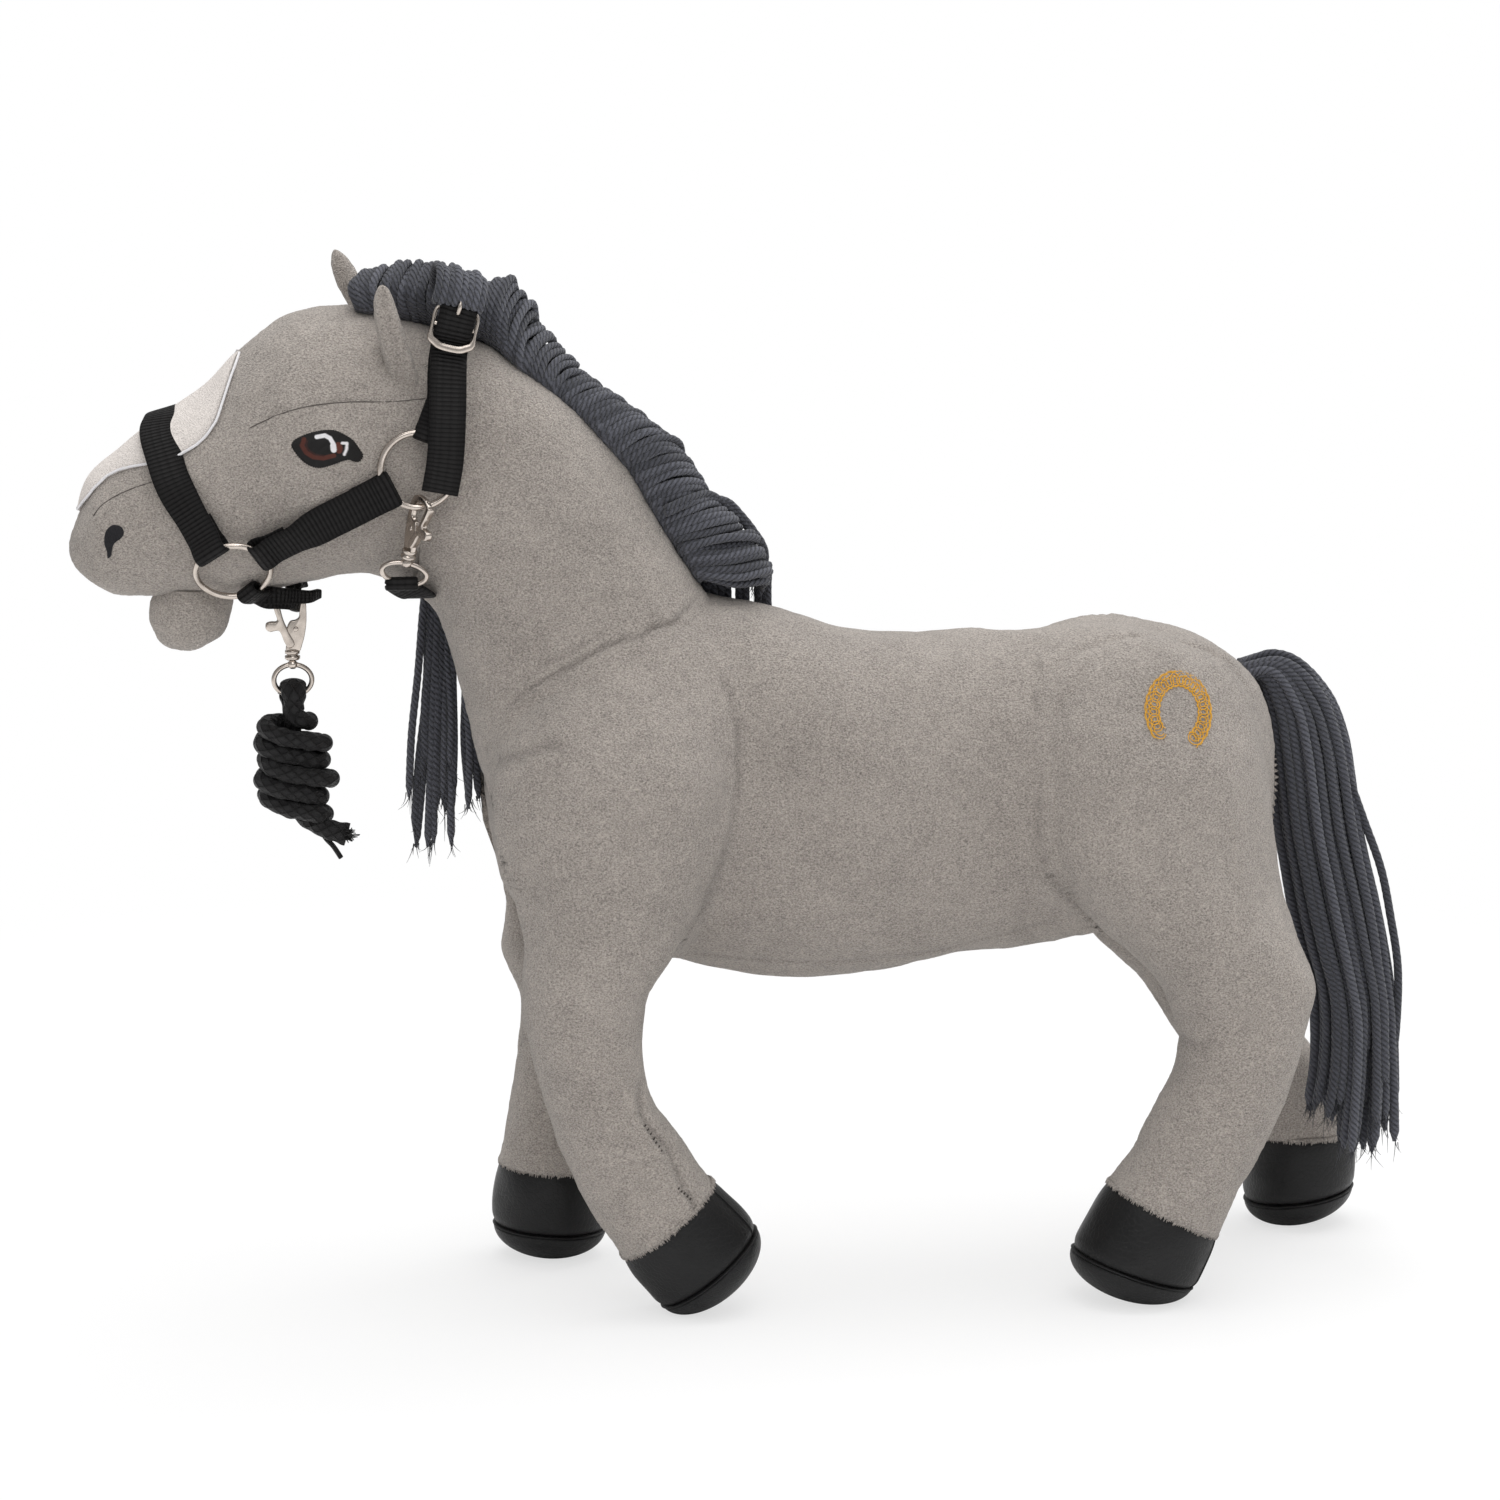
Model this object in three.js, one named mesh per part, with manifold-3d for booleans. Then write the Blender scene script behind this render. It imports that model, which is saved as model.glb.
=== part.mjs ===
// A plush horse that stands on its own legs, with a webbing halter and a short lead rope.
// Millimetres, +Z up. The head points to -X, the tail to +X, and the horse's left side to -Y.
// The origin lies on the ground, under the middle of the horse.
import * as THREE from "three";
import { mergeVertices } from "three/addons/utils/BufferGeometryUtils.js";
import Module from "manifold-3d";

const wasm = await Module();
wasm.setup();

// Fits
const clearance = 0.3; // between neighbouring solids
const overrun = 12; // how far a cut runs past the piece

// Trunk
const torsoFrontX = -118;
const torsoLength = 358;
const bellyZ = 142;
const torsoHeight = 180;
const torsoFlatHalf = 40; // half width where the legs lie against the trunk

// Head
const headBackX = -138;
const headLength = 163;
const muzzleX = headBackX - headLength;
const jawZ = 319;
const headHeight = 129;
const headWidth = 93;
const lipLength = 36;
const lipHeight = 33;
const lipWidth = 33;
const feltThick = 0.9; // the pale panel on the nose

// Neck
const neckTopX = -150;
const neckReach = 150;
const neckBaseZ = 185;
const neckHeight = 252;
const neckWidthShare = 0.86; // of the head's width
const neckWidth = headWidth * neckWidthShare;

// Ears
const earHeight = 48;
const earWidth = 19;
const earThick = 14;
const earSpread = 80; // between the tips
const farEarTurn = 0.3; // radians that the right ear leans further forward
const farEarLift = 8;
const farEarSize = 1.14; // the right ear stands straighter and looks taller

// Legs
const shoulderX = -64;
const shoulderZ = 232;
const hipInset = 60; // from the trunk's rear end to the hip
const hipX = torsoFrontX + torsoLength - hipInset;
const hipZ = 229;
const legThick = 50;
const foreStance = 50; // from the middle plane to the middle of a fore leg
const hindStance = 60;
const legFreeRadius = 108; // beyond this distance from its pivot a leg may reach inwards
const hoofToeFore = 29.5;
const hoofHeelFore = 29.5;
const hoofToeHind = 34;
const hoofHeelHind = 26;
const hoofFlare = 1.5;
const soleDepth = 15;

// Bendable wire inside the legs
const wireRadius = 1.5;
const wireSlack = 0.6; // around a wire in its channel

// Yarn
const maneWidth = 36;
const maneFallThick = 30;
const tailThick = 48;

// Halter webbing and rings
const webWidth = 16;
const webThick = 1.6;
const ringRadius = 16.2; // to the middle of the wire
const ringWire = 1.4;
const loopThick = 6.4; // a strap folded round a ring
const loopDepth = 7;
const ringGap = 1; // from the head's widest place to the middle of a cheek ring's wire
const cheekRingY = headWidth / 2 + ringGap;
const noseRingWidthShare = 0.3548;
const noseRingY = headWidth * noseRingWidthShare;
const noseRingTilt = 0.7; // radians that a nose ring faces downwards
const farRingShift = 26; // the right nose ring sits further back
const rolledWidth = 4.6; // the chin strap where the snap hooks on
const rolledThick = 4.2;

// Buckle
const buckleWidth = 22.5;
const buckleHeight = 20.5;
const buckleBar = 1.1;
const tongueWidth = 1.8;
const tongueLength = 13.5;
const barFromTop = 8.6; // the middle bar, below the top bar
const eyeWall = 0.7; // round the tongue's eye

// Swivel snaps
const snapLength = 26;
const snapWidth = 16;
const snapThick = 3.2;
const leverThick = 1.2;
const rivetRadius = 0.9;
const collarRadius = 3.4;
const collarHeight = 3.5;
const postRadius = 1.5;
const postShow = 1; // between the collar and the bail
const bailWidth = 19;
const bailHeight = 16;
const bailWire = 1.15;
const leadPivotShare = [0.5767, -0.0349]; // the middle of the rolled chin strap
const leadPivotY = -3;
const leadPivotAside = 1.2; // from the snap's middle line to the strap that rests in the hook
const throatPivotAside = 0.6;
const throatSnapSize = 0.8; // the throat snap beside the lead's
const throatBailWidth = 22;
const throatBailHeight = 13;
const throatStrapWidth = 14;

// Lead rope
const ropeRadius = 3.2;
const ropeTurns = 6;
const ropePitch = 7.6;
const hankHalfX = 15; // to the middle of the rope
const hankHalfY = 10.8;
const ropeEndLength = 16;
const ropeDrop = 4; // from the bail's wire down to the wound part

// Fineness
const formSides = 18;
const limbSides = 14;
const smallSides = 10;
const wireSides = 6;
const ropeSides = 6;
const ropeTopSteps = 12;
const loopSteps = 24;
const ringSteps = 20;

const V3 = THREE.Vector3;
const left = -1;
const right = 1;
const xAxis = new V3(1, 0, 0);
const yAxis = new V3(0, 1, 0);
const zAxis = new V3(0, 0, 1);

// Colours
const look = {
  plush: [0x8f8c8a, 0.95, 0],
  blaze: [0xd9cfca, 0.95, 0],
  yarn: [0x4a505c, 0.9, 0],
  hoof: [0x17171a, 0.45, 0],
  webbing: [0x121214, 0.8, 0],
  metal: [0xc9bfb2, 0.3, 0.9],
  wire: [0x9a9a9a, 0.5, 0.8],
  rope: [0x141416, 0.85, 0],
};

const mergeDistance = 1e-4; // corners nearer than this are one

const group = new THREE.Group();

// Closed geometry to solid and back
function solidOf(geometry) {
  const loose = geometry.index ? geometry.toNonIndexed() : geometry;
  const bare = new THREE.BufferGeometry().setAttribute("position", loose.getAttribute("position"));
  const merged = mergeVertices(bare, mergeDistance);
  const triVerts = new Uint32Array(merged.index.array);
  const vertProperties = merged.attributes.position.array;
  return new wasm.Manifold(new wasm.Mesh({ numProp: 3, vertProperties, triVerts }));
}

function geometryOf(solid) {
  const mesh = solid.getMesh();
  const geometry = new THREE.BufferGeometry();
  geometry.setAttribute("position", new THREE.BufferAttribute(mesh.vertProperties, 3));
  geometry.setIndex(new THREE.BufferAttribute(mesh.triVerts, 1));
  return geometry;
}

function addPiece(name, solid, [color, roughness, metalness]) {
  const material = new THREE.MeshStandardMaterial({ color, roughness, metalness });
  const geometry = geometryOf(solid);
  geometry.computeVertexNormals();
  const mesh = new THREE.Mesh(geometry, material);
  mesh.name = name;
  group.add(mesh);
}

// Unit outlines, as pairs of shares of a section's two half axes
function roundOutline(sides, cornerShare = 1) {
  return Array.from({ length: sides }, (_, i) => {
    const turn = (i / sides) * 2 * Math.PI;
    const bend = (value) => Math.sign(value) * Math.abs(value) ** cornerShare;
    return [bend(Math.cos(turn)), bend(Math.sin(turn))];
  });
}
const boxOutline = [[1, 1], [-1, 1], [-1, -1], [1, -1]];

// A closed skin over stations. A station has a centre and two half axes, u and v, or is
// only a centre, where the skin closes in a point. An open end gets a flat lid.
function skin(stations, outline) {
  const points = [];
  const faces = [];
  const rings = stations.map(({ centre, u, v }) => {
    const start = points.length;
    if (!u) {
      points.push(centre);
      return { start, count: 1 };
    }
    outline.forEach(([a, b]) => points.push(centre.clone().addScaledVector(u, a).addScaledVector(v, b)));
    return { start, count: outline.length };
  });
  rings.slice(1).forEach((next, i) => {
    const ring = rings[i];
    outline.forEach((_, k) => {
      const m = (k + 1) % outline.length;
      const [a, b] = ring.count === 1 ? [ring.start, ring.start] : [ring.start + k, ring.start + m];
      const [c, d] = next.count === 1 ? [next.start, next.start] : [next.start + k, next.start + m];
      if (a !== b) faces.push([a, b, d]);
      if (c !== d) faces.push([a, d, c]);
    });
  });
  [0, stations.length - 1].forEach((end) => {
    const { start, count } = rings[end];
    if (count === 1) return;
    const middle = points.push(stations[end].centre) - 1;
    outline.forEach((_, k) => {
      const face = [middle, start + ((k + 1) % count), start + k];
      faces.push(end ? face.reverse() : face);
    });
  });
  const corner = new V3();
  const signed = ([a, b, c]) => points[a].dot(corner.crossVectors(points[b], points[c]));
  const volume = faces.reduce((sum, face) => sum + signed(face), 0);
  const corners = faces.flatMap((face) => (volume < 0 ? [...face].reverse() : face));
  return new THREE.BufferGeometry().setFromPoints(corners.map((corner) => points[corner]));
}

// Stations of a stuffed form that lies in the XZ plane of its frame. A row gives two
// opposite edge points, the half width and the place across, as shares of the frame's
// sizes; a short row is a closing point. The grow value swells the form.
function stationsOf(frame, rowShares, grow) {
  const at = (p, q, y) => new V3(frame.x + p * frame.length, y, frame.z + q * frame.height);
  const across = frame.across ?? 0;
  const stations = rowShares.map((row) => {
    if (row.length < 5) return { centre: at(row[0], row[1], across * (row[2] ?? 1)) };
    const [p1, q1, p2, q2, half, share = 1] = row;
    const first = at(p1, q1, across * share);
    const second = at(p2, q2, across * share);
    const u = first.clone().sub(second).multiplyScalar(0.5);
    const centre = first.clone().add(second).multiplyScalar(0.5);
    u.setLength(u.length() + grow);
    return { centre, u, v: yAxis.clone().multiplyScalar(half * frame.width + grow) };
  });
  [[0, 1], [stations.length - 1, stations.length - 2]].forEach(([end, inner]) => {
    if (!stations[end].u && grow) {
      const away = stations[end].centre.clone().sub(stations[inner].centre);
      stations[end].centre.addScaledVector(away.normalize(), grow);
    }
  });
  return stations;
}

function form(frame, rowShares, grow = 0, sides = formSides, cornerShare = 1) {
  return solidOf(skin(stationsOf(frame, rowShares, grow), roundOutline(sides, cornerShare)));
}

// A box, given by its middle, its sizes and the directions of its first two sides
function boxAt(middle, sizes, first = xAxis, second = yAxis) {
  const third = new V3().crossVectors(first, second);
  const geometry = new THREE.BoxGeometry(...sizes);
  geometry.applyMatrix4(new THREE.Matrix4().makeBasis(first, second, third).setPosition(middle));
  return solidOf(geometry);
}

// A round bar between two points
function barBetween(from, to, radius, sides = smallSides) {
  const way = to.clone().sub(from);
  const geometry = new THREE.CylinderGeometry(radius, radius, way.length(), sides);
  const turn = new THREE.Quaternion().setFromUnitVectors(yAxis, way.clone().normalize());
  geometry.applyQuaternion(turn);
  const middle = from.clone().add(to).multiplyScalar(0.5);
  geometry.translate(middle.x, middle.y, middle.z);
  return solidOf(geometry);
}

// A round tube along a curve
function tube(curve, radius, steps, sides) {
  const outline = roundOutline(sides).map(([a, b]) => new THREE.Vector2(a * radius, b * radius));
  const shape = new THREE.Shape(outline);
  return solidOf(new THREE.ExtrudeGeometry(shape, { steps, extrudePath: curve, bevelEnabled: false }));
}

// A flat strap along points, with its width along the given direction
function strip(points, acrossAt, width, thick) {
  const last = points.length - 1;
  const stations = points.map((centre, i) => {
    const way = points[Math.min(i + 1, last)].clone().sub(points[Math.max(i - 1, 0)]).normalize();
    const across = acrossAt(i / last);
    const u = across.clone().addScaledVector(way, -across.dot(way)).normalize();
    const v = new V3().crossVectors(way, u);
    return { centre, u: u.multiplyScalar(width(i / last) / 2), v: v.multiplyScalar(thick(i / last) / 2) };
  });
  return solidOf(skin(stations, boxOutline));
}

// Trunk, neck and head, swollen by a value where neighbours are cut to them
const torsoFrame = {
  x: torsoFrontX,
  z: bellyZ,
  length: torsoLength,
  height: torsoHeight,
  width: torsoFlatHalf,
};
const torsoShares = [
  [0, 0.478],
  [0.017, 0.667, 0.017, 0.267, 0.6],
  [0.056, 0.794, 0.056, 0.167, 0.85],
  [0.134, 0.906, 0.134, 0.1, 0.97],
  [0.229, 0.978, 0.229, 0.054, 1],
  [0.31, 0.952, 0.31, 0.014, 1],
  [0.394, 0.911, 0.394, 0, 1.18],
  [0.47, 0.866, 0.475, 0.012, 1.28],
  [0.553, 0.857, 0.553, 0.03, 1.2],
  [0.625, 0.86, 0.625, 0.052, 1],
  [0.707, 0.87, 0.707, 0.083, 1],
  [0.777, 0.886, 0.777, 0.122, 1],
  [0.86, 0.869, 0.86, 0.167, 1],
  [0.927, 0.811, 0.927, 0.239, 0.9],
  [0.965, 0.785, 0.965, 0.32, 0.7],
  [0.989, 0.72, 0.989, 0.4, 0.45],
  [1, 0.56],
];
const torsoForm = (grow) => form(torsoFrame, torsoShares, grow, formSides, 0.85);

const neckFrame = { x: neckTopX, z: neckBaseZ, length: neckReach, height: neckHeight, width: neckWidth };
const neckShares = [
  [0, 1, 0, 0.544, 0.47],
  [0.227, 0.968, 0.06, 0.504, 0.5],
  [0.407, 0.897, 0.102, 0.43, 0.5],
  [0.6, 0.786, 0.16, 0.306, 0.49],
  [0.72, 0.663, 0.203, 0.206, 0.48],
  [0.85, 0.546, 0.247, 0.087, 0.46],
  [0.97, 0.43, 0.4, 0, 0.36],
];
const neckForm = (grow) => form(neckFrame, neckShares, grow, formSides, 0.92);

const headFrame = { x: muzzleX, z: jawZ, length: headLength, height: headHeight, width: headWidth };
const headShares = [
  [0, 0.147],
  [0.018, 0.287, 0.08, 0.039, 0.196],
  [0.067, 0.426, 0.178, 0.016, 0.272],
  [0.153, 0.527, 0.288, 0.008, 0.315],
  [0.264, 0.628, 0.399, 0, 0.37],
  [0.374, 0.721, 0.503, 0.008, 0.43],
  [0.491, 0.876, 0.589, 0.039, 0.475],
  [0.626, 0.984, 0.681, 0.062, 0.5],
  [0.76, 1, 0.791, 0.078, 0.49],
  [0.877, 0.953, 0.89, 0.054, 0.47],
  [1, 0.907, 0.988, 0.085, 0.42],
];
const headForm = (grow) => form(headFrame, headShares, grow);
const headAt = (p, q, y = 0) => new V3(muzzleX + p * headLength, y, jawZ + q * headHeight);
const leadPivot = headAt(...leadPivotShare, leadPivotY);

const torsoSwollen = torsoForm(clearance);
const neckSwollen = neckForm(clearance);
const headSwollen = headForm(clearance);

// Straight pivot wires through the trunk, one for each pair of legs
function pivotWire(x, z, half, radius) {
  return barBetween(new V3(x, -half, z), new V3(x, half, z), radius, wireSides);
}
const shoulderChannel = pivotWire(shoulderX, shoulderZ, torsoFlatHalf + overrun, wireRadius + wireSlack);
const hipChannel = pivotWire(hipX, hipZ, torsoFlatHalf + overrun, wireRadius + wireSlack);
addPiece("torso", torsoForm(0).subtract(shoulderChannel).subtract(hipChannel), look.plush);
addPiece("shoulder_wire", pivotWire(shoulderX, shoulderZ, torsoFlatHalf, wireRadius), look.wire);
addPiece("hip_wire", pivotWire(hipX, hipZ, torsoFlatHalf, wireRadius), look.wire);

addPiece("neck", neckForm(0).subtract(torsoSwollen), look.plush);
addPiece("head", headForm(0).subtract(neckSwollen), look.plush);

// Lower lip, a small stuffed lobe under the muzzle
const lipMiddle = headAt(0.32, -0.045);
const lipBall = new THREE.SphereGeometry(0.5, smallSides + 2, smallSides);
lipBall.scale(lipLength, lipWidth, lipHeight).translate(lipMiddle.x, 0, lipMiddle.z);
addPiece("lower_lip", solidOf(lipBall).subtract(headSwollen), look.plush);

// A prism across the whole head over an outline in its side view
function headPrism(outlineShares) {
  const corners = outlineShares.map(([p, q]) => headAt(p, q));
  const shape = new THREE.Shape(corners.map(({ x, z }) => new THREE.Vector2(x, z)));
  const depth = headWidth + 2 * overrun;
  const geometry = new THREE.ExtrudeGeometry(shape, { depth, bevelEnabled: false });
  return solidOf(geometry.rotateX(Math.PI / 2).translate(0, depth / 2, 0));
}

// Pale panel set into the top of the nose
const blazeShares = [
  [0.46, 1],
  [0.45, 0.79],
  [0.37, 0.56],
  [0.27, 0.45],
  [0.135, 0.41],
  [0.02, 0.27],
  [-0.1, 0.27],
  [-0.1, 1],
];
const blazeShell = headForm(clearance + feltThick).subtract(headSwollen);
addPiece("blaze_panel", blazeShell.intersect(headPrism(blazeShares)), look.blaze);

// Ears: leaf shapes that stand on the head's sides
const earShares = [
  [-0.25, -0.06, 0.6, -0.12, 0.45, 0.7],
  [-0.36, 0.3, 0.36, 0.25, 0.5, 0.85],
  [-0.56, 0.62, 0.05, 0.62, 0.44, 0.95],
  [-0.6, 0.85, -0.16, 0.87, 0.32, 1],
  [-0.42, 1, 1.02],
];
function ear(side, turn, lift, size) {
  const base = headAt(0.88, 0.71);
  const across = (side * earSpread) / 2;
  const frame = { x: 0, z: 0, length: earWidth, height: earHeight * size, width: earThick, across };
  const leaf = skin(stationsOf(frame, earShares, 0), roundOutline(smallSides));
  leaf.rotateY(-turn).translate(base.x, 0, base.z + lift);
  return solidOf(leaf).subtract(headSwollen).subtract(neckSwollen);
}
addPiece("ear_left", ear(left, 0, 0, 1), look.plush);
addPiece("ear_right", ear(right, farEarTurn, farEarLift, farEarSize), look.plush);

// Legs. Rows run from the top of the sewn-on panel to the hoof.
const foreUpperShares = [
  [0.078, 0.323],
  [-0.134, 0.22, 0.19, 0.272, 0.3],
  [-0.211, 0.129, 0.218, 0.129, 0.42],
  [-0.237, 0.013, 0.221, 0.013, 0.44],
  [-0.231, -0.086, 0.211, -0.095, 0.44],
  [-0.203, -0.183, 0.172, -0.185, 0.44],
  [-0.185, -0.28, 0.112, -0.284, 0.46],
  [-0.19, -0.377, 0.044, -0.384, 0.49],
];
const foreBentShares = [
  [-0.177, -0.475, 0.038, -0.502, 0.48],
  [-0.149, -0.574, 0.056, -0.571, 0.48],
  [-0.103, -0.707, 0.099, -0.638, 0.48],
  [-0.034, -0.836, 0.147, -0.713, 0.48],
  [-0.003, -0.885, 0.172, -0.743, 0.48],
];
const foreStraightShares = [
  [-0.155, -0.478, 0.056, -0.478, 0.48],
  [-0.16, -0.578, 0.054, -0.578, 0.48],
  [-0.177, -0.681, 0.037, -0.681, 0.48],
  [-0.198, -0.803, 0.017, -0.818, 0.48],
];
const hindUpperShares = [
  [-0.035, 0.31, 0.85],
  [-0.227, 0.24, 0.148, 0.24, 0.34, 0.85],
  [-0.271, 0.127, 0.2, 0.127, 0.44, 0.85],
  [-0.269, 0.004, 0.214, 0, 0.48, 0.87],
  [-0.265, -0.1, 0.229, -0.107, 0.5, 0.9],
];
const hindBentShares = [
  [-0.175, -0.21, 0.247, -0.223, 0.52, 0.93],
  [-0.079, -0.301, 0.266, -0.301, 0.52, 0.96],
  [-0.004, -0.38, 0.293, -0.38, 0.5, 0.98],
  [0.026, -0.472, 0.273, -0.472, 0.48],
  [0.017, -0.54, 0.249, -0.568, 0.48],
  [-0.013, -0.598, 0.21, -0.668, 0.48],
  [-0.057, -0.69, 0.148, -0.777, 0.48],
  [-0.11, -0.763, 0.103, -0.871, 0.5],
];
const hindStraightShares = [
  [-0.131, -0.249, 0.245, -0.17, 0.52, 0.93],
  [-0.035, -0.376, 0.253, -0.24, 0.5, 0.96],
  [0.061, -0.472, 0.288, -0.349, 0.49, 0.98],
  [0.122, -0.563, 0.332, -0.45, 0.48],
  [0.188, -0.664, 0.389, -0.568, 0.48],
  [0.245, -0.751, 0.454, -0.672, 0.48],
  [0.299, -0.806, 0.513, -0.806, 0.48],
];

// Everything below the ground plane is cut off, which leaves a flat spot under each hoof
const groundCut = boxAt(new V3(0, 0, -overrun), [2 * torsoLength, torsoLength, 2 * overrun]);

// A tube that comes out along Y, turns square at its second point and follows the rest
function legTube(points, radius) {
  const outwards = points[1].clone().sub(points[0]).normalize();
  const stations = points.map((centre, i) => {
    const from = points[Math.max(i - 1, 1)];
    const to = points[Math.max(Math.min(i + 1, points.length - 1), 2)];
    const way = to.clone().sub(from).setY(0).normalize();
    const turned = [way.clone().negate(), outwards.clone().sub(way)][i] ?? outwards.clone();
    const v = new V3().crossVectors(way, outwards).multiplyScalar(radius);
    return { centre, u: turned.multiplyScalar(radius), v };
  });
  return solidOf(skin(stations, roundOutline(wireSides)));
}

function leg(name, side, pivot, height, stance, rowShares, toe, heel) {
  const frame = { x: pivot.x, z: pivot.z, length: height, height, width: legThick, across: side * stance };
  const stations = stationsOf(frame, rowShares, 0);
  const inner = torsoFlatHalf + clearance;

  // The leg stays outside the trunk's flat side near the pivot, so that it swings freely
  const disc = barBetween(new V3(pivot.x, -side * inner, pivot.z), new V3(pivot.x, side * inner, pivot.z),
    legFreeRadius, 2 * limbSides);

  // A bendable wire runs out of the pivot and down the middle of the leg
  const end = stations.at(-1);
  const down = end.centre.clone().sub(stations.at(-2).centre).normalize();
  const elbow = stations[3].centre.clone().setX(pivot.x).setZ(pivot.z);
  const route = [elbow, ...stations.slice(5, -1).map(({ centre }) => centre)];
  const innerPoint = (distance) => elbow.clone().setY(side * distance);
  const endPoint = (distance) => end.centre.clone().addScaledVector(down, distance);
  const wire = legTube([innerPoint(inner + clearance), ...route, endPoint(-wireRadius)], wireRadius);
  const channel = legTube([innerPoint(inner - overrun), ...route, endPoint(overrun)], wireRadius + wireSlack);
  const body = solidOf(skin(stations, roundOutline(limbSides, 0.9)));
  addPiece(name, body.subtract(disc).subtract(channel), look.plush);
  addPiece(name.replace("leg", "leg_wire"), wire, look.wire);

  // Hoof wall and sole continue from the leg's last section
  const toeWay = end.u.clone().normalize();
  const sink = new V3(toeWay.z, 0, -toeWay.x);
  if (sink.z > 0) sink.negate();
  const toeTop = end.centre.clone().add(end.u);
  const heelTop = end.centre.clone().sub(end.u);
  const toeLow = toeTop.clone().addScaledVector(sink, toe).addScaledVector(toeWay, hoofFlare);
  const heelLow = heelTop.clone().addScaledVector(sink, heel).addScaledVector(toeWay, -hoofFlare);
  const section = (front, rear, across) => ({
    centre: front.clone().add(rear).multiplyScalar(0.5),
    u: front.clone().sub(rear).multiplyScalar(0.5),
    v: yAxis.clone().multiplyScalar(across),
  });
  const top = section(toeTop, heelTop, end.v.length());
  top.centre.addScaledVector(sink, clearance);
  const low = section(toeLow, heelLow, end.v.length() + hoofFlare);
  const wall = solidOf(skin([top, low], roundOutline(limbSides)));
  addPiece(name.replace("leg", "hoof"), wall.subtract(groundCut), look.hoof);

  const soleWay = new V3(low.u.z, 0, -low.u.x).normalize();
  if (soleWay.z > 0) soleWay.negate();
  const domeShares = [[0, 1], [0.35, 0.95], [0.7, 0.72], [0.92, 0.38]];
  const dome = domeShares.map(([deep, wide]) => ({
    centre: low.centre.clone().addScaledVector(soleWay, clearance + deep * soleDepth),
    u: low.u.clone().multiplyScalar(wide),
    v: low.v.clone().multiplyScalar(wide),
  }));
  const tip = { centre: low.centre.clone().addScaledVector(soleWay, clearance + soleDepth) };
  const soleSkin = skin([...dome, tip], roundOutline(limbSides));
  addPiece(name.replace("leg", "sole"), solidOf(soleSkin).subtract(groundCut), look.hoof);
}
const shoulder = new V3(shoulderX, 0, shoulderZ);
const hip = new V3(hipX, 0, hipZ);
function foreLeg(name, side, lowerShares) {
  const rowShares = [...foreUpperShares, ...lowerShares];
  leg(name, side, shoulder, shoulderZ, foreStance, rowShares, hoofToeFore, hoofHeelFore);
}
function hindLeg(name, side, lowerShares) {
  const rowShares = [...hindUpperShares, ...lowerShares];
  leg(name, side, hip, hipZ, hindStance, rowShares, hoofToeHind, hoofHeelHind);
}
foreLeg("front_leg_left", left, foreBentShares);
foreLeg("front_leg_right", right, foreStraightShares);
hindLeg("hind_leg_left", left, hindBentShares);
hindLeg("hind_leg_right", right, hindStraightShares);

// Tail: a yarn switch that hangs from the dock
const tailFrame = { x: hipX, z: 0, length: hipZ, height: hipZ, width: tailThick };
const tailShares = [
  [0.232, 1.213],
  [0.262, 1.246, 0.25, 1.173, 0.16],
  [0.338, 1.213, 0.281, 1.128, 0.3],
  [0.4, 1.122, 0.292, 1.052, 0.4],
  [0.43, 1.035, 0.3, 0.99, 0.46],
  [0.452, 0.92, 0.31, 0.88, 0.48],
  [0.492, 0.77, 0.33, 0.71, 0.5],
  [0.528, 0.605, 0.365, 0.53, 0.5],
  [0.541, 0.44, 0.34, 0.415, 0.48],
  [0.548, 0.305, 0.315, 0.288, 0.42],
  [0.437, 0.218],
];
addPiece("tail", form(tailFrame, tailShares, 0, limbSides).subtract(torsoSwollen), look.yarn);

// Rings. A ring's frame has its middle and the two directions of its plane.
const cheekMiddle = headAt(0.918, 0.47);
const noseMiddle = headAt(0.43, 0.125);
const farCheekShift = farRingShift / 2;
function ringFrame(middle, side, away, tilt) {
  return {
    middle: middle.clone().setY(side * away),
    first: xAxis,
    second: new V3(0, side * Math.sin(tilt), Math.cos(tilt)),
    out: new V3(0, side * Math.cos(tilt), -Math.sin(tilt)),
  };
}
function ringPoint({ middle, first, second }, turn) {
  const point = middle.clone().addScaledVector(first, ringRadius * Math.cos(turn));
  return point.addScaledVector(second, ringRadius * Math.sin(turn));
}
function ringSolid({ middle, first, second }, grow = 0) {
  const geometry = new THREE.TorusGeometry(ringRadius, ringWire + grow, wireSides, ringSteps);
  const third = new V3().crossVectors(first, second);
  geometry.applyMatrix4(new THREE.Matrix4().makeBasis(first, second, third).setPosition(middle));
  return solidOf(geometry);
}
const shift = (middle, distance) => middle.clone().setX(middle.x + distance);
const cheekRing = {
  left: ringFrame(cheekMiddle, left, cheekRingY, 0),
  right: ringFrame(shift(cheekMiddle, farCheekShift), right, cheekRingY, 0),
};
const noseRing = {
  left: ringFrame(noseMiddle, left, noseRingY, noseRingTilt),
  right: ringFrame(shift(noseMiddle, farRingShift), right, noseRingY, noseRingTilt),
};
["left", "right"].forEach((side) => {
  addPiece("cheek_ring_" + side, ringSolid(cheekRing[side]), look.metal);
  addPiece("nose_ring_" + side, ringSolid(noseRing[side]), look.metal);
});

// The end of a strap that is folded round a ring's wire
function ringLoop(ring, turn, width = webWidth) {
  const along = ring.second.clone().multiplyScalar(Math.cos(turn));
  along.addScaledVector(ring.first, -Math.sin(turn));
  return boxAt(ringPoint(ring, turn), [width, loopThick, loopDepth], along, ring.out);
}
const ringSpace = (ring) => ringSolid(ring, clearance);
const fixedWidth = () => webWidth;
const fixedThick = () => webThick;
const mix = (from, to) => (share) => from.clone().lerp(to, share);

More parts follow.
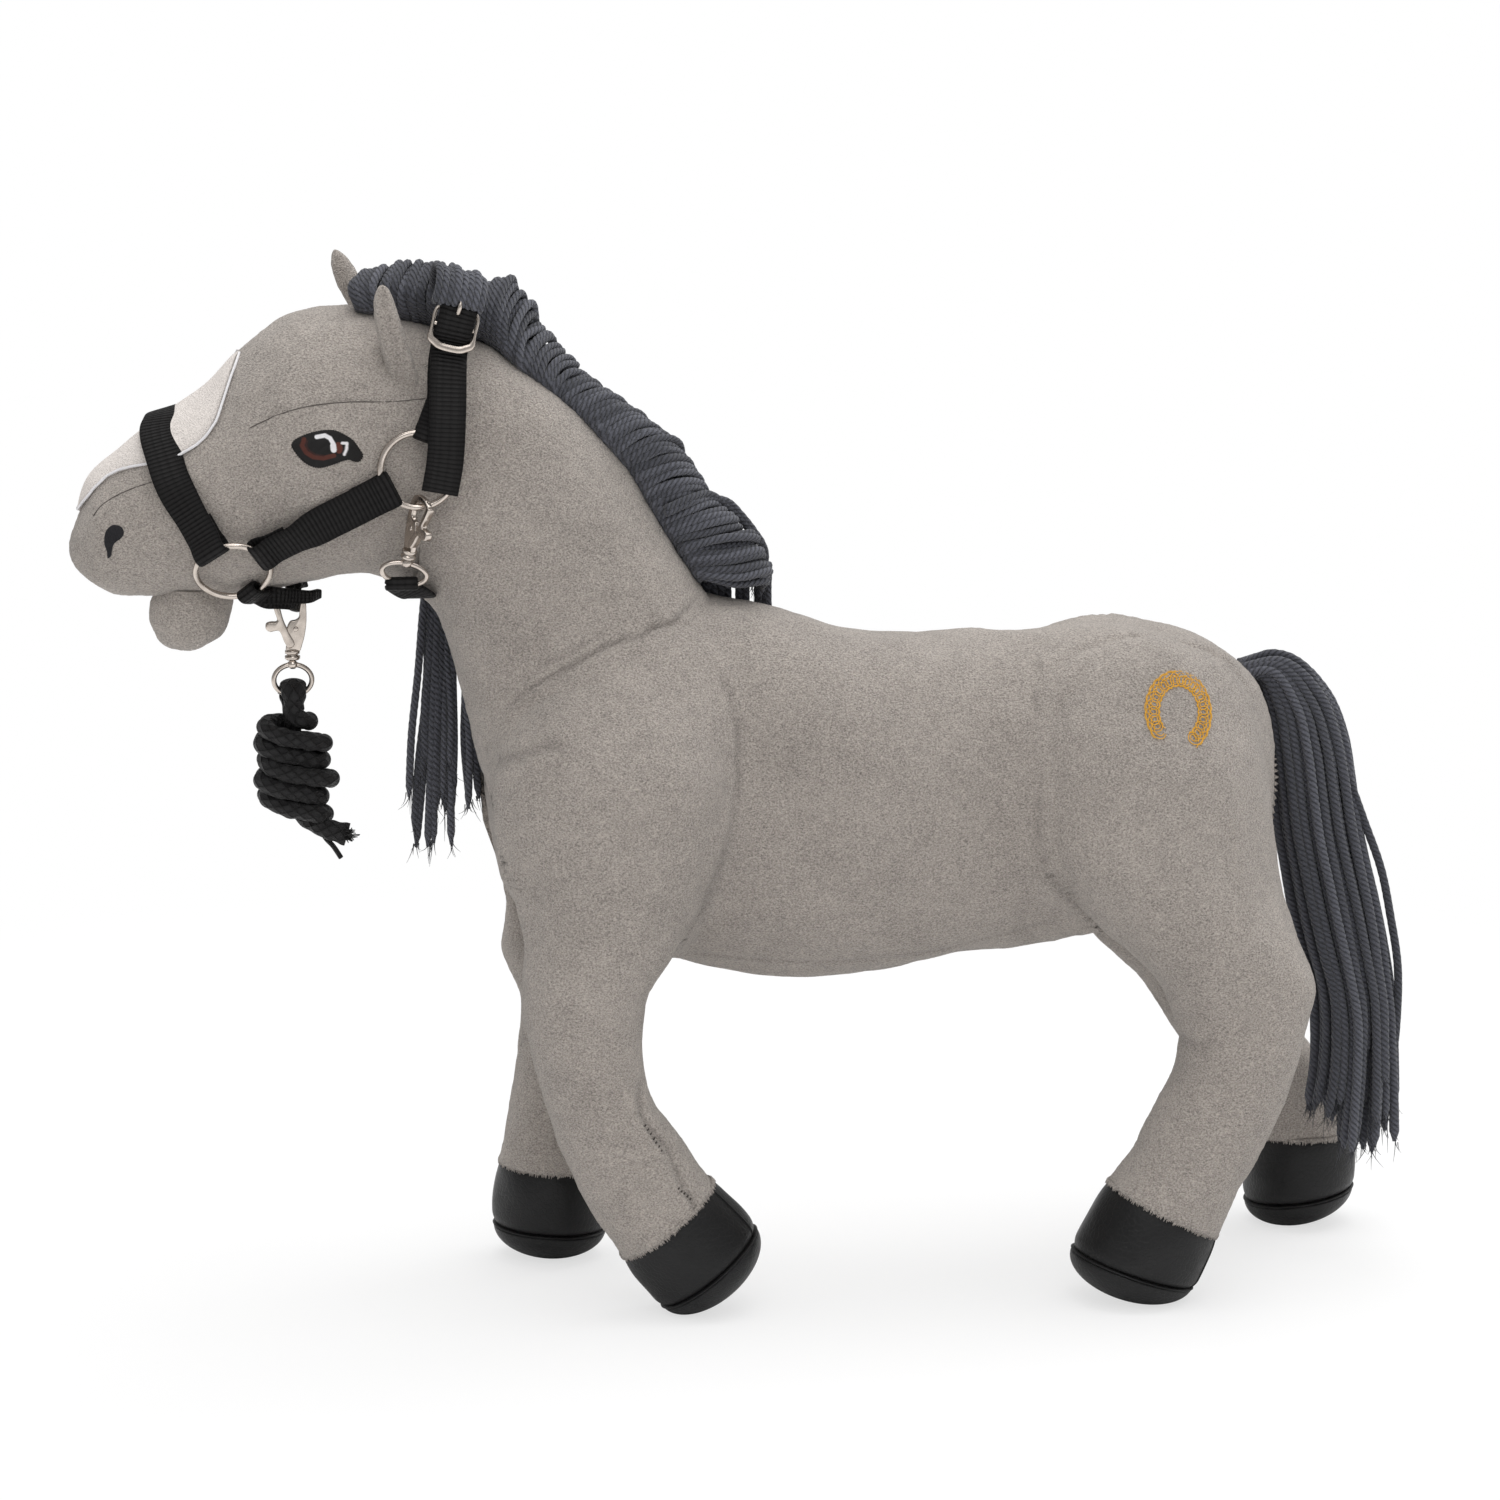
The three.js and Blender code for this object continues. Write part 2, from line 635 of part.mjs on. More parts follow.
// A point on the head's surface. The row counts sections from the muzzle, and the turn
// runs from the top towards the horse's right side.
const headStations = stationsOf(headFrame, headShares, 0);
function headSurface(row, turn, off) {
  const low = Math.floor(row);
  const [a, b] = [headStations[low], headStations[low + 1]];
  const part = row - low;
  const [centre, u, v] = ["centre", "u", "v"].map((key) => a[key].clone().lerp(b[key], part));
  u.setLength((u.length() + off) * Math.cos(turn));
  v.setLength((v.length() + off) * Math.sin(turn));
  return centre.add(u).add(v);
}

// Noseband, from ring to ring over the nose
const nosebandRow = 4;
const nosebandTurn = { left: (125 * Math.PI) / 180, right: (115 * Math.PI) / 180 };
const nosebandSkewShare = 0.75; // of a row, further back at the right ring
const nosebandRowShare = 0.3; // of a row, to both sides, which gives the way across
const nosebandSide = (80 * Math.PI) / 180;
const nosebandSteps = 12;
const nosebandOff = clearance + webThick;
const nosebandPoints = [ringPoint(noseRing.left, nosebandTurn.left)];
const nosebandAcross = [];
for (let i = 0; i <= nosebandSteps; i++) {
  const turn = nosebandSide * (2 * (i / nosebandSteps) - 1);
  const row = nosebandRow + Math.max(0, turn / nosebandSide) * nosebandSkewShare;
  nosebandPoints.push(headSurface(row, turn, nosebandOff));
  const ahead = headSurface(row + nosebandRowShare, turn, nosebandOff);
  nosebandAcross.push(ahead.sub(headSurface(row - nosebandRowShare, turn, nosebandOff)));
}
nosebandPoints.push(ringPoint(noseRing.right, nosebandTurn.right));
nosebandAcross.unshift(nosebandAcross[0]);
nosebandAcross.push(nosebandAcross.at(-1));
const nosebandAcrossAt = (share) => nosebandAcross[Math.round(share * (nosebandPoints.length - 1))];
addPiece(
  "noseband",
  strip(nosebandPoints, nosebandAcrossAt, fixedWidth, fixedThick)
    .add(ringLoop(noseRing.left, nosebandTurn.left))
    .add(ringLoop(noseRing.right, nosebandTurn.right))
    .subtract(ringSpace(noseRing.left))
    .subtract(ringSpace(noseRing.right))
    .subtract(headForm(clearance + feltThick + clearance)),
  look.webbing,
);

// Cheek straps, from the nose rings to the cheek rings
const cheekStart = { left: (42 * Math.PI) / 180, right: (50 * Math.PI) / 180 };
const cheekEnd = { left: (214 * Math.PI) / 180, right: (208 * Math.PI) / 180 };
const cheekPad = webThick; // between a cheek strap and the plush
const cheekLeanShare = 0.45; // how far a cheek strap leans out at its nose ring
["left", "right"].forEach((side) => {
  const sign = side === "left" ? left : right;
  const from = ringPoint(noseRing[side], cheekStart[side]);
  const to = ringPoint(cheekRing[side], cheekEnd[side]);
  const way = to.clone().sub(from).normalize();
  const flat = new V3(-way.z, 0, way.x);
  const middle = from.clone().lerp(to, 0.5);
  middle.y = sign * (Math.abs(middle.y) + cheekPad / 2);
  const leaning = flat.clone().setY(sign * cheekLeanShare);
  addPiece(
    "cheek_strap_" + side,
    strip([from, middle, to], mix(leaning, flat), fixedWidth, fixedThick)
      .add(ringLoop(noseRing[side], cheekStart[side]))
      .add(ringLoop(cheekRing[side], cheekEnd[side]))
      .subtract(ringSpace(noseRing[side]))
      .subtract(ringSpace(cheekRing[side]))
      .subtract(headSwollen)
      .subtract(neckSwollen),
    look.webbing,
  );
});

// Crown straps. They lie in a leaning plane that rises from the cheek rings: up is the way
// along that plane, and a strap's place outwards is counted from a line from ring to buckle.
const lean = new V3(0.25, 0, 1).normalize();
const leanAcross = new V3(lean.z, 0, -lean.x);
const buckleUp = 62.5; // from the ring's middle to the buckle's middle
const buckleInset = 5; // the buckle lies this much nearer the middle than the ring
const buckleY = cheekRingY - buckleInset;
const flatUp = ringRadius + loopDepth; // up to here the straps lie flat over the ring
const slope = (cheekRingY - buckleY) / (buckleUp - flatUp);
const baseY = (up) => cheekRingY - slope * Math.max(0, up - flatUp);
const crownAt = (up, y) => cheekMiddle.clone().addScaledVector(lean, up).setY(y);
const outerAt = (up, out) => crownAt(up, -(baseY(up) + out));
const topBarUp = buckleUp + buckleHeight / 2 - buckleBar;
const lowBarUp = buckleUp - buckleHeight / 2 + buckleBar;
const midBarUp = topBarUp - barFromTop;
const bowDepth = buckleBar;
const underFrom = lowBarUp - bowDepth - 1.5 * buckleBar;
const underTo = lowBarUp + 1.5 * buckleBar;
const overBar = buckleBar + 2 * clearance + webThick / 2;
const layer = webThick + clearance;
const loopOver = loopThick / 2 + clearance + webThick / 2;
const acrossLean = () => leanAcross;

// Inner strap: from the left cheek ring up under the low bar to the middle bar
const innerPoints = [
  outerAt(ringRadius, 0),
  outerAt(ringRadius + webWidth, -webThick),
  outerAt(lowBarUp - loopDepth, -overBar - layer),
  outerAt(underFrom, -overBar - 1.25 * layer),
  outerAt(underTo, -overBar - 1.25 * layer),
  outerAt(midBarUp - overBar, -overBar),
];
const ringTop = Math.PI / 2 - Math.asin(lean.x);
addPiece(
  "buckle_strap",
  strip(innerPoints, acrossLean, fixedWidth, fixedThick)
    .add(ringLoop(cheekRing.left, ringTop))
    .subtract(ringSpace(cheekRing.left))
    .subtract(neckSwollen)
    .subtract(headSwollen),
  look.webbing,
);

// Outer strap: its free end hangs over the ring, it runs under the low bar and over the
// other two, then over the poll to the right cheek ring
const tailEndUp = -10;
const crownTop = 78;
const crownShares = [
  [0.981, -0.42],
  [0.995, -0.3],
  [1, -0.107],
  [1, 0.107],
  [0.992, 0.3],
  [0.962, 0.41],
  [0.885, 0.462],
];
const crownSideShares = [0.487, 0.495];
const outerPoints = [
  outerAt(tailEndUp, loopOver),
  outerAt(ringRadius + loopDepth, loopOver),
  outerAt(lowBarUp - loopDepth, 0),
  outerAt(underFrom, -overBar),
  outerAt(underTo, -overBar),
  outerAt(midBarUp - 1.2 * buckleBar, overBar),
  outerAt(topBarUp + buckleBar, overBar),
  ...crownShares.map(([up, across]) => crownAt(up * crownTop, across * headWidth)),
  shift(crownAt(crownSideShares[0] * crownTop, crownSideShares[1] * headWidth), farCheekShift / 2),
  ringPoint(cheekRing.right, ringTop),
];
// Buckle: a frame with a bowed low bar, a middle bar and a tongue on it
const bucklePlace = outerAt(buckleUp, 0);
const buckleRise = outerAt(topBarUp, 0).sub(bucklePlace).normalize();
const buckleOut = new V3().crossVectors(leanAcross, buckleRise);
const buckleCorner = buckleBar * 2.4;
function roundedRectangle(halfWidth, low, high, corner, bow = 0) {
  const shape = new THREE.Shape();
  shape.moveTo(-halfWidth + corner, high);
  shape.quadraticCurveTo(-halfWidth, high, -halfWidth, high - corner);
  shape.lineTo(-halfWidth, low + corner);
  shape.quadraticCurveTo(-halfWidth, low - bow / 2, 0, low - bow);
  shape.quadraticCurveTo(halfWidth, low - bow / 2, halfWidth, low + corner);
  shape.lineTo(halfWidth, high - corner);
  shape.quadraticCurveTo(halfWidth, high, halfWidth - corner, high);
  shape.closePath();
  return shape;
}
function placeBuckle(geometry) {
  const basis = new THREE.Matrix4().makeBasis(leanAcross, buckleRise, buckleOut);
  return solidOf(geometry.applyMatrix4(basis.setPosition(bucklePlace)));
}
const curveSteps = 4;
const plate = (shape) => {
  const depth = 2 * buckleBar;
  const options = { depth, bevelEnabled: false, curveSegments: curveSteps };
  const geometry = new THREE.ExtrudeGeometry(shape, options);
  return placeBuckle(geometry.translate(0, 0, -buckleBar));
};
const buckleSolidOutline = (inwards, corner) => {
  const [wide, high] = [buckleWidth / 2 - inwards, buckleHeight / 2 - inwards];
  return roundedRectangle(wide, -high, high, corner, bowDepth);
};
const buckleOuter = buckleSolidOutline(0, buckleCorner);
const buckleInner = buckleSolidOutline(2 * buckleBar, buckleBar);
buckleOuter.holes.push(new THREE.Path(buckleInner.getPoints(curveSteps).reverse()));
const barSpan = buckleWidth / 2 - buckleBar;
const midBar = barBetween(
  outerAt(midBarUp, 0).addScaledVector(leanAcross, -barSpan),
  outerAt(midBarUp, 0).addScaledVector(leanAcross, barSpan),
  buckleBar,
);
addPiece("buckle_frame", plate(buckleOuter).add(midBar), look.metal);

// The tongue turns on the middle bar and lies over the strap and the top bar
const tongueEye = buckleBar + clearance + eyeWall;
const tongueHigh = overBar + webThick / 2 + clearance + tongueWidth / 2;
const eyeHalf = leanAcross.clone().multiplyScalar(tongueWidth / 2);
const tonguePoints = [
  outerAt(midBarUp, buckleBar + tongueWidth / 2),
  outerAt(midBarUp + tongueWidth, tongueHigh),
  outerAt(midBarUp + tongueLength, tongueHigh),
];
const tongueThick = () => tongueWidth * 0.8;
addPiece(
  "buckle_tongue",
  barBetween(outerAt(midBarUp, 0).sub(eyeHalf), outerAt(midBarUp, 0).add(eyeHalf), tongueEye)
    .add(strip(tonguePoints, acrossLean, () => tongueWidth, tongueThick))
    .subtract(barBetween(
      outerAt(midBarUp, 0).addScaledVector(leanAcross, -buckleWidth),
      outerAt(midBarUp, 0).addScaledVector(leanAcross, buckleWidth),
      buckleBar + clearance,
    )),
  look.metal,
);
const tongueSlot = boxAt(
  outerAt(midBarUp + tongueWidth / 2, overBar),
  [tongueWidth + 4 * clearance, 3.6 * tongueWidth, 4 * webThick],
  leanAcross,
  lean,
);
addPiece(
  "crown_strap",
  strip(outerPoints, acrossLean, fixedWidth, fixedThick)
    .add(ringLoop(cheekRing.right, ringTop))
    .subtract(ringSpace(cheekRing.right))
    .subtract(tongueSlot)
    .subtract(neckSwollen)
    .subtract(headSwollen),
  look.webbing,
);

// Yarn round the poll and along the crest. Both pieces leave room for the crown strap.
const widened = () => webWidth + 2 * clearance;
const thickened = () => webThick + 2 * clearance;
const crownSpace = strip(outerPoints, acrossLean, widened, thickened);
const yarnFrame = { ...neckFrame, width: maneWidth, across: maneWidth * 0.06 };
const forelockShares = [
  [-0.2, 1.05],
  [-0.17, 1.01, -0.155, 1.1, 0.36],
  [-0.08, 0.99, -0.07, 1.11, 0.46],
  [0.04, 0.98, 0.05, 1.112, 0.46],
  [0.13, 0.975, 0.15, 1.1, 0.44],
];
const maneShares = [
  [0.2, 0.95, 0.18, 1.055, 0.4],
  [0.28, 0.93, 0.31, 1.085, 0.46],
  [0.36, 0.9, 0.42, 1, 0.46],
  [0.5, 0.81, 0.63, 0.87, 0.46],
  [0.61, 0.74, 0.75, 0.81, 0.46],
  [0.69, 0.65, 0.85, 0.71, 0.46],
  [0.76, 0.58, 0.965, 0.665, 0.46],
  [0.84, 0.545, 1.04, 0.575, 0.42],
  [1, 0.53],
];
const yarnCut = (solid) => solid.subtract(neckSwollen).subtract(headSwollen).subtract(crownSpace);
addPiece("forelock", yarnCut(form(yarnFrame, forelockShares, 0, smallSides)), look.yarn);
const crest = yarnCut(form(yarnFrame, maneShares, 0, smallSides));
addPiece("mane_crest", crest.subtract(torsoSwollen), look.yarn);

// Yarn that hangs down the right side of the neck, in front of the right fore leg
const fallFrame = { ...neckFrame, width: maneFallThick, across: 0.5 * neckWidth };
const fallShares = [
  [0.2, 0.93, 0.42, 0.86, 0.3, 0.85],
  [0.21, 0.8, 0.52, 0.72, 0.4, 1],
  [0.18, 0.66, 0.5, 0.63, 0.42, 1.06],
  [0.08, 0.52, 0.3, 0.5, 0.34, 1.12],
  [0, 0.4, 0.15, 0.4, 0.26, 1.16],
  [-0.015, 0.2, 0.13, 0.2, 0.24, 1.2],
  [0, 0.04, 0.12, 0.05, 0.18, 1.22],
];
addPiece(
  "mane_fall",
  form(fallFrame, fallShares, 0, smallSides)
    .subtract(neckSwollen)
    .subtract(headSwollen)
    .subtract(torsoSwollen)
    .subtract(form(yarnFrame, maneShares, clearance, smallSides)),
  look.yarn,
);

// Chin strap, rolled in its middle, where the lead's snap hooks on
const chinStart = (-60 * Math.PI) / 180;
const chinEnd = (-78 * Math.PI) / 180;
const chinFrom = ringPoint(noseRing.left, chinStart);
const chinTo = ringPoint(noseRing.right, chinEnd);
const chinPoints = [
  chinFrom,
  chinFrom.clone().lerp(leadPivot, 0.55).setZ(leadPivot.z + rolledThick / 2),
  leadPivot.clone().setY(leadPivot.y - rolledWidth),
  leadPivot.clone().setY(leadPivot.y + rolledWidth),
  chinTo.clone().lerp(leadPivot, 0.5).setZ(leadPivot.z + rolledThick / 2),
  chinTo,
];
const chinWidthShares = [1, 0.5, 0, 0, 0.5, 1];
const chinStations = chinPoints.map((centre, i) => {
  const wide = chinWidthShares[i];
  const last = chinPoints.length - 1;
  const way = chinPoints[Math.min(i + 1, last)].clone().sub(chinPoints[Math.max(i - 1, 0)]);
  const u = xAxis.clone().addScaledVector(way, -way.x / way.lengthSq()).normalize();
  const v = new V3().crossVectors(way, u).normalize();
  u.multiplyScalar((rolledWidth + (webWidth - rolledWidth) * wide) / 2);
  v.multiplyScalar((rolledThick + (webThick - rolledThick) * wide) / 2);
  return { centre, u, v };
});
addPiece(
  "chin_strap",
  solidOf(skin(chinStations, roundOutline(smallSides, 0.7)))
    .add(ringLoop(noseRing.left, chinStart))
    .add(ringLoop(noseRing.right, chinEnd))
    .subtract(ringSpace(noseRing.left))
    .subtract(ringSpace(noseRing.right))
    .subtract(headSwollen),
  look.webbing,
);

// Swivel snaps. A snap's own plane has aside (its first axis) and up (its second). Its
// outline is in shares of the snap's width and length, from the top of its collar.
const hookShares = [
  [-0.167, 0], [0.167, 0], [0.278, 0.207], [0.444, 0.448], [0.5, 0.655], [0.444, 0.862],
  [0.25, 0.976], [0, 1], [-0.25, 0.976], [-0.367, 0.903], [-0.244, 0.862], [-0.139, 0.893],
  [0, 0.907], [0.167, 0.862], [0.3, 0.759], [0.328, 0.638], [0.267, 0.517], [0.083, 0.397],
  [-0.083, 0.328], [-0.222, 0.293], [-0.256, 0.172],
];
const leverShares = [
  [-0.215, 0.1], [-0.07, 0.11], [-0.05, 0.22], [-0.2, 0.35], [-0.275, 0.5], [-0.285, 0.83],
  [-0.4, 0.815], [-0.44, 0.74], [-0.4, 0.5], [-0.6, 0.46], [-0.6, 0.37], [-0.37, 0.335], [-0.31, 0.2],
];
const rivetShares = [-0.138, 0.18];
const slotShares = [[-0.75, 0.07], [0.03, 0.07], [0.03, 0.4], [-0.75, 0.4]];
const crookShare = 0.86; // of the snap's length, up to what the hook holds
function snapFrame(hold, holdRadius, holdAside, up, aside, bailAside, bail, size) {
  // The hold point is the middle of what lies in the hook's crook
  const out = new V3().crossVectors(aside, up);
  const crook = crookShare * snapLength * size - holdRadius - clearance;
  const origin = hold.clone().addScaledVector(up, -crook).addScaledVector(aside, -holdAside * size);
  const bailOut = new V3().crossVectors(bailAside, up);
  return { origin, up, aside, out, bailAside, bailOut, bail, size };
}
const snapPoint = ({ origin, up, aside, size }, across, along) =>
  origin.clone().addScaledVector(aside, across * size).addScaledVector(up, along * size);
function snapPlate(frame, outlineShares, thick) {
  const corners = outlineShares.map(([p, q]) => new THREE.Vector2(p * snapWidth, q * snapLength));
  const geometry = new THREE.ExtrudeGeometry(new THREE.Shape(corners), { depth: thick, bevelEnabled: false });
  geometry.translate(0, 0, -thick / 2).scale(frame.size, frame.size, frame.size);
  const basis = new THREE.Matrix4().makeBasis(frame.aside, frame.up, frame.out);
  geometry.applyMatrix4(basis.setPosition(frame.origin));
  return solidOf(geometry);
}
function addSnap(name, frame) {
  const { size, out } = frame;
  const rivet = snapPoint(frame, rivetShares[0] * snapWidth, rivetShares[1] * snapLength);
  const rivetBar = (radius) => barBetween(
    rivet.clone().addScaledVector(out, (-snapThick / 2) * size),
    rivet.clone().addScaledVector(out, (snapThick / 2) * size),
    radius,
  );
  const slotThick = leverThick + (2 * clearance) / size;
  const collarEnd = snapPoint(frame, 0, -collarHeight);
  const boreEnds = [-2 * collarHeight, -2 * clearance].map((along) => snapPoint(frame, 0, along));
  const bore = barBetween(...boreEnds, postRadius * size + clearance);
  const body = snapPlate(frame, hookShares, snapThick)
    .subtract(snapPlate(frame, slotShares, slotThick))
    .add(rivetBar(rivetRadius * size))
    .add(barBetween(collarEnd, snapPoint(frame, 0, 3 * clearance), collarRadius * size))
    .subtract(bore);
  addPiece(name + "_body", body, look.metal);
  const lever = snapPlate(frame, leverShares, leverThick).subtract(rivetBar(rivetRadius * size + clearance));
  addPiece(name + "_lever", lever, look.metal);
}

// The post that turns in the snap's collar, with its bail
const bailMiddle = (frame) =>
  snapPoint(frame, 0, -collarHeight - postShow).addScaledVector(frame.up, -frame.bail.height / 2);
const bailLow = (frame) => bailMiddle(frame).addScaledVector(frame.up, -frame.bail.height / 2 + bailWire);
function bailRing({ up, bailAside, bailOut, bail }, middle, grow = 0) {
  const high = bail.height / 2 - bailWire;
  const ring = new THREE.TorusGeometry(high, bailWire + grow, wireSides, ringSteps);
  ring.scale((bail.width / 2 - bailWire) / high, 1, 1);
  ring.applyMatrix4(new THREE.Matrix4().makeBasis(bailAside, up, bailOut).setPosition(middle));
  return solidOf(ring);
}
function bailSolid(frame) {
  const low = bailMiddle(frame).addScaledVector(frame.up, frame.bail.height / 2 - bailWire);
  const post = barBetween(low, snapPoint(frame, 0, -4 * clearance), postRadius * frame.size);
  return bailRing(frame, bailMiddle(frame)).add(post);
}

const leadBail = { width: bailWidth, height: bailHeight };
const leadHold = rolledThick / 2;
const leadFrame = snapFrame(leadPivot, leadHold, leadPivotAside, zAxis, xAxis, xAxis, leadBail, 1);
addSnap("lead_snap", leadFrame);
addPiece("lead_bail", bailSolid(leadFrame), look.metal);

// The throat snap hangs on the left cheek ring and holds the throat strap
const squareTo = (way, up) => way.clone().addScaledVector(up, -way.dot(up)).normalize();
const throatTop = ringPoint(cheekRing.left, (-88 * Math.PI) / 180);
const throatUp = new V3(0.22, -0.24, 0.95).normalize();
const throatAside = squareTo(new V3(-0.3, 1, 0), throatUp);
const throatBail = { width: throatBailWidth, height: throatBailHeight };
const throatFrame = snapFrame(
  throatTop,
  ringWire,
  throatPivotAside,
  throatUp,
  throatAside,
  squareTo(xAxis, throatUp),
  throatBail,
  throatSnapSize,
);
addSnap("throat_snap", throatFrame);
addPiece("throat_bail", bailSolid(throatFrame), look.metal);

// Throat strap, from that bail under the throat to the right cheek ring
const throatBar = bailLow(throatFrame);
const throatEnd = (-92 * Math.PI) / 180;
const throatRight = ringPoint(cheekRing.right, throatEnd);
const throatUnder = headAt(0.93, 0.01);
const throatPoints = [
  throatBar,
  new V3(throatUnder.x, throatBar.y * 0.8, throatUnder.z + webThick),
  new V3(throatUnder.x, -throatStrapWidth, throatUnder.z),
  new V3(throatUnder.x, throatStrapWidth, throatUnder.z),
  new V3(throatUnder.x + webThick, throatRight.y * 0.72, throatUnder.z + 2 * webThick),
  new V3(throatRight.x, throatRight.y * 0.95, throatUnder.z + webWidth),
  throatRight,
];
addPiece(
  "throat_strap",
  strip(throatPoints, () => xAxis, () => throatStrapWidth, fixedThick)
    .add(boxAt(throatBar, [throatStrapWidth, loopDepth, loopThick], throatFrame.bailAside, throatUp))
    .add(ringLoop(cheekRing.right, throatEnd, throatStrapWidth))
    .subtract(bailRing(throatFrame, bailMiddle(throatFrame), clearance))
    .subtract(ringSpace(cheekRing.right))
    .subtract(headSwollen)
    .subtract(neckSwollen),
  look.webbing,
);

// Lead rope. It is doubled over the bail: one side winds round, the other runs straight
// down inside the turns, and both ends are cut off below.
class Route extends THREE.Curve {
  constructor(at) {
    super();
    this.at = at;
  }
  getPoint(share, target = new V3()) {
    return target.copy(this.at(share));
  }
}
const ropeHold = bailLow(leadFrame);
const ropeTurnRadius = bailWire + 2 * clearance + ropeRadius;
const hankTop = ropeHold.z - ropeDrop;
const topPoints = [
  [-1, -ropeDrop], [-1, 0], [-0.71, 0.71 * ropeTurnRadius], [0, ropeTurnRadius],
  [0.71, 0.71 * ropeTurnRadius], [1, 0], [1, -ropeDrop],
].map(([side, high]) => new V3(ropeHold.x, ropeHold.y + side * ropeTurnRadius, ropeHold.z + high));
const topCurve = new THREE.CatmullRomCurve3(topPoints);
addPiece("lead_rope_top", tube(topCurve, ropeRadius, ropeTopSteps, ropeSides), look.rope);

// The wound side: straight for one diameter, then turns that start at the front
const windStart = hankTop - clearance;
const straight = 2 * ropeRadius;
const straightSteps = 3;
const hankSteps = ropeTurns * loopSteps;
const windSteps = hankSteps + 2 * straightSteps;
const widenShare = 0.45; // of a turn, from the doubled top to the full width
const outWay = new V3(0.55, 0, -0.84);
const windAt = (share) => {
  const steps = share * windSteps;
  const early = Math.min(steps / straightSteps, 1) * straight;
  const late = (Math.max(0, steps - straightSteps - hankSteps) / straightSteps) * straight;
  const turns = Math.min(Math.max(0, steps - straightSteps) / loopSteps, ropeTurns);
  const wide = Math.min(turns / widenShare, 1);
  const eased = wide * wide * (3 - 2 * wide);
  const angle = 2 * Math.PI * turns - Math.PI / 2;
  const reachX = ropeTurnRadius + (hankHalfX - ropeTurnRadius) * eased;
  const reachY = ropeTurnRadius + (hankHalfY - ropeTurnRadius) * eased;
  const around = new V3(reachX * Math.cos(angle), reachY * Math.sin(angle), -ropePitch * turns - early);
  return around.add(ropeHold).setZ(around.z + windStart - ropeHold.z).addScaledVector(outWay, late);
};
addPiece("lead_rope_hank", tube(new Route(windAt), ropeRadius, windSteps, ropeSides), look.rope);

// The least gap between turns, measured on points of the rope's middle line
const windPoints = Array.from({ length: 4 * windSteps }, (_, i) => windAt(i / (4 * windSteps)));
let leastGap = Infinity;
windPoints.forEach((one, i) => {
  windPoints.slice(i + 2 * loopSteps).forEach((two) => {
    leastGap = Math.min(leastGap, one.distanceTo(two) - 2 * ropeRadius);
  });
});
console.log("least gap in the hank", leastGap.toFixed(2));

// The straight side, down through the turns to its cut end
const hankLength = straight + ropeTurns * ropePitch;
const coreShares = [
  [0, 1, 0],
  [0, 1, straight / hankLength],
  [0, 0.25, 0.36],
  [0, 0, 0.8],
  [0.7, 0, 1.06],
  [2.9, -0.2, 1.06 + ropeEndLength / hankLength],
];
const corePoints = coreShares.map(([aside, back, down]) => {
  const place = ropeHold.clone().setZ(windStart - down * hankLength);
  return place.addScaledVector(xAxis, aside * ropeTurnRadius).addScaledVector(yAxis, back * ropeTurnRadius);
});
const coreCurve = new THREE.CatmullRomCurve3(corePoints);
addPiece("lead_rope_end", tube(coreCurve, ropeRadius, loopSteps, ropeSides), look.rope);

export default group;
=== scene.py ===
import math

import bpy
import numpy as np
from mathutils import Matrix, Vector


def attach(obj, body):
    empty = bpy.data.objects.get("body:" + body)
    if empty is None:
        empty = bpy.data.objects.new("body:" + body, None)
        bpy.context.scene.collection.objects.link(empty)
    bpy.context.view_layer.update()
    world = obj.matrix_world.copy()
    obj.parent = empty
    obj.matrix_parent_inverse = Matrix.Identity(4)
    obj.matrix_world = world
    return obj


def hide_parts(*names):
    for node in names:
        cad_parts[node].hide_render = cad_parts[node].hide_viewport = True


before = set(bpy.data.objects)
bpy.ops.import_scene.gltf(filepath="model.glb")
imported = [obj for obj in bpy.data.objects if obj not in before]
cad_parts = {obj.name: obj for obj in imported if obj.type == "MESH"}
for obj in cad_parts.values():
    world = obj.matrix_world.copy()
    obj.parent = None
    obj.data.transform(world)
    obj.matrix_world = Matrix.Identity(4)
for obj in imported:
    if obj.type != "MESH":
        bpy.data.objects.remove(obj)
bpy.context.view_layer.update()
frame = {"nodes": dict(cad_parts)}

# A plush horse with yarn mane and tail, a webbing halter and a wound lead rope.
# Metres, +Z up, the head towards -X and the horse's left side, which the camera sees,
# towards -Y. Tables are in shares of a piece's own sizes, or in millimetres where they
# say so.

mm = 0.001
left, right = -1, 1

cameraSetup = {
    "azimuth": -8,  # degrees round from straight at the left side
    "elevation": 10,
    "distance": 2.2,
    "target": (0, 0, 0.245),
    "frameWidth": 0.675,  # metres across the picture at the target
}


def newObject(name, data):
    made = bpy.data.objects.new(name, data)
    bpy.context.collection.objects.link(made)
    return made


def makeCamera(setup):
    turn, rise = math.radians(setup["azimuth"]), math.radians(setup["elevation"])
    away = Vector((math.sin(turn) * math.cos(rise), -math.cos(turn) * math.cos(rise), math.sin(rise)))
    data = bpy.data.cameras.new("photoCamera")
    data.sensor_width = 36
    data.lens = 36 * setup["distance"] / setup["frameWidth"]
    data.clip_end = 40
    camera = newObject("photoCamera", data)
    camera.location = Vector(setup["target"]) + away * setup["distance"]
    camera.rotation_euler = (-away).to_track_quat("-Z", "Y").to_euler()
    bpy.context.scene.camera = camera


makeCamera(cameraSetup)


def addNode(tree, kind, inputs=None, **settings):
    made = tree.nodes.new(kind)
    for key, value in settings.items():
        setattr(made, key, value)
    for key, value in (inputs or {}).items():
        if isinstance(value, bpy.types.NodeSocket):
            tree.links.new(value, made.inputs[key])
        else:
            made.inputs[key].default_value = value
    return made


def mathNode(tree, operation, *values):
    return addNode(tree, "ShaderNodeMath", dict(enumerate(values)), operation=operation).outputs[0]


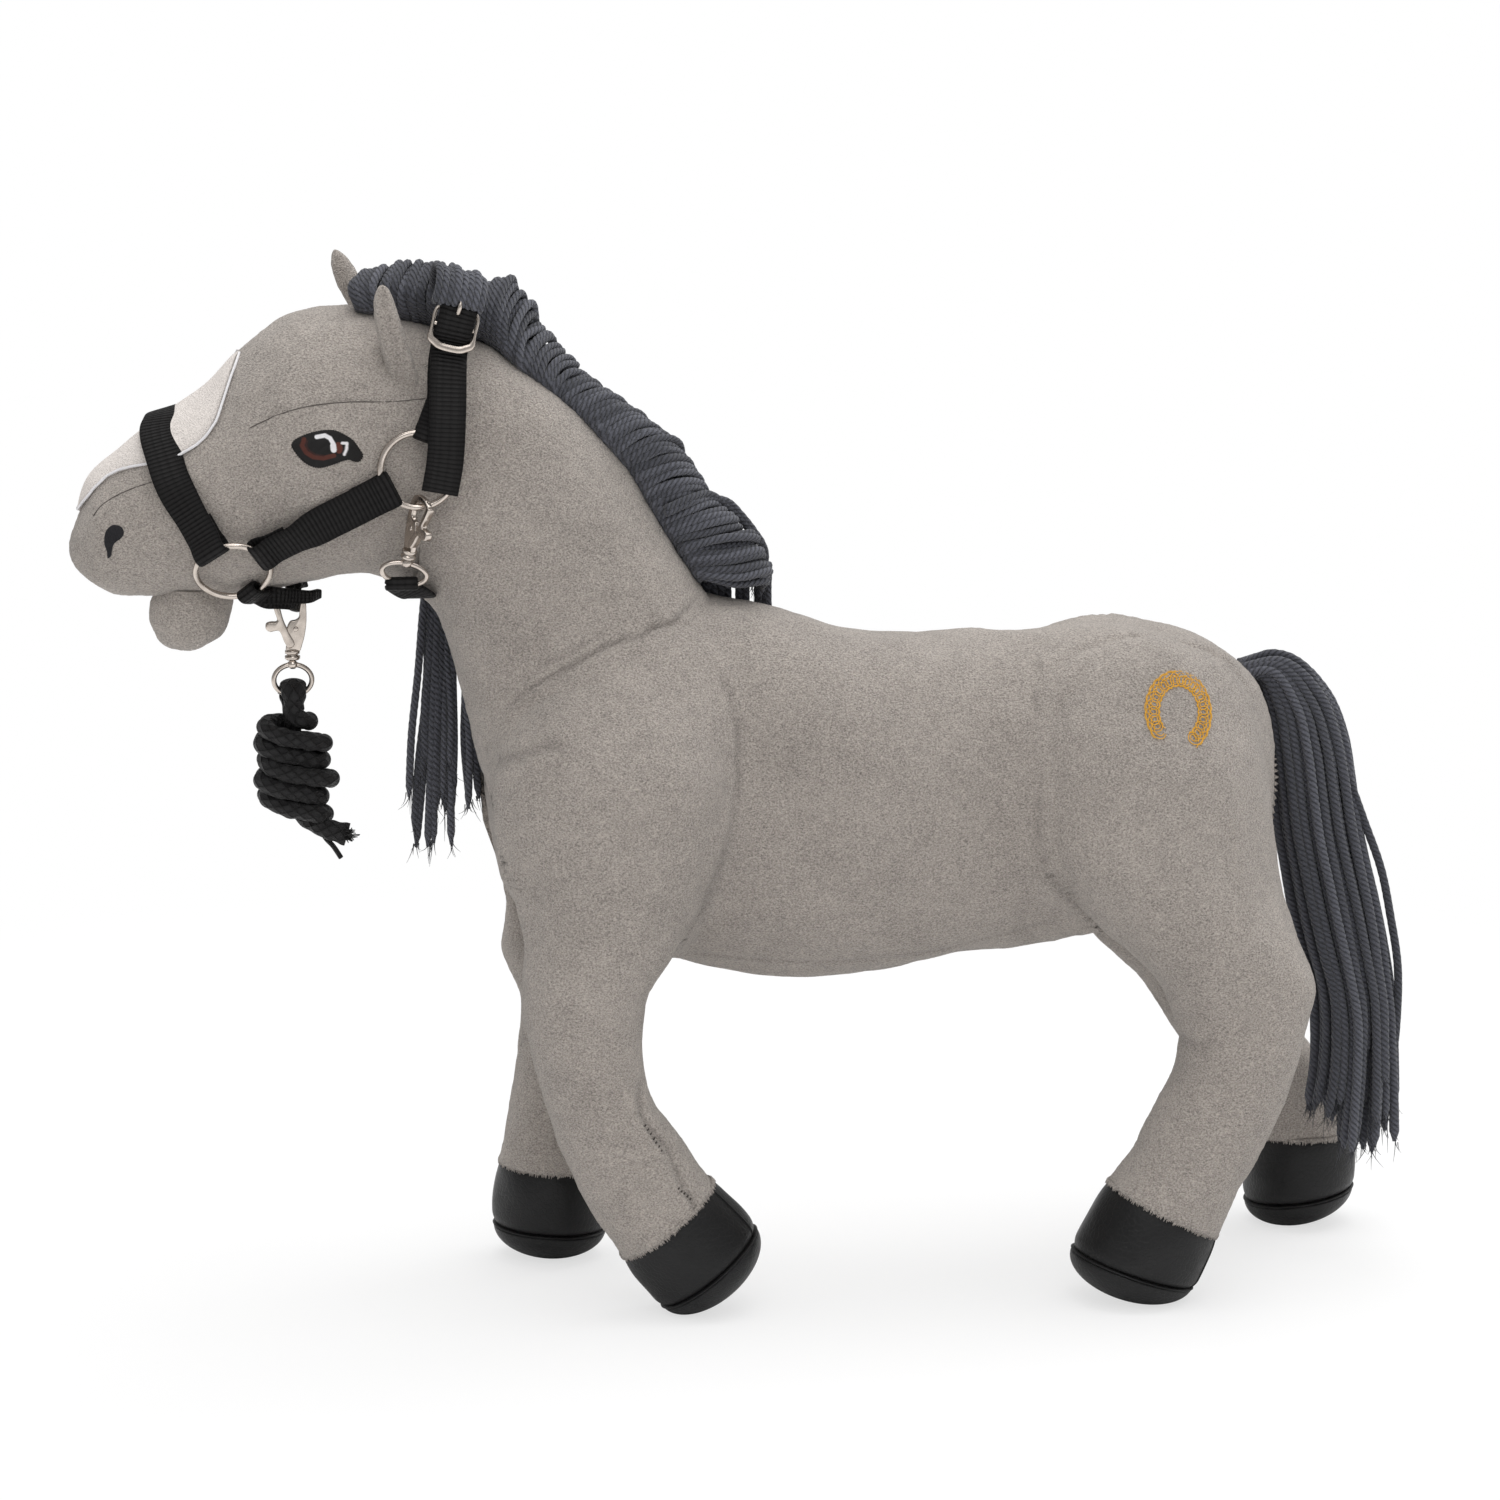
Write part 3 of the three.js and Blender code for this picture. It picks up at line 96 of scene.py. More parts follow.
def plus(tree, value, weight, base):
    return mathNode(tree, "MULTIPLY_ADD", value, weight, base)


def newMaterial(name):
    material = bpy.data.materials.new(name)
    material.use_nodes = True
    material.node_tree.nodes.clear()
    return material, material.node_tree


def finishMaterial(tree, shader):
    addNode(tree, "ShaderNodeOutputMaterial", {"Surface": shader})


lightSetup = {
    "surround": 0.66,  # soft white room light
    "mirror": 0.38,  # how bright the room is where it is mirrored
    "key": {"place": (-0.2, -2.2, 2.2), "size": 1.6, "power": 15},
    "top": {"place": (0.3, 0.2, 2.4), "size": 2.2, "power": 38},
    "rim": {"place": (1.9, 1.2, 1.5), "size": 1.2, "power": 8},
}


def makeLights(setup):
    world = bpy.data.worlds.new("whiteRoom")
    world.use_nodes = True
    tree = world.node_tree
    tree.nodes.clear()
    path = addNode(tree, "ShaderNodeLightPath")
    room = plus(tree, path.outputs["Is Glossy Ray"], setup["mirror"] - setup["surround"], setup["surround"])
    room = addNode(tree, "ShaderNodeBackground", {"Color": (1, 1, 1, 1), "Strength": room})
    white = addNode(tree, "ShaderNodeBackground", {"Color": (1, 1, 1, 1), "Strength": 1})
    mixed = addNode(tree, "ShaderNodeMixShader",
                    {0: path.outputs["Is Camera Ray"], 1: room.outputs[0], 2: white.outputs[0]})
    addNode(tree, "ShaderNodeOutputWorld", {"Surface": mixed.outputs[0]})
    bpy.context.scene.world = world
    for name in ("key", "top", "rim"):
        one = setup[name]
        data = bpy.data.lights.new(name + "Lamp", "AREA")
        data.size = one["size"]
        data.energy = one["power"]
        lamp = newObject(name + "Lamp", data)
        lamp.location = one["place"]
        aim = Vector((0, 0, 0.25)) - lamp.location
        lamp.rotation_euler = aim.to_track_quat("-Z", "Y").to_euler()


def makeFloor():
    # Near the horse the floor is matt white and holds shadows. Further out it fades to
    # plain white, so that no horizon shows.
    material, tree = newMaterial("paleFloor")
    place = addNode(tree, "ShaderNodeTexCoord").outputs["Object"]
    far = addNode(tree, "ShaderNodeVectorMath", {0: place}, operation="LENGTH").outputs["Value"]
    fade = addNode(tree, "ShaderNodeMapRange",
                   {"Value": far, "From Min": 0.3, "From Max": 0.9, "To Min": 0.66})
    seen = addNode(tree, "ShaderNodeLightPath").outputs["Is Camera Ray"]
    amount = mathNode(tree, "MULTIPLY", fade.outputs[0], seen)
    matt = addNode(tree, "ShaderNodeBsdfDiffuse", {"Color": (0.9, 0.9, 0.9, 1)})
    glow = addNode(tree, "ShaderNodeEmission", {"Color": (1, 1, 1, 1), "Strength": 1})
    mixed = addNode(tree, "ShaderNodeMixShader", {0: amount, 1: matt.outputs[0], 2: glow.outputs[0]})
    finishMaterial(tree, mixed.outputs[0])
    half = 9.0
    mesh = bpy.data.meshes.new("floor")
    mesh.from_pydata([(-half, -half, 0), (half, -half, 0), (half, half, 0), (-half, half, 0)], [],
                     [(0, 1, 2, 3)])
    mesh.materials.append(material)
    floor = newObject("floor", mesh)


makeLights(lightSetup)
makeFloor()
bpy.context.scene.view_settings.view_transform = "Standard"
print("camera, floor and light are set")


# Numbers along a table: smooth runs through it, level keeps it from overshooting
def hermite(at, values, slopes, where):
    step = np.diff(at)
    cell = np.clip(np.searchsorted(at, where, side="right") - 1, 0, len(at) - 2)
    t = ((where - at[cell]) / step[cell])[:, None]
    wide = step[cell][:, None]
    a, b = values[cell], values[cell + 1]
    return ((1 + 2 * t) * (1 - t) ** 2 * a + t * (1 - t) ** 2 * wide * slopes[cell]
            + t * t * (3 - 2 * t) * b + t * t * (t - 1) * wide * slopes[cell + 1])


def smooth(at, values, where):
    at, values = np.asarray(at, float), np.asarray(values, float).reshape(len(at), -1)
    return hermite(at, values, np.gradient(values, at, axis=0), np.asarray(where, float))


def level(at, values, where):
    at, values = np.asarray(at, float), np.asarray(values, float).reshape(len(at), -1)
    rise = np.diff(values, axis=0) / np.diff(at)[:, None]
    slopes = np.zeros_like(values)
    slopes[0], slopes[-1] = rise[0], rise[-1]
    same = rise[:-1] * rise[1:] > 0
    mean = 2 * rise[:-1] * rise[1:] / np.where(same, rise[:-1] + rise[1:], 1)
    slopes[1:-1] = np.where(same, mean, 0)
    return hermite(at, values, slopes, np.asarray(where, float))


def runAlong(points):
    # The distance along a line of points from its first one
    return np.concatenate([[0], np.cumsum(np.linalg.norm(np.diff(points, axis=0), axis=1))])


def units(vectors):
    return vectors / np.maximum(np.linalg.norm(vectors, axis=-1, keepdims=True), 1e-12)


def around(sides, shift=0.0):
    return (np.arange(sides) + shift) / sides * 2 * np.pi


def bent(value, power):
    # A sine or cosine drawn towards a square: its sign times its size to a power
    return np.sign(value) * np.abs(value) ** power


def circle(turn, first, second):
    return np.cos(turn)[:, None] * first + np.sin(turn)[:, None] * second


def ringsOf(line, *ways):
    # Rings of points round a line. A way has its reach at each ring, its share at each turn
    # and its direction.
    grid = line[:, None]
    for reach, share, way in ways:
        grid = grid + (reach[:, None] * share)[..., None] * np.broadcast_to(way, line.shape)[:, None]
    return grid


def takeAt(values, index):
    return np.take_along_axis(values, index[..., None], axis=-1)[..., 0]


def pointsAt(line, where):
    # The points at distances along a line
    run = runAlong(line)
    return np.stack([np.interp(where, run, column) for column in line.T], axis=1)


def titled(name):
    return name.title().replace("_", "")


def ease(low, high, value):
    t = np.clip((value - low) / (high - low), 0, 1)
    return t * t * (3 - 2 * t)


def lumps(points, wave, height, seed, count=18):
    # A sum of plane waves with random ways, lengths and starts
    rng = np.random.default_rng(seed)
    ways = rng.normal(size=(count, 3))
    ways /= np.linalg.norm(ways, axis=1)[:, None]
    lengths = rng.uniform(0.7, 1.6, count) * wave
    starts = rng.uniform(0, 2 * np.pi, count)
    total = np.zeros(points.shape[:-1])
    for way, length, start in zip(ways, lengths, starts):
        total += np.sin(points @ way * 2 * np.pi / length + start)
    return total * height / math.sqrt(count / 2)


def lineDistance(flat, line):
    # Distance from points to a chain of straight stretches, and the share along it
    line = np.asarray(line, float) * mm
    best = np.full(flat.shape[:-1], 1e9)
    along = np.zeros(flat.shape[:-1])
    lengths = np.linalg.norm(np.diff(line, axis=0), axis=1)
    before = 0.0
    for a, b, length in zip(line[:-1], line[1:], lengths):
        way = (b - a) / length
        t = np.clip((flat - a) @ way, 0, length)
        away = np.linalg.norm(flat - a - t[..., None] * way, axis=-1)
        nearer = away < best
        best = np.where(nearer, away, best)
        along = np.where(nearer, before + t, along)
        before += length
    return best, along / lengths.sum()


# A piece: its mesh goes on an object at the origin, which rides on a body. A skin is
# (points, faces, corner UVs); faces and UVs are lists of arrays with equal shapes.
def makePiece(name, skin, finish, body, nodes=(), **marks):
    points, faces, cornerUv = skin
    mesh = bpy.data.meshes.new(name)
    sizes = np.concatenate([np.full(len(part), part.shape[1]) for part in faces])
    corners = np.concatenate([part.reshape(-1) for part in faces])
    mesh.vertices.add(len(points))
    mesh.vertices.foreach_set("co", points.astype(np.float32).ravel())
    mesh.loops.add(len(corners))
    mesh.loops.foreach_set("vertex_index", corners.astype(np.int32))
    mesh.polygons.add(len(sizes))
    starts = np.concatenate([[0], np.cumsum(sizes)[:-1]])
    mesh.polygons.foreach_set("loop_start", starts.astype(np.int32))
    mesh.update(calc_edges=True)
    mesh.polygons.foreach_set("use_smooth", np.ones(len(sizes), bool))
    flat = np.concatenate([part.reshape(-1, 2) for part in cornerUv])
    mesh.uv_layers.new(name="UVMap").data.foreach_set("uv", flat.astype(np.float32).ravel())
    for key, values in marks.items():
        values = np.asarray(values, np.float32)
        if values.ndim > 1:
            layer = mesh.color_attributes.new(key, "FLOAT_COLOR", "POINT")
            full = np.concatenate([values.reshape(-1, 3), np.ones((len(points), 1), np.float32)], axis=1)
            layer.data.foreach_set("color", full.ravel())
        else:
            layer = mesh.attributes.new(key, "FLOAT", "POINT")
            layer.data.foreach_set("value", values.ravel())
    material, slot = look[finish]
    mesh.materials.append(material)
    made = newObject(name, mesh)
    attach(made, body)
    if nodes:
        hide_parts(*nodes)
    return made


def softPiece(name, grid, shade, finish, body, node, **filling):
    # A piece made from a grid skin; shade darkens its seams
    # shade is painted shade, darker where seams, creases and hollows fall into shadow
    made = makePiece(name, gridSkin(grid), finish, body, [node], seam=capped(shade))


def joinSkins(skins):
    points, faces, uvs, offset = [], [], [], 0
    for part in skins:
        points.append(part[0])
        faces += [face + offset for face in part[1]]
        uvs += part[2]
        offset += len(part[0])
    return np.concatenate(points), faces, uvs


def gridSkin(grid, rowUv=None, caps=True):
    # Quads over rows of points, each row closed. The end rows may get a middle point each.
    # Row distances run along V, the way round along U.
    rows, columns, _ = grid.shape
    r = np.arange(rows - 1)[:, None]
    c = np.arange(columns)[None, :]
    n = (c + 1) % columns
    quads = np.stack([r * columns + c, r * columns + n, (r + 1) * columns + n, (r + 1) * columns + c], -1)
    v = np.linspace(0, 1, rows) if rowUv is None else rowUv
    u0, u1, v0, v1 = np.broadcast_arrays(c / columns, (c + 1) / columns, v[r], v[r + 1])
    uv = np.stack([np.stack(pair, -1) for pair in ((u0, v0), (u1, v0), (u1, v1), (u0, v1))], -2)
    points, faces, uvs = grid.reshape(-1, 3), [quads.reshape(-1, 4)], [uv.reshape(-1, 4, 2)]
    if caps:
        first, last, base = rows * columns, rows * columns + 1, (rows - 1) * columns
        c, n = c[0], n[0]
        points = np.concatenate([points, grid[:1].mean(1), grid[-1:].mean(1)])
        faces += [np.stack([c * 0 + first, n, c], 1), np.stack([c * 0 + last, base + c, base + n], 1)]
        uvs += [np.stack([np.stack([c / columns, c * 0 + row], -1)] * 3, 1) for row in (v[0], v[-1])]
    a, b, d = grid[rows // 2, 0], grid[rows // 2, 1], grid[rows // 2 - 1, 0]
    if np.dot(np.cross(a - b, a - d), a - grid[rows // 2].mean(0)) < 0:
        faces, uvs = [part[:, ::-1] for part in faces], [part[:, ::-1] for part in uvs]
    return points, faces, uvs


def capped(values):
    # One value per grid point, with the end rows' means for their middle points
    flat = values.reshape(values.shape[0] * values.shape[1], *values.shape[2:])
    return np.concatenate([flat, values[:1].mean(1), values[-1:].mean(1)])


def gridNormals(grid, centres):
    # The cross product of the two grid ways, turned away from each ring's centre
    along = np.gradient(grid, axis=0)
    normal = units(np.cross(along, np.roll(grid, -1, axis=1) - np.roll(grid, 1, axis=1)))
    outwards = np.sum(normal * (grid - centres[:, None]), axis=-1, keepdims=True)
    return normal * np.where(outwards < 0, -1, 1)


# A stuffed form lies in the XZ plane of its frame. Each row of its table has two opposite
# edge points, the half width and the place across, as shares of the frame's sizes, and a
# short row is a closing point. Half widths run through the table as squares, so that the
# ends close round.
def formStations(frameSizes, shares, count):
    rows = [row if len(row) > 4 else (*row[:2], *row[:2], 0, *row[2:]) for row in shares]
    table = np.array([(*row, 1)[:6] for row in rows], float)
    scaleTo = np.array([frameSizes["length"], frameSizes["height"]])
    start = np.array([frameSizes["x"], frameSizes["z"]])
    first = table[:, 0:2] * scaleTo + start
    second = table[:, 2:4] * scaleTo + start
    centre, reach = (first + second) / 2, (first - second) / 2
    halfHigh = np.linalg.norm(reach, axis=1)
    way = np.arctan2(reach[:, 1], reach[:, 0])
    if halfHigh[0] == 0:
        way[0] = way[1]
    if halfHigh[-1] == 0:
        way[-1] = way[-2]
    way = np.unwrap(way)
    at = runAlong(centre)
    edges = np.linspace(0, 1, count)
    if halfHigh[0] == 0 or halfHigh[-1] == 0:
        low, high = (2.2 if halfHigh[0] == 0 else 1), (2.2 if halfHigh[-1] == 0 else 1)
        edges = np.where(edges < 0.5, 0.5 * (2 * edges) ** low, 1 - 0.5 * (2 - 2 * edges) ** high)
        edges[0] += 0.2 * (edges[1] - edges[0]) * (low > 1)
        edges[-1] -= 0.2 * (edges[-1] - edges[-2]) * (high > 1)
    where = edges * at[-1]
    half = np.stack([halfHigh, table[:, 4] * frameSizes["width"]], axis=1)
    halves = np.sqrt(np.maximum(level(at, half ** 2, where), 0))
    middle = smooth(at, centre, where)
    turn = smooth(at, way, where)[:, 0]
    side = smooth(at, table[:, 5] * frameSizes.get("across", 0), where)[:, 0]
    centres = np.stack([middle[:, 0], side, middle[:, 1]], axis=1) * mm
    up = np.stack([np.cos(turn), np.zeros(count), np.sin(turn)], axis=1)
    return centres, up, halves[:, 0] * mm, halves[:, 1] * mm


def formGrid(stations, sides, corner=1.0, start=0.0):
    # Each ring: centre + bent cosine times the height way + bent sine times the Y way
    centres, up, high, wide = stations
    turn = around(sides) + start
    c, s = bent(np.cos(turn), corner), bent(np.sin(turn), corner)
    return ringsOf(centres, (high, c, up), (wide, s, np.array([0, 1.0, 0])))


# Stuffed pieces get shallow random hollows, and grooves with raised banks along creases. A
# crease is a line in the side view: (points in mm, depth in mm, half width in mm, side).
def creaseDepth(points, creases):
    flat = points[..., [0, 2]]
    total = np.zeros(points.shape[:-1])
    for line, depth, wide, side in creases:
        away, share = lineDistance(flat, line)
        fade = np.clip(4 * share * (1 - share) * 2.2, 0, 1)
        dip = np.exp(-(away / (wide * mm)) ** 2) - 0.35 * np.exp(-((away / (wide * mm) - 2.0) / 0.9) ** 2)
        onSide = 1 if side == 0 else ease(-0.004, 0.004, points[..., 1] * side)
        total += depth * mm * dip * fade * onSide
    return total


def softHills(points, seed, big=0.9, small=0.22):
    push = lumps(points, 55 * mm, big * mm, seed) + lumps(points, 17 * mm, small * mm, seed + 1)
    return push + lumps(points, 3.4 * mm, 0.07 * mm, seed + 2)


def stuffed(grid, centres, creases=(), seed=1, **sizes):
    push = softHills(grid, seed, **sizes) - creaseDepth(grid, creases)
    return grid + gridNormals(grid, centres) * push[..., None]


# Shader nodes that the finishes share
def mixColour(tree, amount, first, second):
    return addNode(tree, "ShaderNodeMix", {0: amount, 6: first, 7: second}, data_type="RGBA").outputs[2]


def noiseNode(tree, place, scale, detail=2.0, roughness=0.5):
    values = {"Vector": place, "Scale": scale, "Detail": detail, "Roughness": roughness}
    return addNode(tree, "ShaderNodeTexNoise", values).outputs["Fac"]


def span(tree, value, low, high, toLow=0.0, toHigh=1.0):
    values = {"Value": value, "From Min": low, "From Max": high, "To Min": toLow, "To Max": toHigh}
    return addNode(tree, "ShaderNodeMapRange", values).outputs[0]


def objectPlace(tree):
    return addNode(tree, "ShaderNodeTexCoord").outputs["Object"]


def uvWays(tree):
    place = addNode(tree, "ShaderNodeTexCoord").outputs["UV"]
    return addNode(tree, "ShaderNodeSeparateXYZ", {0: place}).outputs


def mark(tree, name, output="Fac"):
    return addNode(tree, "ShaderNodeAttribute", attribute_name=name).outputs[output]


def product(tree, *values):
    total = values[0]
    for value in values[1:]:
        total = mathNode(tree, "MULTIPLY", total, value)
    return total


def ridges(tree, value, power):
    return mathNode(tree, "POWER", mathNode(tree, "ABSOLUTE", mathNode(tree, "SINE", value)), power)


def scaled(tree, colour, amount):
    return addNode(tree, "ShaderNodeVectorMath", {0: colour, "Scale": amount}, operation="SCALE").outputs[0]


def bump(tree, height, distance, strength=1.0):
    values = {"Height": height, "Distance": distance, "Strength": strength}
    return addNode(tree, "ShaderNodeBump", values).outputs[0]


def newGroup(name, build, **sizes):
    # A group takes a base colour and its own sizes, and gives a colour and a height
    tree = bpy.data.node_groups.new(name, "ShaderNodeTree")
    socket = tree.interface.new_socket
    socket("Base", in_out="INPUT", socket_type="NodeSocketColor")
    for key, value in sizes.items():
        socket(key, in_out="INPUT", socket_type="NodeSocketFloat").default_value = value
    socket("Colour", in_out="OUTPUT", socket_type="NodeSocketColor")
    socket("Height", in_out="OUTPUT", socket_type="NodeSocketFloat")
    given, result = tree.nodes.new("NodeGroupInput").outputs, tree.nodes.new("NodeGroupOutput").inputs
    shade, height = build(tree, given)
    tree.links.new(scaled(tree, given["Base"], shade), result["Colour"])
    tree.links.new(height, result["Height"])
    return tree


# Cut pile: tufts of 1 to 1.5 mm that lean at random, so that small patches look lighter or
# darker, over wider cloudy patches where the pile was brushed another way.
def cutPile(tree, given):
    place = objectPlace(tree)
    rows = addNode(tree, "ShaderNodeVectorMath", {0: place, 1: (1.0, 1.0, 1.45)},
                   operation="MULTIPLY").outputs[0]
    tufts = noiseNode(tree, rows, given["Grain"], 2.0, 0.6)
    fine = noiseNode(tree, place, product(tree, given["Grain"], 2.4), 1.0)
    patches, clouds = noiseNode(tree, place, 130.0, 3.0, 0.55), noiseNode(tree, place, 24.0, 3.0, 0.55)
    total = 0.0
    for value, weight in ((tufts, 0.4), (fine, 0.2), (patches, 0.06), (clouds, 0.07)):
        total = plus(tree, span(tree, value, 0.3, 0.7, -1, 1), weight, total)
    light = plus(tree, total, given["Contrast"], 1.0)
    # the Seam mark darkens the colour along seams, creases, hollows and rims: painted shade
    paintedFoldShade = plus(tree, given["Seam"], -0.32, 1.0)
    return product(tree, light, paintedFoldShade), plus(tree, fine, 0.45, tufts)


# Twisted yarn: plies wind round each other, and fine fibres run along each ply. U goes
# round the strand, V along it in metres.
def twistedPly(tree, given):
    ways = uvWays(tree)
    turn = mathNode(tree, "ADD", ways[0], mathNode(tree, "DIVIDE", ways[1], given["Pitch"]))
    turn = product(tree, turn, given["Plies"])
    plies = ridges(tree, product(tree, turn, math.pi), 0.6)
    fibres = mathNode(tree, "SINE", product(tree, turn, 9 * 2 * math.pi))
    loose = noiseNode(tree, objectPlace(tree), 1500.0)
    # the colour darkens between the plies and fibres and lightens on their crowns: painted shade and
    # highlight. Strand and loose noise vary the tone at random.
    shade = product(tree, span(tree, plies, 0.0, 1.0, 0.42, 1.14), span(tree, loose, 0.3, 0.7, 0.8, 1.2),
                    span(tree, mark(tree, "strand"), 0.0, 1.0, 0.66, 1.22), plus(tree, fibres, 0.06, 1.0))
    return shade, plus(tree, loose, 0.35, plies)


# Ribbed ribbon: cross ribs every 1.9 mm, each broken by fine warp threads that run along
# the strap. U goes across the strap and V along it, both in metres.
def ribbedRibbon(tree, given):
    ways = uvWays(tree)
    warp, ribs = [ridges(tree, product(tree, mathNode(tree, "DIVIDE", way, given[size]), math.pi), 0.7)
                  for way, size in ((ways[0], "Warp"), (ways[1], "Rib"))]
    height = plus(tree, warp, 0.3, ribs)
    height = plus(tree, noiseNode(tree, objectPlace(tree), 900.0), 0.3, height)
    # the colour follows the height: painted highlight on the rib tops, painted shade in the grooves
    return span(tree, height, 0.2, 1.4, 0.12, 1.6), height


# Braided cord: two families of strands wind opposite ways, and each diamond between their
# grooves is a stitch. U goes round the cord, V along it in metres.
def braidedCord(tree, given):
    ways = uvWays(tree)
    along = mathNode(tree, "DIVIDE", ways[1], given["Pitch"])
    across = product(tree, ways[0], given["Strands"])
    waves = [ridges(tree, product(tree, mathNode(tree, way, across, along), math.pi), 0.45)
             for way in ("ADD", "SUBTRACT")]
    height = plus(tree, noiseNode(tree, objectPlace(tree), 1700.0), 0.4, product(tree, *waves))
    # the colour follows the height: painted highlight on the stitches, painted shade in the grooves
    return span(tree, height, 0.2, 1.2, 0.25, 1.5), height


def leatherette(tree):
    place = objectPlace(tree)
    cells = addNode(tree, "ShaderNodeTexVoronoi", {"Vector": place, "Scale": 420.0},
                    feature="DISTANCE_TO_EDGE")
    pores = span(tree, cells.outputs["Distance"], 0.0, 0.12)
    height = plus(tree, noiseNode(tree, place, 1100.0, 3.0, 0.6), 0.4, pores)
    return {"Base Color": mixColour(tree, mark(tree, "seam"), linear(12, 12, 13), linear(6, 6, 6)),
            "Roughness": span(tree, noiseNode(tree, place, 60.0, 3.0), 0.3, 0.7, 0.34, 0.5),
            "Normal": bump(tree, height, 0.00012, 0.7)}


def nickel(tree):
    place = objectPlace(tree)
    worn = noiseNode(tree, place, 240.0, 4.0, 0.6)
    base = mixColour(tree, span(tree, worn, 0.35, 0.7), (0.66, 0.59, 0.53, 1), (0.52, 0.46, 0.41, 1))
    # painted reflection: the colour darkens towards the edges, since what a round wire mirrors there is the
    # dark room, not the lamps
    facing = addNode(tree, "ShaderNodeLayerWeight", {"Blend": 0.5}).outputs["Facing"]
    return {"Base Color": mixColour(tree, span(tree, facing, 0.45, 0.95), base, (0.24, 0.2, 0.17, 1)),
            "Roughness": span(tree, worn, 0.3, 0.75, 0.16, 0.3),
            "Normal": bump(tree, noiseNode(tree, place, 2600.0), 0.00003, 0.5)}


# Satin stitches: threads 0.4 mm wide that lie side by side along U. The colour comes from
# the mesh.
def satinStitch(tree):
    thread = ridges(tree, product(tree, uvWays(tree)[1], math.pi / 0.00042), 0.6)
    # the colour is lighter on each thread's crown and darker between threads: painted highlight and shade
    return {"Base Color": scaled(tree, mark(tree, "tint", "Color"), span(tree, thread, 0.0, 1.0, 0.55, 1.1)),
            "Normal": bump(tree, thread, 0.00018, 0.9)}


def fromGroup(group, distance, **values):
    # A group's colour and bump; a value that is a word is an attribute of the mesh
    def build(tree):
        inputs = {key: mark(tree, value) if isinstance(value, str) else value
                  for key, value in values.items()}
        made = addNode(tree, "ShaderNodeGroup", inputs, node_tree=group).outputs
        return {"Base Color": made["Colour"], "Normal": bump(tree, made["Height"], distance)}
    return build


def makeMaterial(name, build, roughness=0.5, specular=0.5, sheen=0.0, sheenRoughness=0.5, metallic=0.0):
    material, tree = newMaterial(name)
    values = {"Roughness": roughness, "Specular IOR Level": specular, "Sheen Weight": sheen,
              "Sheen Roughness": sheenRoughness, "Metallic": metallic, **build(tree)}
    finishMaterial(tree, addNode(tree, "ShaderNodeBsdfPrincipled", values).outputs[0])
    return material


def linear(red, green, blue):
    # From display values of 0 to 255
    value = np.array([red, green, blue]) / 255
    value = np.where(value <= 0.04045, value / 12.92, ((value + 0.055) / 1.055) ** 2.4)
    return (*[float(one) for one in value], 1.0)


pile = newGroup("cutPile", cutPile, Grain=1100.0, Contrast=1.0, Seam=0.0)
ply = newGroup("twistedPly", twistedPly, Pitch=0.0105, Plies=4.0)
ribbon = newGroup("ribbedRibbon", ribbedRibbon, Rib=0.0019, Warp=0.0007)
braid = newGroup("braidedCord", braidedCord, Pitch=0.0052, Strands=6.0)
look = {  # material, slot
    "plush": (makeMaterial("greyPlush", fromGroup(pile, 0.0012, Base=linear(166, 158, 151), Seam="seam"),
                           0.92, 0.15, 0.22, 0.45), "plush"),
    "felt": (makeMaterial("noseFelt", fromGroup(pile, 0.0012, Base=linear(233, 225, 219), Contrast=0.3,
                                                Seam="seam"), 0.92, 0.15, 0.22, 0.45), "nose_felt"),
    "hoof": (makeMaterial("hoofLeatherette", leatherette, specular=0.38), "hoof_leatherette"),
    "yarn": (makeMaterial("slateYarn", fromGroup(ply, 0.0007, Base=linear(80, 81, 88)), 0.88, 0.2, 0.16),
             "yarn"),
    "webbing": (makeMaterial("blackWebbing", fromGroup(ribbon, 0.0006, Base=linear(25, 24, 24)), 0.5, 0.12),
                "webbing"),
    "metal": (makeMaterial("paleNickel", nickel, metallic=1.0), "nickel"),
    "thread": (makeMaterial("satinThread", satinStitch, 0.45, 0.2, 0.06), "yarn"),
    "cord": (makeMaterial("braidedRope", fromGroup(braid, 0.0011, Base=linear(19, 18, 19)), 0.55, 0.3, 0.05),
             "rope"),
}
print("materials are ready")


# Trunk. The legs lie against its flat sides, and it is fuller between them.
torsoSizes = {"x": -118, "z": 142, "length": 358, "height": 180, "width": 40}
torsoShares = [
    [0, 0.478],
    [0.017, 0.667, 0.017, 0.267, 0.6],
    [0.056, 0.794, 0.056, 0.167, 0.85],
    [0.134, 0.906, 0.134, 0.1, 0.99],
    [0.229, 0.978, 0.229, 0.054, 1.04],
    [0.31, 0.952, 0.31, 0.014, 1.14],
    [0.394, 0.911, 0.394, 0, 1.3],
    [0.47, 0.866, 0.475, 0.012, 1.38],
    [0.553, 0.857, 0.553, 0.03, 1.36],
    [0.625, 0.86, 0.625, 0.052, 1.26],
    [0.707, 0.87, 0.707, 0.083, 1.2],
    [0.777, 0.886, 0.777, 0.122, 1.16],
    [0.86, 0.869, 0.86, 0.167, 1.12],
    [0.92, 0.822, 0.927, 0.239, 0.96],
    [0.955, 0.762, 0.965, 0.3, 0.78],
    [0.975, 0.69, 0.989, 0.39, 0.52],
    [0.995, 0.54],
]
neckSizes = {"x": -150, "z": 185, "length": 150, "height": 252, "width": 80}
neckShares = [
    [0, 1, 0, 0.544, 0.47],
    [0.227, 0.968, 0.06, 0.504, 0.5],
    [0.407, 0.897, 0.102, 0.43, 0.5],
    [0.6, 0.786, 0.16, 0.306, 0.5],
    [0.72, 0.663, 0.203, 0.206, 0.5],
    [0.85, 0.546, 0.247, 0.087, 0.5],
    [0.97, 0.43, 0.4, 0, 0.42],
]
headSizes = {"x": -301, "z": 319, "length": 163, "height": 129, "width": 93}
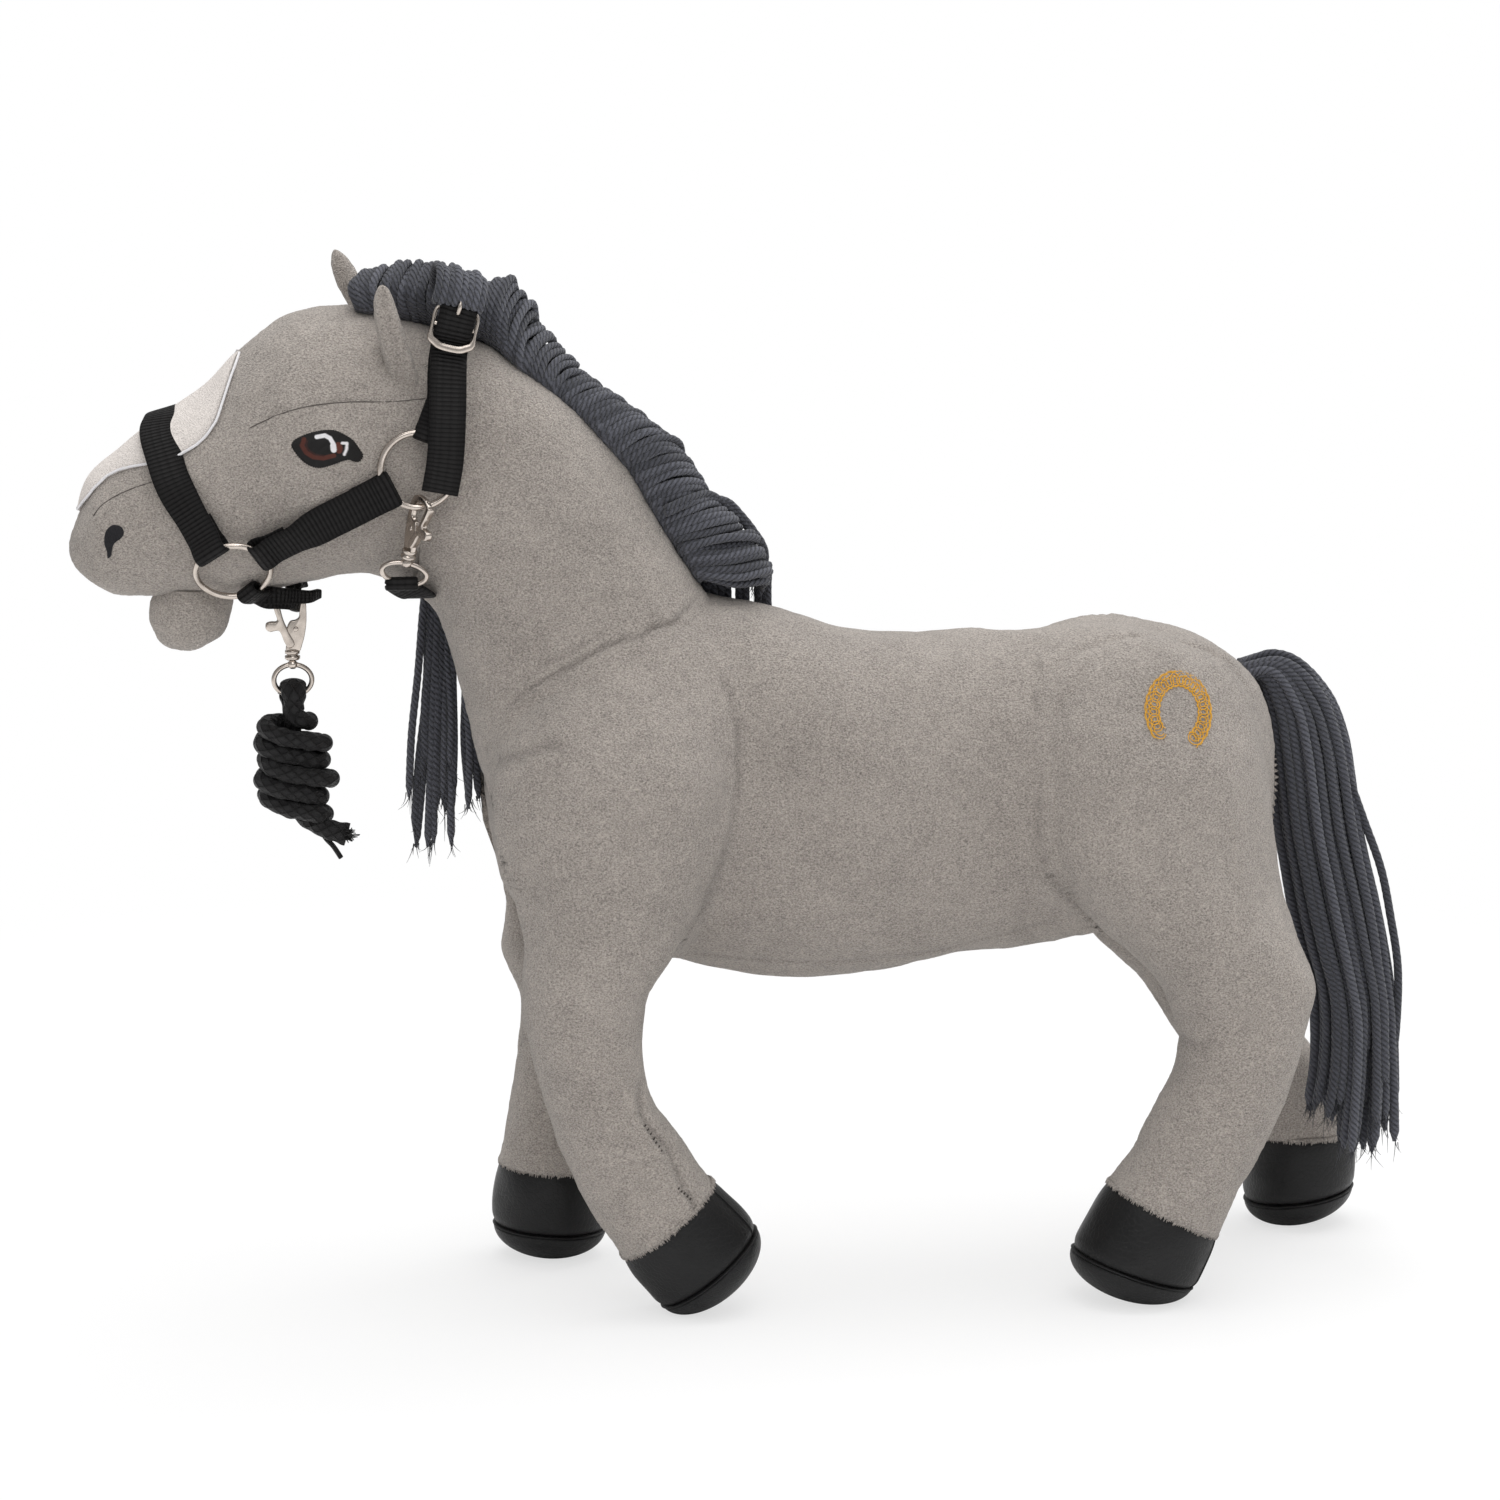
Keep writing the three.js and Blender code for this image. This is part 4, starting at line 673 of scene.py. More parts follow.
headShares = [
    [0, 0.147],
    [0.018, 0.287, 0.08, 0.039, 0.196],
    [0.067, 0.426, 0.178, 0.016, 0.272],
    [0.153, 0.527, 0.288, 0.008, 0.315],
    [0.264, 0.628, 0.399, 0, 0.37],
    [0.374, 0.721, 0.503, 0.008, 0.43],
    [0.491, 0.876, 0.589, 0.039, 0.475],
    [0.626, 0.984, 0.681, 0.062, 0.5],
    [0.76, 1, 0.791, 0.078, 0.49],
    [0.877, 0.953, 0.89, 0.054, 0.47],
    [1, 0.907, 0.988, 0.085, 0.42],
]


def paintedCreaseShade(grid, creases):
    # Painted shade in a crease at each point, from its depth; a crease 1.2 mm deep gets the darkest painted
    # shade
    return np.clip(creaseDepth(grid, creases) / (1.2 * mm), 0, 1)


def plushPiece(name, stations, sides, corner, node, creases=(), seed=1, over=(), **waves):
    grid = formGrid(stations, sides, corner)
    for leg in over:
        grid = swellOver(grid, stations, leg)
    grid = stuffed(grid, stations[0], creases, seed, **waves)
    softPiece(name, grid, paintedCreaseShade(grid, creases), "plush", "horse", node)


torsoStations = formStations(torsoSizes, torsoShares, 200)
torsoCreases = [
    ([(-26, 296), (-19, 286), (-14, 275), (-11.5, 262), (-11, 248), (-12.5, 233), (-16, 217), (-21, 202),
      (-26, 188), (-32, 176)], 0.8, 2.0, 0),
    ([(131, 300), (128, 294), (125.6, 289), (123, 277), (121, 260), (120, 241), (120.7, 222),
      (122.3, 207), (126, 197), (135, 184), (144, 173), (154, 165)], 0.7, 0.9, 0),
    ([(-40, 160), (-28, 157), (-6, 154), (17, 153), (40, 154), (85, 158), (148, 173)], 0.5, 1.0, 0),
]
neckStations = formStations(neckSizes, neckShares, 150)
neckCreases = [
    ([(-115, 268), (-108, 277), (-97, 285), (-84, 292), (-70, 300), (-54, 303.5), (-48, 307),
      (-39, 308.5), (-32, 313), (-22, 320)], 0.9, 1.1, 0),
    ([(-106, 285), (-94, 293), (-80, 300), (-64, 309)], 0.5, 1.3, 0),
    ([(-119, 242), (-108, 247.5), (-96, 250), (-89, 254)], 0.45, 1.2, 0),
    ([(-158, 409), (-150, 411), (-143, 414)], 0.8, 2.0, 0),
]
headStations = formStations(headSizes, headShares, 170)
headCreases = [
    ([(-223, 398.6), (-216, 402.4), (-209, 405.9), (-200, 408), (-191, 409.5), (-173, 409.5), (-155, 411)],
     0.45, 0.7, 0),
    ([(-291, 355), (-287.6, 357.8), (-284, 361)], 0.3, 0.6, 0),
    ([(-272, 368.5), (-268, 370.2), (-263, 372)], 0.3, 0.6, 0),
]


# A leg's rows lie in a frame of its pivot's height. Beside the trunk its outer side is a low
# dome, sewn on all round: base + (top - base) * |sine| ** 1.5. Lower down the leg is a full
# tube. The panel leans in above the pivot, as the trunk narrows there.
foreUpperShares = [
    [0.078, 0.323],
    [-0.134, 0.22, 0.19, 0.272, 0.3],
    [-0.211, 0.129, 0.218, 0.129, 0.42],
    [-0.237, 0.013, 0.221, 0.013, 0.44],
    [-0.231, -0.086, 0.211, -0.095, 0.44],
    [-0.203, -0.183, 0.172, -0.185, 0.44],
    [-0.185, -0.28, 0.112, -0.284, 0.46],
    [-0.19, -0.377, 0.044, -0.384, 0.49],
]
foreBentShares = [
    [-0.177, -0.475, 0.038, -0.502, 0.48],
    [-0.149, -0.574, 0.056, -0.571, 0.48],
    [-0.103, -0.707, 0.099, -0.638, 0.48],
    [-0.034, -0.836, 0.147, -0.713, 0.48],
    [-0.003, -0.885, 0.172, -0.743, 0.48],
]
foreStraightShares = [
    [-0.155, -0.478, 0.056, -0.478, 0.48],
    [-0.16, -0.578, 0.054, -0.578, 0.48],
    [-0.177, -0.681, 0.037, -0.681, 0.48],
    [-0.198, -0.803, 0.017, -0.818, 0.48],
]
hindUpperShares = [
    [-0.035, 0.292, 0.85],
    [-0.227, 0.232, 0.148, 0.232, 0.34, 0.85],
    [-0.271, 0.127, 0.2, 0.127, 0.44, 0.85],
    [-0.269, 0.004, 0.214, 0, 0.48, 0.87],
    [-0.265, -0.1, 0.229, -0.107, 0.5, 0.9],
]
hindBentShares = [
    [-0.175, -0.21, 0.247, -0.223, 0.52, 0.93],
    [-0.079, -0.301, 0.266, -0.301, 0.52, 0.96],
    [-0.004, -0.38, 0.293, -0.38, 0.5, 0.98],
    [0.026, -0.472, 0.273, -0.472, 0.48],
    [0.017, -0.54, 0.249, -0.568, 0.48],
    [-0.013, -0.598, 0.21, -0.668, 0.48],
    [-0.057, -0.69, 0.148, -0.777, 0.48],
    [-0.11, -0.763, 0.103, -0.871, 0.5],
]
hindStraightShares = [
    [-0.131, -0.249, 0.245, -0.17, 0.52, 0.93],
    [-0.035, -0.376, 0.253, -0.24, 0.5, 0.96],
    [0.061, -0.472, 0.288, -0.349, 0.49, 0.98],
    [0.122, -0.563, 0.332, -0.45, 0.48],
    [0.188, -0.664, 0.389, -0.568, 0.48],
    [0.245, -0.751, 0.454, -0.672, 0.48],
    [0.299, -0.806, 0.513, -0.806, 0.48],
]
legSetup = {
    "front_leg_left": {"side": left, "pivot": (-64, 232), "stance": 50,
                       "rows": foreUpperShares + foreBentShares},
    "front_leg_right": {"side": right, "pivot": (-64, 232), "stance": 50,
                        "rows": foreUpperShares + foreStraightShares},
    "hind_leg_left": {"side": left, "pivot": (180, 229), "stance": 60,
                      "rows": hindUpperShares + hindBentShares},
    "hind_leg_right": {"side": right, "pivot": (180, 229), "stance": 60,
                       "rows": hindUpperShares + hindStraightShares},
}
legPanel = {
    "thick": 50,
    "flat": 40.5,  # the trunk's side
    "leanIn": 20,
    "leanFrom": 236,
    "leanTo": 306,
    "tubeFrom": 196,  # height where the dome starts to turn into a tube
    "tubeTo": 140,
    "dome": 1.5,
}
legCreases = {
    "front_leg_left": [
        ([(-57, 112), (-59, 105), (-58, 95), (-52, 86), (-46, 79), (-40, 63), (-33, 51), (-27, 46)],
         1.0, 1.5, 0),
        ([(-121, 247), (-112, 253), (-97, 259), (-88, 260)], 1.0, 2.2, 0),
    ],
    "hind_leg_left": [([(170, 118), (182, 121), (196, 119)], 0.7, 3.0, 0)],
}


def legStations(setup, count=150):
    pivotX, pivotZ = setup["pivot"]
    sizes = {"x": pivotX, "z": pivotZ, "length": pivotZ, "height": pivotZ,
             "width": legPanel["thick"], "across": setup["side"] * setup["stance"]}
    return formStations(sizes, setup["rows"], count)


def domeAndLean(z):
    # How far a leg's outer side is a dome at a height, and how far its panel leans in
    dome = ease(legPanel["tubeTo"] * mm, legPanel["tubeFrom"] * mm, z)
    return dome, legPanel["leanIn"] * mm * ease(legPanel["leanFrom"] * mm, legPanel["leanTo"] * mm, z)


def legGrid(stations, side, sides=130, corner=0.9):
    centres, up, high, wide = stations
    turn = around(sides)
    c, s = bent(np.cos(turn), corner), bent(np.sin(turn), corner)
    grid = ringsOf(centres, (high, c, up))
    dome, lean = domeAndLean(grid[..., 2])
    middle = np.abs(centres[:, 1])[:, None]
    reach, strong = wide[:, None], np.abs(s)[None, :]
    base = middle + (legPanel["flat"] * mm - middle) * dome
    outer = base + (middle + reach - base) * strong ** (1 + (legPanel["dome"] - 1) * dome)
    inner = base - (base - (middle - reach)) * strong * (1 - dome)
    grid[..., 1] = side * (np.where((s > 0)[None, :], outer, inner) - lean)
    return grid


legForms = {}
legSeeds = {name: 50 + 7 * index for index, name in enumerate(legSetup)}
for name, setup in legSetup.items():
    legForms[name] = legStations(setup)
    grid = legGrid(legForms[name], setup["side"])
    creases = legCreases.get(name, ())
    grid = stuffed(grid, grid.mean(1), creases, legSeeds[name], big=0.6)
    softPiece(titled(name) + "Plush", grid, paintedCreaseShade(grid, creases), "plush", name, name)
print("legs are made")


def stationOffsets(stations, x, z):
    # How far points of the side view lie from each station's middle: across its height way
    # and along it
    way = stations[1][:, [0, 2]]
    offset = np.stack([x, z], axis=-1)[..., None, :] - stations[0][:, [0, 2]]
    return np.abs(offset[..., 0] * way[:, 1] - offset[..., 1] * way[:, 0]), np.abs((offset * way).sum(-1))


# The trunk and the neck swell smoothly over the tops of the legs, which are sewn in under
# them: the larger of the two surfaces, (a + b + sqrt((a - b) ** 2 + round ** 2)) / 2, with
# the leg's surface taken a little deeper.
blend = {"front_leg": {"round": 12, "deeper": 4.6, "shares": (0.2, 0.7), "hollow": 0},
         "hind_leg": {"round": 15, "deeper": 5.6, "shares": (0.06, 0.42), "hollow": 6}, "fall": 2.2}


def legOuter(name, x, z, corner=0.9, hollow=0.0):
    centres, _, high, wide = legForms[name]
    setup = legSetup[name]
    cross, reach = stationOffsets(legForms[name], x, z)
    best = np.argmin(cross + 2 * np.maximum(reach - high, 0), axis=-1)
    cross, reach = takeAt(cross, best), takeAt(reach, best)
    share = np.clip(reach / np.maximum(high[best], 1e-6), 0, 1)
    outside = np.maximum(reach - high[best], 0) + np.maximum(cross - 0.003, 0)
    strong = np.clip(1 - share ** (2 / corner), 0, 1) ** (corner / 2)
    dome, lean = domeAndLean(z)
    middle = abs(setup["stance"]) * mm if "front" in name else np.abs(centres[best, 1])
    base = middle + (legPanel["flat"] * mm - middle) * dome
    outer = base + (middle + wide[best] - base) * strong ** (1 + (legPanel["dome"] - 1) * dome)
    under = hollow * ease(0.6, 0.92, strong) * ease(9 * mm, 19 * mm, wide[best])  # room for the leg to turn
    return outer - lean - under - blend["fall"] * outside


def swellOver(grid, stations, name):
    side = legSetup[name]["side"]
    rule = blend[name.rsplit("_", 1)[0]]
    own = grid[..., 1] * side
    target = legOuter(name, grid[..., 0], grid[..., 2], hollow=rule["hollow"] * mm) - rule["deeper"] * mm
    mixed = (own + target + np.sqrt((own - target) ** 2 + (rule["round"] * mm) ** 2)) / 2
    share = own / np.maximum(stations[3][:, None], 1e-6)
    weight = ease(*rule["shares"], share) * ease(-0.03, 0.012, target - own + 0.02)
    swollen = own + np.maximum(mixed - own, 0) * weight
    grid = grid.copy()
    grid[..., 1] = np.where(share > 0.05, side * swollen, grid[..., 1])
    return grid


plushPiece("torsoPlush", torsoStations, 220, 0.85, "torso", creases=torsoCreases, seed=11,
           over=list(legSetup))
plushPiece("neckPlush", neckStations, 190, 0.92, "neck", creases=neckCreases, seed=23,
           over=["front_leg_left", "front_leg_right"])
plushPiece("headPlush", headStations, 230, 1.0, "head", creases=headCreases, seed=35, big=0.5)
print("trunk, neck and head are made")


# The half width of a form at points of the side view, and zero outside it: along each
# point's nearest station, wide * (1 - |a| ** (2 / corner)) ** (corner / 2), with a the share
# of the way out to the edge.
def sideOf(stations, x, z, corner):
    _, _, high, wide = stations
    cross, reach = stationOffsets(stations, *np.broadcast_arrays(np.asarray(x, float), np.asarray(z, float)))
    cross = np.where(reach < high * 1.05 + 0.001, cross, 9)
    best = np.argmin(cross, axis=-1)
    share = np.clip(takeAt(reach, best) / np.maximum(high[best], 1e-6), 0, 1)
    near = np.clip(1 - share ** (2 / corner), 0, 1) ** (corner / 2)
    found = takeAt(cross, best) < 0.006
    return np.where(found, wide[best] * near, 0)


def bodySide(x, z):
    forms = ((torsoStations, 0.85), (neckStations, 0.92), (headStations, 1.0))
    return np.max([sideOf(stations, x, z, corner) for stations, corner in forms], axis=0)


# Hooves: a wall that swells out from the leg's end and rounds in at its low edge, a raised
# seam, and a soft domed sole pressed flat on the ground.
hoofSetup = {
    "front_leg": {"toe": 29.5, "heel": 29.5},
    "hind_leg": {"toe": 34, "heel": 26},
    "flare": 1.5,
    "sole": 15,
    "swell": 1.2,
    "roundIn": 1.6,  # over the wall's lowest part, from this share of its height on
    "roundFrom": 0.82,
    "wrinkle": 0.25,
    "rollFrom": -1.4,  # the seam's roll, and how far it stands out from there
    "roll": 1.6,
    "stitches": 44,
    "fringe": 300,  # tufts of pile round the top
    "fringeLong": (0.5, 1.9),
    "fringeOut": (0.3, 0.8),
}


def hoofRings(name):
    setup = hoofSetup[name.rsplit("_", 1)[0]]
    centres, up, high, wide = legForms[name]
    end, toeWay = centres[-1], up[-1] if up[-1][0] < 0 else -up[-1]
    toeWay = toeWay / np.linalg.norm(toeWay)
    sink = np.array([toeWay[2], 0, -toeWay[0]])
    sink = -sink if sink[2] > 0 else sink
    toeTop, heelTop = end + toeWay * high[-1], end - toeWay * high[-1]
    toeLow = toeTop + sink * setup["toe"] * mm + toeWay * hoofSetup["flare"] * mm
    heelLow = heelTop + sink * setup["heel"] * mm - toeWay * hoofSetup["flare"] * mm
    topWide = wide[-1]
    lowWide = wide[-1] + hoofSetup["flare"] * mm
    return (toeTop, heelTop, topWide), (toeLow, heelLow, lowWide), sink


def hoofRing(front, rear, across, sides, grow):
    turn = around(sides)
    middle, reach = (front + rear) / 2, (front - rear) / 2
    reach = reach * (1 + grow / np.linalg.norm(reach))
    ring = middle + np.cos(turn)[:, None] * reach
    ring[:, 1] += np.sin(turn) * (across + grow)
    return ring


def makeHoof(name, sides=120, rows=44):
    top, low, sink = hoofRings(name)
    wall = []
    for t in np.linspace(0, 1, rows):
        front, rear, across = [a + (b - a) * t for a, b in zip(top, low)]
        swell = hoofSetup["swell"] * math.sin(math.pi * t) ** 0.7 - 0.4 * (1 - t) ** 8
        lowest = max(0, (t - hoofSetup["roundFrom"]) / (1 - hoofSetup["roundFrom"]))
        swell -= hoofSetup["roundIn"] * lowest ** 2
        wall.append(hoofRing(front, rear, across, sides, swell * mm))
    wall = np.array(wall)
    wall[..., 2] = np.maximum(wall[..., 2], 0.0004)
    wrinkle = lumps(wall, 26 * mm, hoofSetup["wrinkle"] * mm, 71)
    normals = gridNormals(wall, wall.mean(1))
    wall = wall + normals * wrinkle[..., None] * np.sin(np.linspace(0, np.pi, rows))[:, None, None]
    wall[..., 2] = np.maximum(wall[..., 2], 0.0003)
    shade = np.zeros((rows, sides))
    shade[-2:] = 1
    hoofName = name.replace("leg", "hoof")
    pieceName = titled(hoofName)
    makePiece(pieceName + "Wall", gridSkin(wall), "hoof", name, [hoofName], seam=capped(shade))
    # quarter ellipse from the seam to the middle of the sole
    ring = hoofRing(*low, sides, -0.3 * mm)
    middle = ring.mean(0)
    depth = hoofSetup["sole"] * mm
    dome = [middle + (ring - middle) * max(math.cos(a), 0.02) + sink * (math.sin(a) * depth + 0.4 * mm)
            for a in np.linspace(0, np.pi / 2, 30)]
    # the seam: a low roll, 0.2 mm proud
    rollFrom, roll = hoofSetup["rollFrom"], hoofSetup["roll"]
    seam = []
    for t in np.linspace(0, 1, 9):
        ring = hoofRing(*low, sides, (rollFrom + roll * math.sin(math.pi * t)) * mm)
        seam.append(ring + sink * (t * roll - 0.5) * mm)
    dome = np.array(seam + dome[1:])
    dome[..., 2] = np.maximum(dome[..., 2], 0)
    stitch = np.sin(around(sides) * hoofSetup["stitches"])
    shade = np.zeros(dome.shape[:2])
    shade[2:6] = 0.35 + 0.35 * stitch
    makePiece(pieceName + "Sole", gridSkin(dome), "hoof", name, [name.replace("leg", "sole")],
              seam=capped(shade))
    # the wall's upright seam, towards the heel on the outer side
    column = round(sides * (0.57 if "left" in name else 0.43))
    seam = wall[2:-1:2, column] + normals[2:-1:2, column] * 0.1 * mm
    makePiece(pieceName + "Seam", tubeSkin(seam, 0.4 * mm, 8), "hoof", name)
    # the pile of the cut edge hangs over the wall
    rng = np.random.default_rng(73)
    ring = hoofRing(*top, hoofSetup["fringe"], 0.15 * mm)
    fringe = []
    for k, place in enumerate(ring):
        out = place - ring.mean(0)
        out = out / np.linalg.norm(out)
        along = (ring[k - 1] - place) * rng.normal(0, 0.6)
        start = place - sink * 1.2 * mm - out * 0.1 * mm
        down, off = rng.uniform(*hoofSetup["fringeLong"]), rng.uniform(*hoofSetup["fringeOut"])
        tip = place + (sink * down + out * off) * mm + along
        fringe.append(tubeSkin(np.array([start, (start + tip) / 2 + out * 0.25 * mm, tip]),
                               np.array([0.5, 0.42, 0.1]) * mm, 5))
    makePiece(pieceName + "Fringe", joinSkins(fringe), "plush", name)


# Lower lip: a small stuffed pouch that hangs from the muzzle
lipShares = [
    (-262, 324, -233, 324, 15.5),
    (-266.7, 317, -230.2, 318, 16.3),
    (-266.9, 310, -232.5, 309, 16),
    (-264.2, 303, -236, 302.5, 14),
    (-260.5, 298.5, -242, 299.3, 9.5),
    (-251.5, 296.2),
]
lipStations = formStations({"x": 0, "z": 0, "length": 1, "height": 1, "width": 1}, lipShares, 60)
plushPiece("lowerLipPlush", lipStations, 110, 1.0, "lower_lip", seed=81, big=0.4, small=0.15)


# Pale panel on the nose. It covers each head station from side to side, between the angles
# where that station crosses the panel's edge line, and is puffed up between its seams.
blazeEdge = np.array([(-225.5, 427), (-230, 417), (-233.5, 408), (-236.5, 400), (-241.3, 393.2),
                      (-246, 389.1), (-253.7, 384.6), (-261, 382), (-268.3, 380.4), (-273.6, 379.2),
                      (-279, 377.5), (-284, 374.8), (-289.5, 369.5), (-295, 362), (-299, 355)]) * mm
blazeSetup = {"rows": 170, "columns": 90, "puff": 0.9, "lift": 0.35}


def headPoint(station, turn):
    index = np.clip(station, 0, len(headStations[2]) - 1.001)
    low = np.floor(index).astype(int)

    def between(values):
        part = (index - low).reshape(index.shape + (1,) * (values.ndim - 1))
        return values[low] * (1 - part) + values[low + 1] * part

    c, u, h, w = [between(values) for values in headStations]
    point = c + (h * np.cos(turn))[..., None] * u
    point[..., 1] += w * np.sin(turn)
    return point


def blazeAngles():
    centres, up, high, _ = headStations
    flat, way = centres[:, [0, 2]], up[:, [0, 2]]
    angles = np.zeros(len(high))
    for k in range(len(high)):
        best = 0.0
        for a, b in zip(blazeEdge[:-1], blazeEdge[1:]):
            # where flat + reach * way meets a + s * (b - a)
            system = np.array([way[k], -(b - a)]).T
            if abs(np.linalg.det(system)) < 1e-12:
                continue
            reach, s = np.linalg.solve(system, a - flat[k])
            if 0 <= s <= 1 and 0 < reach < high[k]:
                best = max(best, math.acos(reach / high[k]))
        angles[k] = best
    return angles, np.where(angles > 0.02)[0]


def blazeGrid():
    angles, used = blazeAngles()
    high = headStations[2]
    first, last = used[0], used[-1]
    share = np.sin(np.linspace(-np.pi / 2, np.pi / 2, blazeSetup["rows"])) * 0.5 + 0.5
    station = first + (last - first) * share
    angle = np.interp(station, np.arange(len(high)), angles)
    ends = np.sqrt(np.clip(1 - np.abs(2 * share - 1) ** 5, 0, 1))
    across = np.linspace(-1, 1, blazeSetup["columns"])
    turn = angle[:, None] * across * ends[:, None]
    grid = headPoint(np.broadcast_to(station[:, None], turn.shape), turn)
    rim = (1 - across[None, :] ** 6) * (1 - np.abs(2 * share - 1)[:, None] ** 12)
    return grid, rim


grid, rim = blazeGrid()
normals = units(np.cross(np.gradient(grid, axis=0), np.gradient(grid, axis=1)))
if normals[len(normals) // 2, normals.shape[1] // 2, 2] < 0:
    normals = -normals
hills = lumps(grid, 30 * mm, 0.2 * mm, 91)
upper = grid + normals * (blazeSetup["lift"] * mm + (blazeSetup["puff"] * mm + hills) * rim)[..., None]
under = grid - normals * 0.8 * mm
# edgeShade is painted shade: the felt darkens towards its rim, where the puffed panel dips into its seam
edgeShade = np.concatenate([1 - rim, 1 - rim[:, ::-1]], axis=1) ** 3 * 0.6
# an upper and a lower sheet with the same rim become one closed skin
sheets = np.concatenate([upper, under[:, ::-1]], axis=1)
softPiece("blazeFelt", sheets, edgeShade, "felt", "horse", "blaze_panel", fill=0.3)
print("lip and nose panel are made")


# Ears: a leaf with a hollow along its middle, open outwards, and thick soft edges
earShares = [
    [-0.25, -0.06, 0.6, -0.12, 0.45, 0.7],
    [-0.36, 0.3, 0.36, 0.25, 0.5, 0.85],
    [-0.56, 0.62, 0.05, 0.62, 0.44, 0.95],
    [-0.6, 0.85, -0.16, 0.87, 0.32, 1],
    [-0.42, 1, 1.02],
]
earSetup = {
    "ear_left": {"side": left, "turn": 0.0, "lift": 0, "size": 1.0, "seed": 101},
    "ear_right": {"side": right, "turn": 0.3, "lift": 8, "size": 1.14, "seed": 104},
    "base": (-157.56, 410.59),
    "spread": 80,
    "long": 19,
    "high": 48,
    "cup": 1.76,  # how deep its hollow is
}
for name in ("ear_left", "ear_right"):
    one = earSetup[name]
    sizes = {"x": 0, "z": 0, "length": earSetup["long"], "height": earSetup["high"] * one["size"],
             "width": 14, "across": one["side"] * earSetup["spread"] / 2}
    stations = formStations(sizes, earShares, 90)
    grid = formGrid(stations, 90, 0.9)
    turn = around(90)
    along = np.linspace(0, 1, 90)[:, None]
    hollow = np.exp(-(np.cos(turn) / 0.42) ** 2)[None, :] * (np.sin(turn) * one["side"] > 0)[None, :]
    hollow = hollow * ease(0.02, 0.25, along) * ease(1.0, 0.75, along)
    grid[..., 1] -= one["side"] * earSetup["cup"] * mm * hollow
    grid = stuffed(grid, grid.mean(1), (), one["seed"], big=0.3, small=0.15)
    c, s = math.cos(one["turn"]), math.sin(one["turn"])
    x, z = grid[..., 0].copy(), grid[..., 2].copy()
    grid[..., 0] = c * x - s * z + earSetup["base"][0] * mm
    grid[..., 2] = s * x + c * z + (earSetup["base"][1] + one["lift"]) * mm
    # the hollow also darkens the colour a little: painted shade
    softPiece(titled(name) + "Plush", grid, hollow * 0.25, "plush", "horse", name, fill=0.3)
print("ears are made")


# Yarn. A strand is a tube round a smooth path; its plies are in the material. Strands are
# given by a few points in mm, which are run through smoothly and cut into equal steps.
yarnSetup = {"radius": 1.75, "step": 1.6, "sides": 12, "pitch": 0.0105, "plies": 4, "bulge": 0.15}
fraySetup = {"count": 5, "radius": 0.26, "length": (4, 9), "spread": 0.32}


def resample(points, step):
    points = np.asarray(points, float)
    at = runAlong(points)
    fine = smooth(at, points, np.linspace(0, at[-1], 200))
    length = runAlong(fine)[-1]
    return pointsAt(fine, np.linspace(0, length, max(int(length / step) + 1, 4)))


def pathFrames(path):
    # Directions across a path that turn as little as possible along it
    tangent = units(np.gradient(path, axis=0))
    start = np.array([0, 0, 1.0]) if abs(tangent[0, 2]) < 0.9 else np.array([1.0, 0, 0])
    across = np.cross(tangent[0], start)
    across /= np.linalg.norm(across)
    rows = []
    for way in tangent:
        across = across - way * np.dot(across, way)
        across = across / np.linalg.norm(across)
        rows.append(across)
    first = np.array(rows)
    return tangent, first, np.cross(tangent, first)


def tubeSkin(path, radius, sides, startAt=0.0, bulge=0.0):
    # The outline follows the plies: radius * (1 + bulge * (|sine| - 0.6))
    _, first, second = pathFrames(path)
    share = np.arange(sides) / sides
    run = runAlong(path) + startAt
    plies = np.abs(np.sin((share[None, :] + run[:, None] / yarnSetup["pitch"]) * yarnSetup["plies"] * np.pi))
    reach = np.broadcast_to(radius, len(path))[:, None] * (1 + bulge * (plies - 0.6))
    ring = circle(around(sides), first[:, None], second[:, None])
    return gridSkin(path[:, None] + ring * reach[..., None], rowUv=run)


def fraySkins(path, rng):
    # Loose fibres that go on from a strand's end and bend apart
    way = (path[-1] - path[-3]) / np.linalg.norm(path[-1] - path[-3])
    skins = []
    for _ in range(fraySetup["count"]):
        length = rng.uniform(*fraySetup["length"]) * mm
        bend = rng.normal(0, fraySetup["spread"], 3)
        share = np.linspace(0, 1, 5)[:, None]
        start = path[-1] - way * 1.5 * mm + rng.normal(0, 0.7, 3) * mm
        line = start + way * share * length + bend * share ** 2 * length
        skins.append(tubeSkin(line, fraySetup["radius"] * mm * (1 - 0.8 * share[:, 0]), 4))
    return skins


def makeStrands(name, strands, nodes, body, seed, thick=1.0, group=36):
    # Strands come in objects of up to 36, so that none gets too heavy
    rng = np.random.default_rng(seed)
    base = yarnSetup["radius"] * thick
    step = yarnSetup["step"] * mm * 1
    for start in range(0, len(strands), group):
        skins, marks = [], []
        for strand in strands[start:start + group]:
            path = resample(np.asarray(strand, float) * mm, step)
            share = np.linspace(0, 1, len(path))
            wide = base * mm * rng.uniform(0.88, 1.12) * (1 - 0.6 * ease(0.98, 1.0, share))
            skin = tubeSkin(path, wide, yarnSetup["sides"], rng.uniform(0, 0.01), yarnSetup["bulge"])
            skin = joinSkins([skin] + fraySkins(path, rng))
            skins.append(skin)
            marks.append(np.full(len(skin[0]), rng.uniform(0, 1)))
        makePiece(f"{name}{start // group + 1}", joinSkins(skins), "yarn", body, nodes,
                  strand=np.concatenate(marks))


for name in legSetup:
    makeHoof(name)
print("hooves are made")

# Tail: strands spring from the dock and fall between an inner and an outer line. Rows are
# height, inner x, outer x and half depth.
tailLines = [
    (284, 225, 236, 8),
    (279, 229, 256, 12),
    (266, 233, 268, 15),
    (243, 236.5, 278, 18),
    (202, 242, 285, 20),
    (159, 251, 296, 22),
    (121, 262, 302, 23),
    (90, 261, 304, 23.5),
    (62, 256, 306, 23.5),
    (46, 254, 306, 23.5),
]


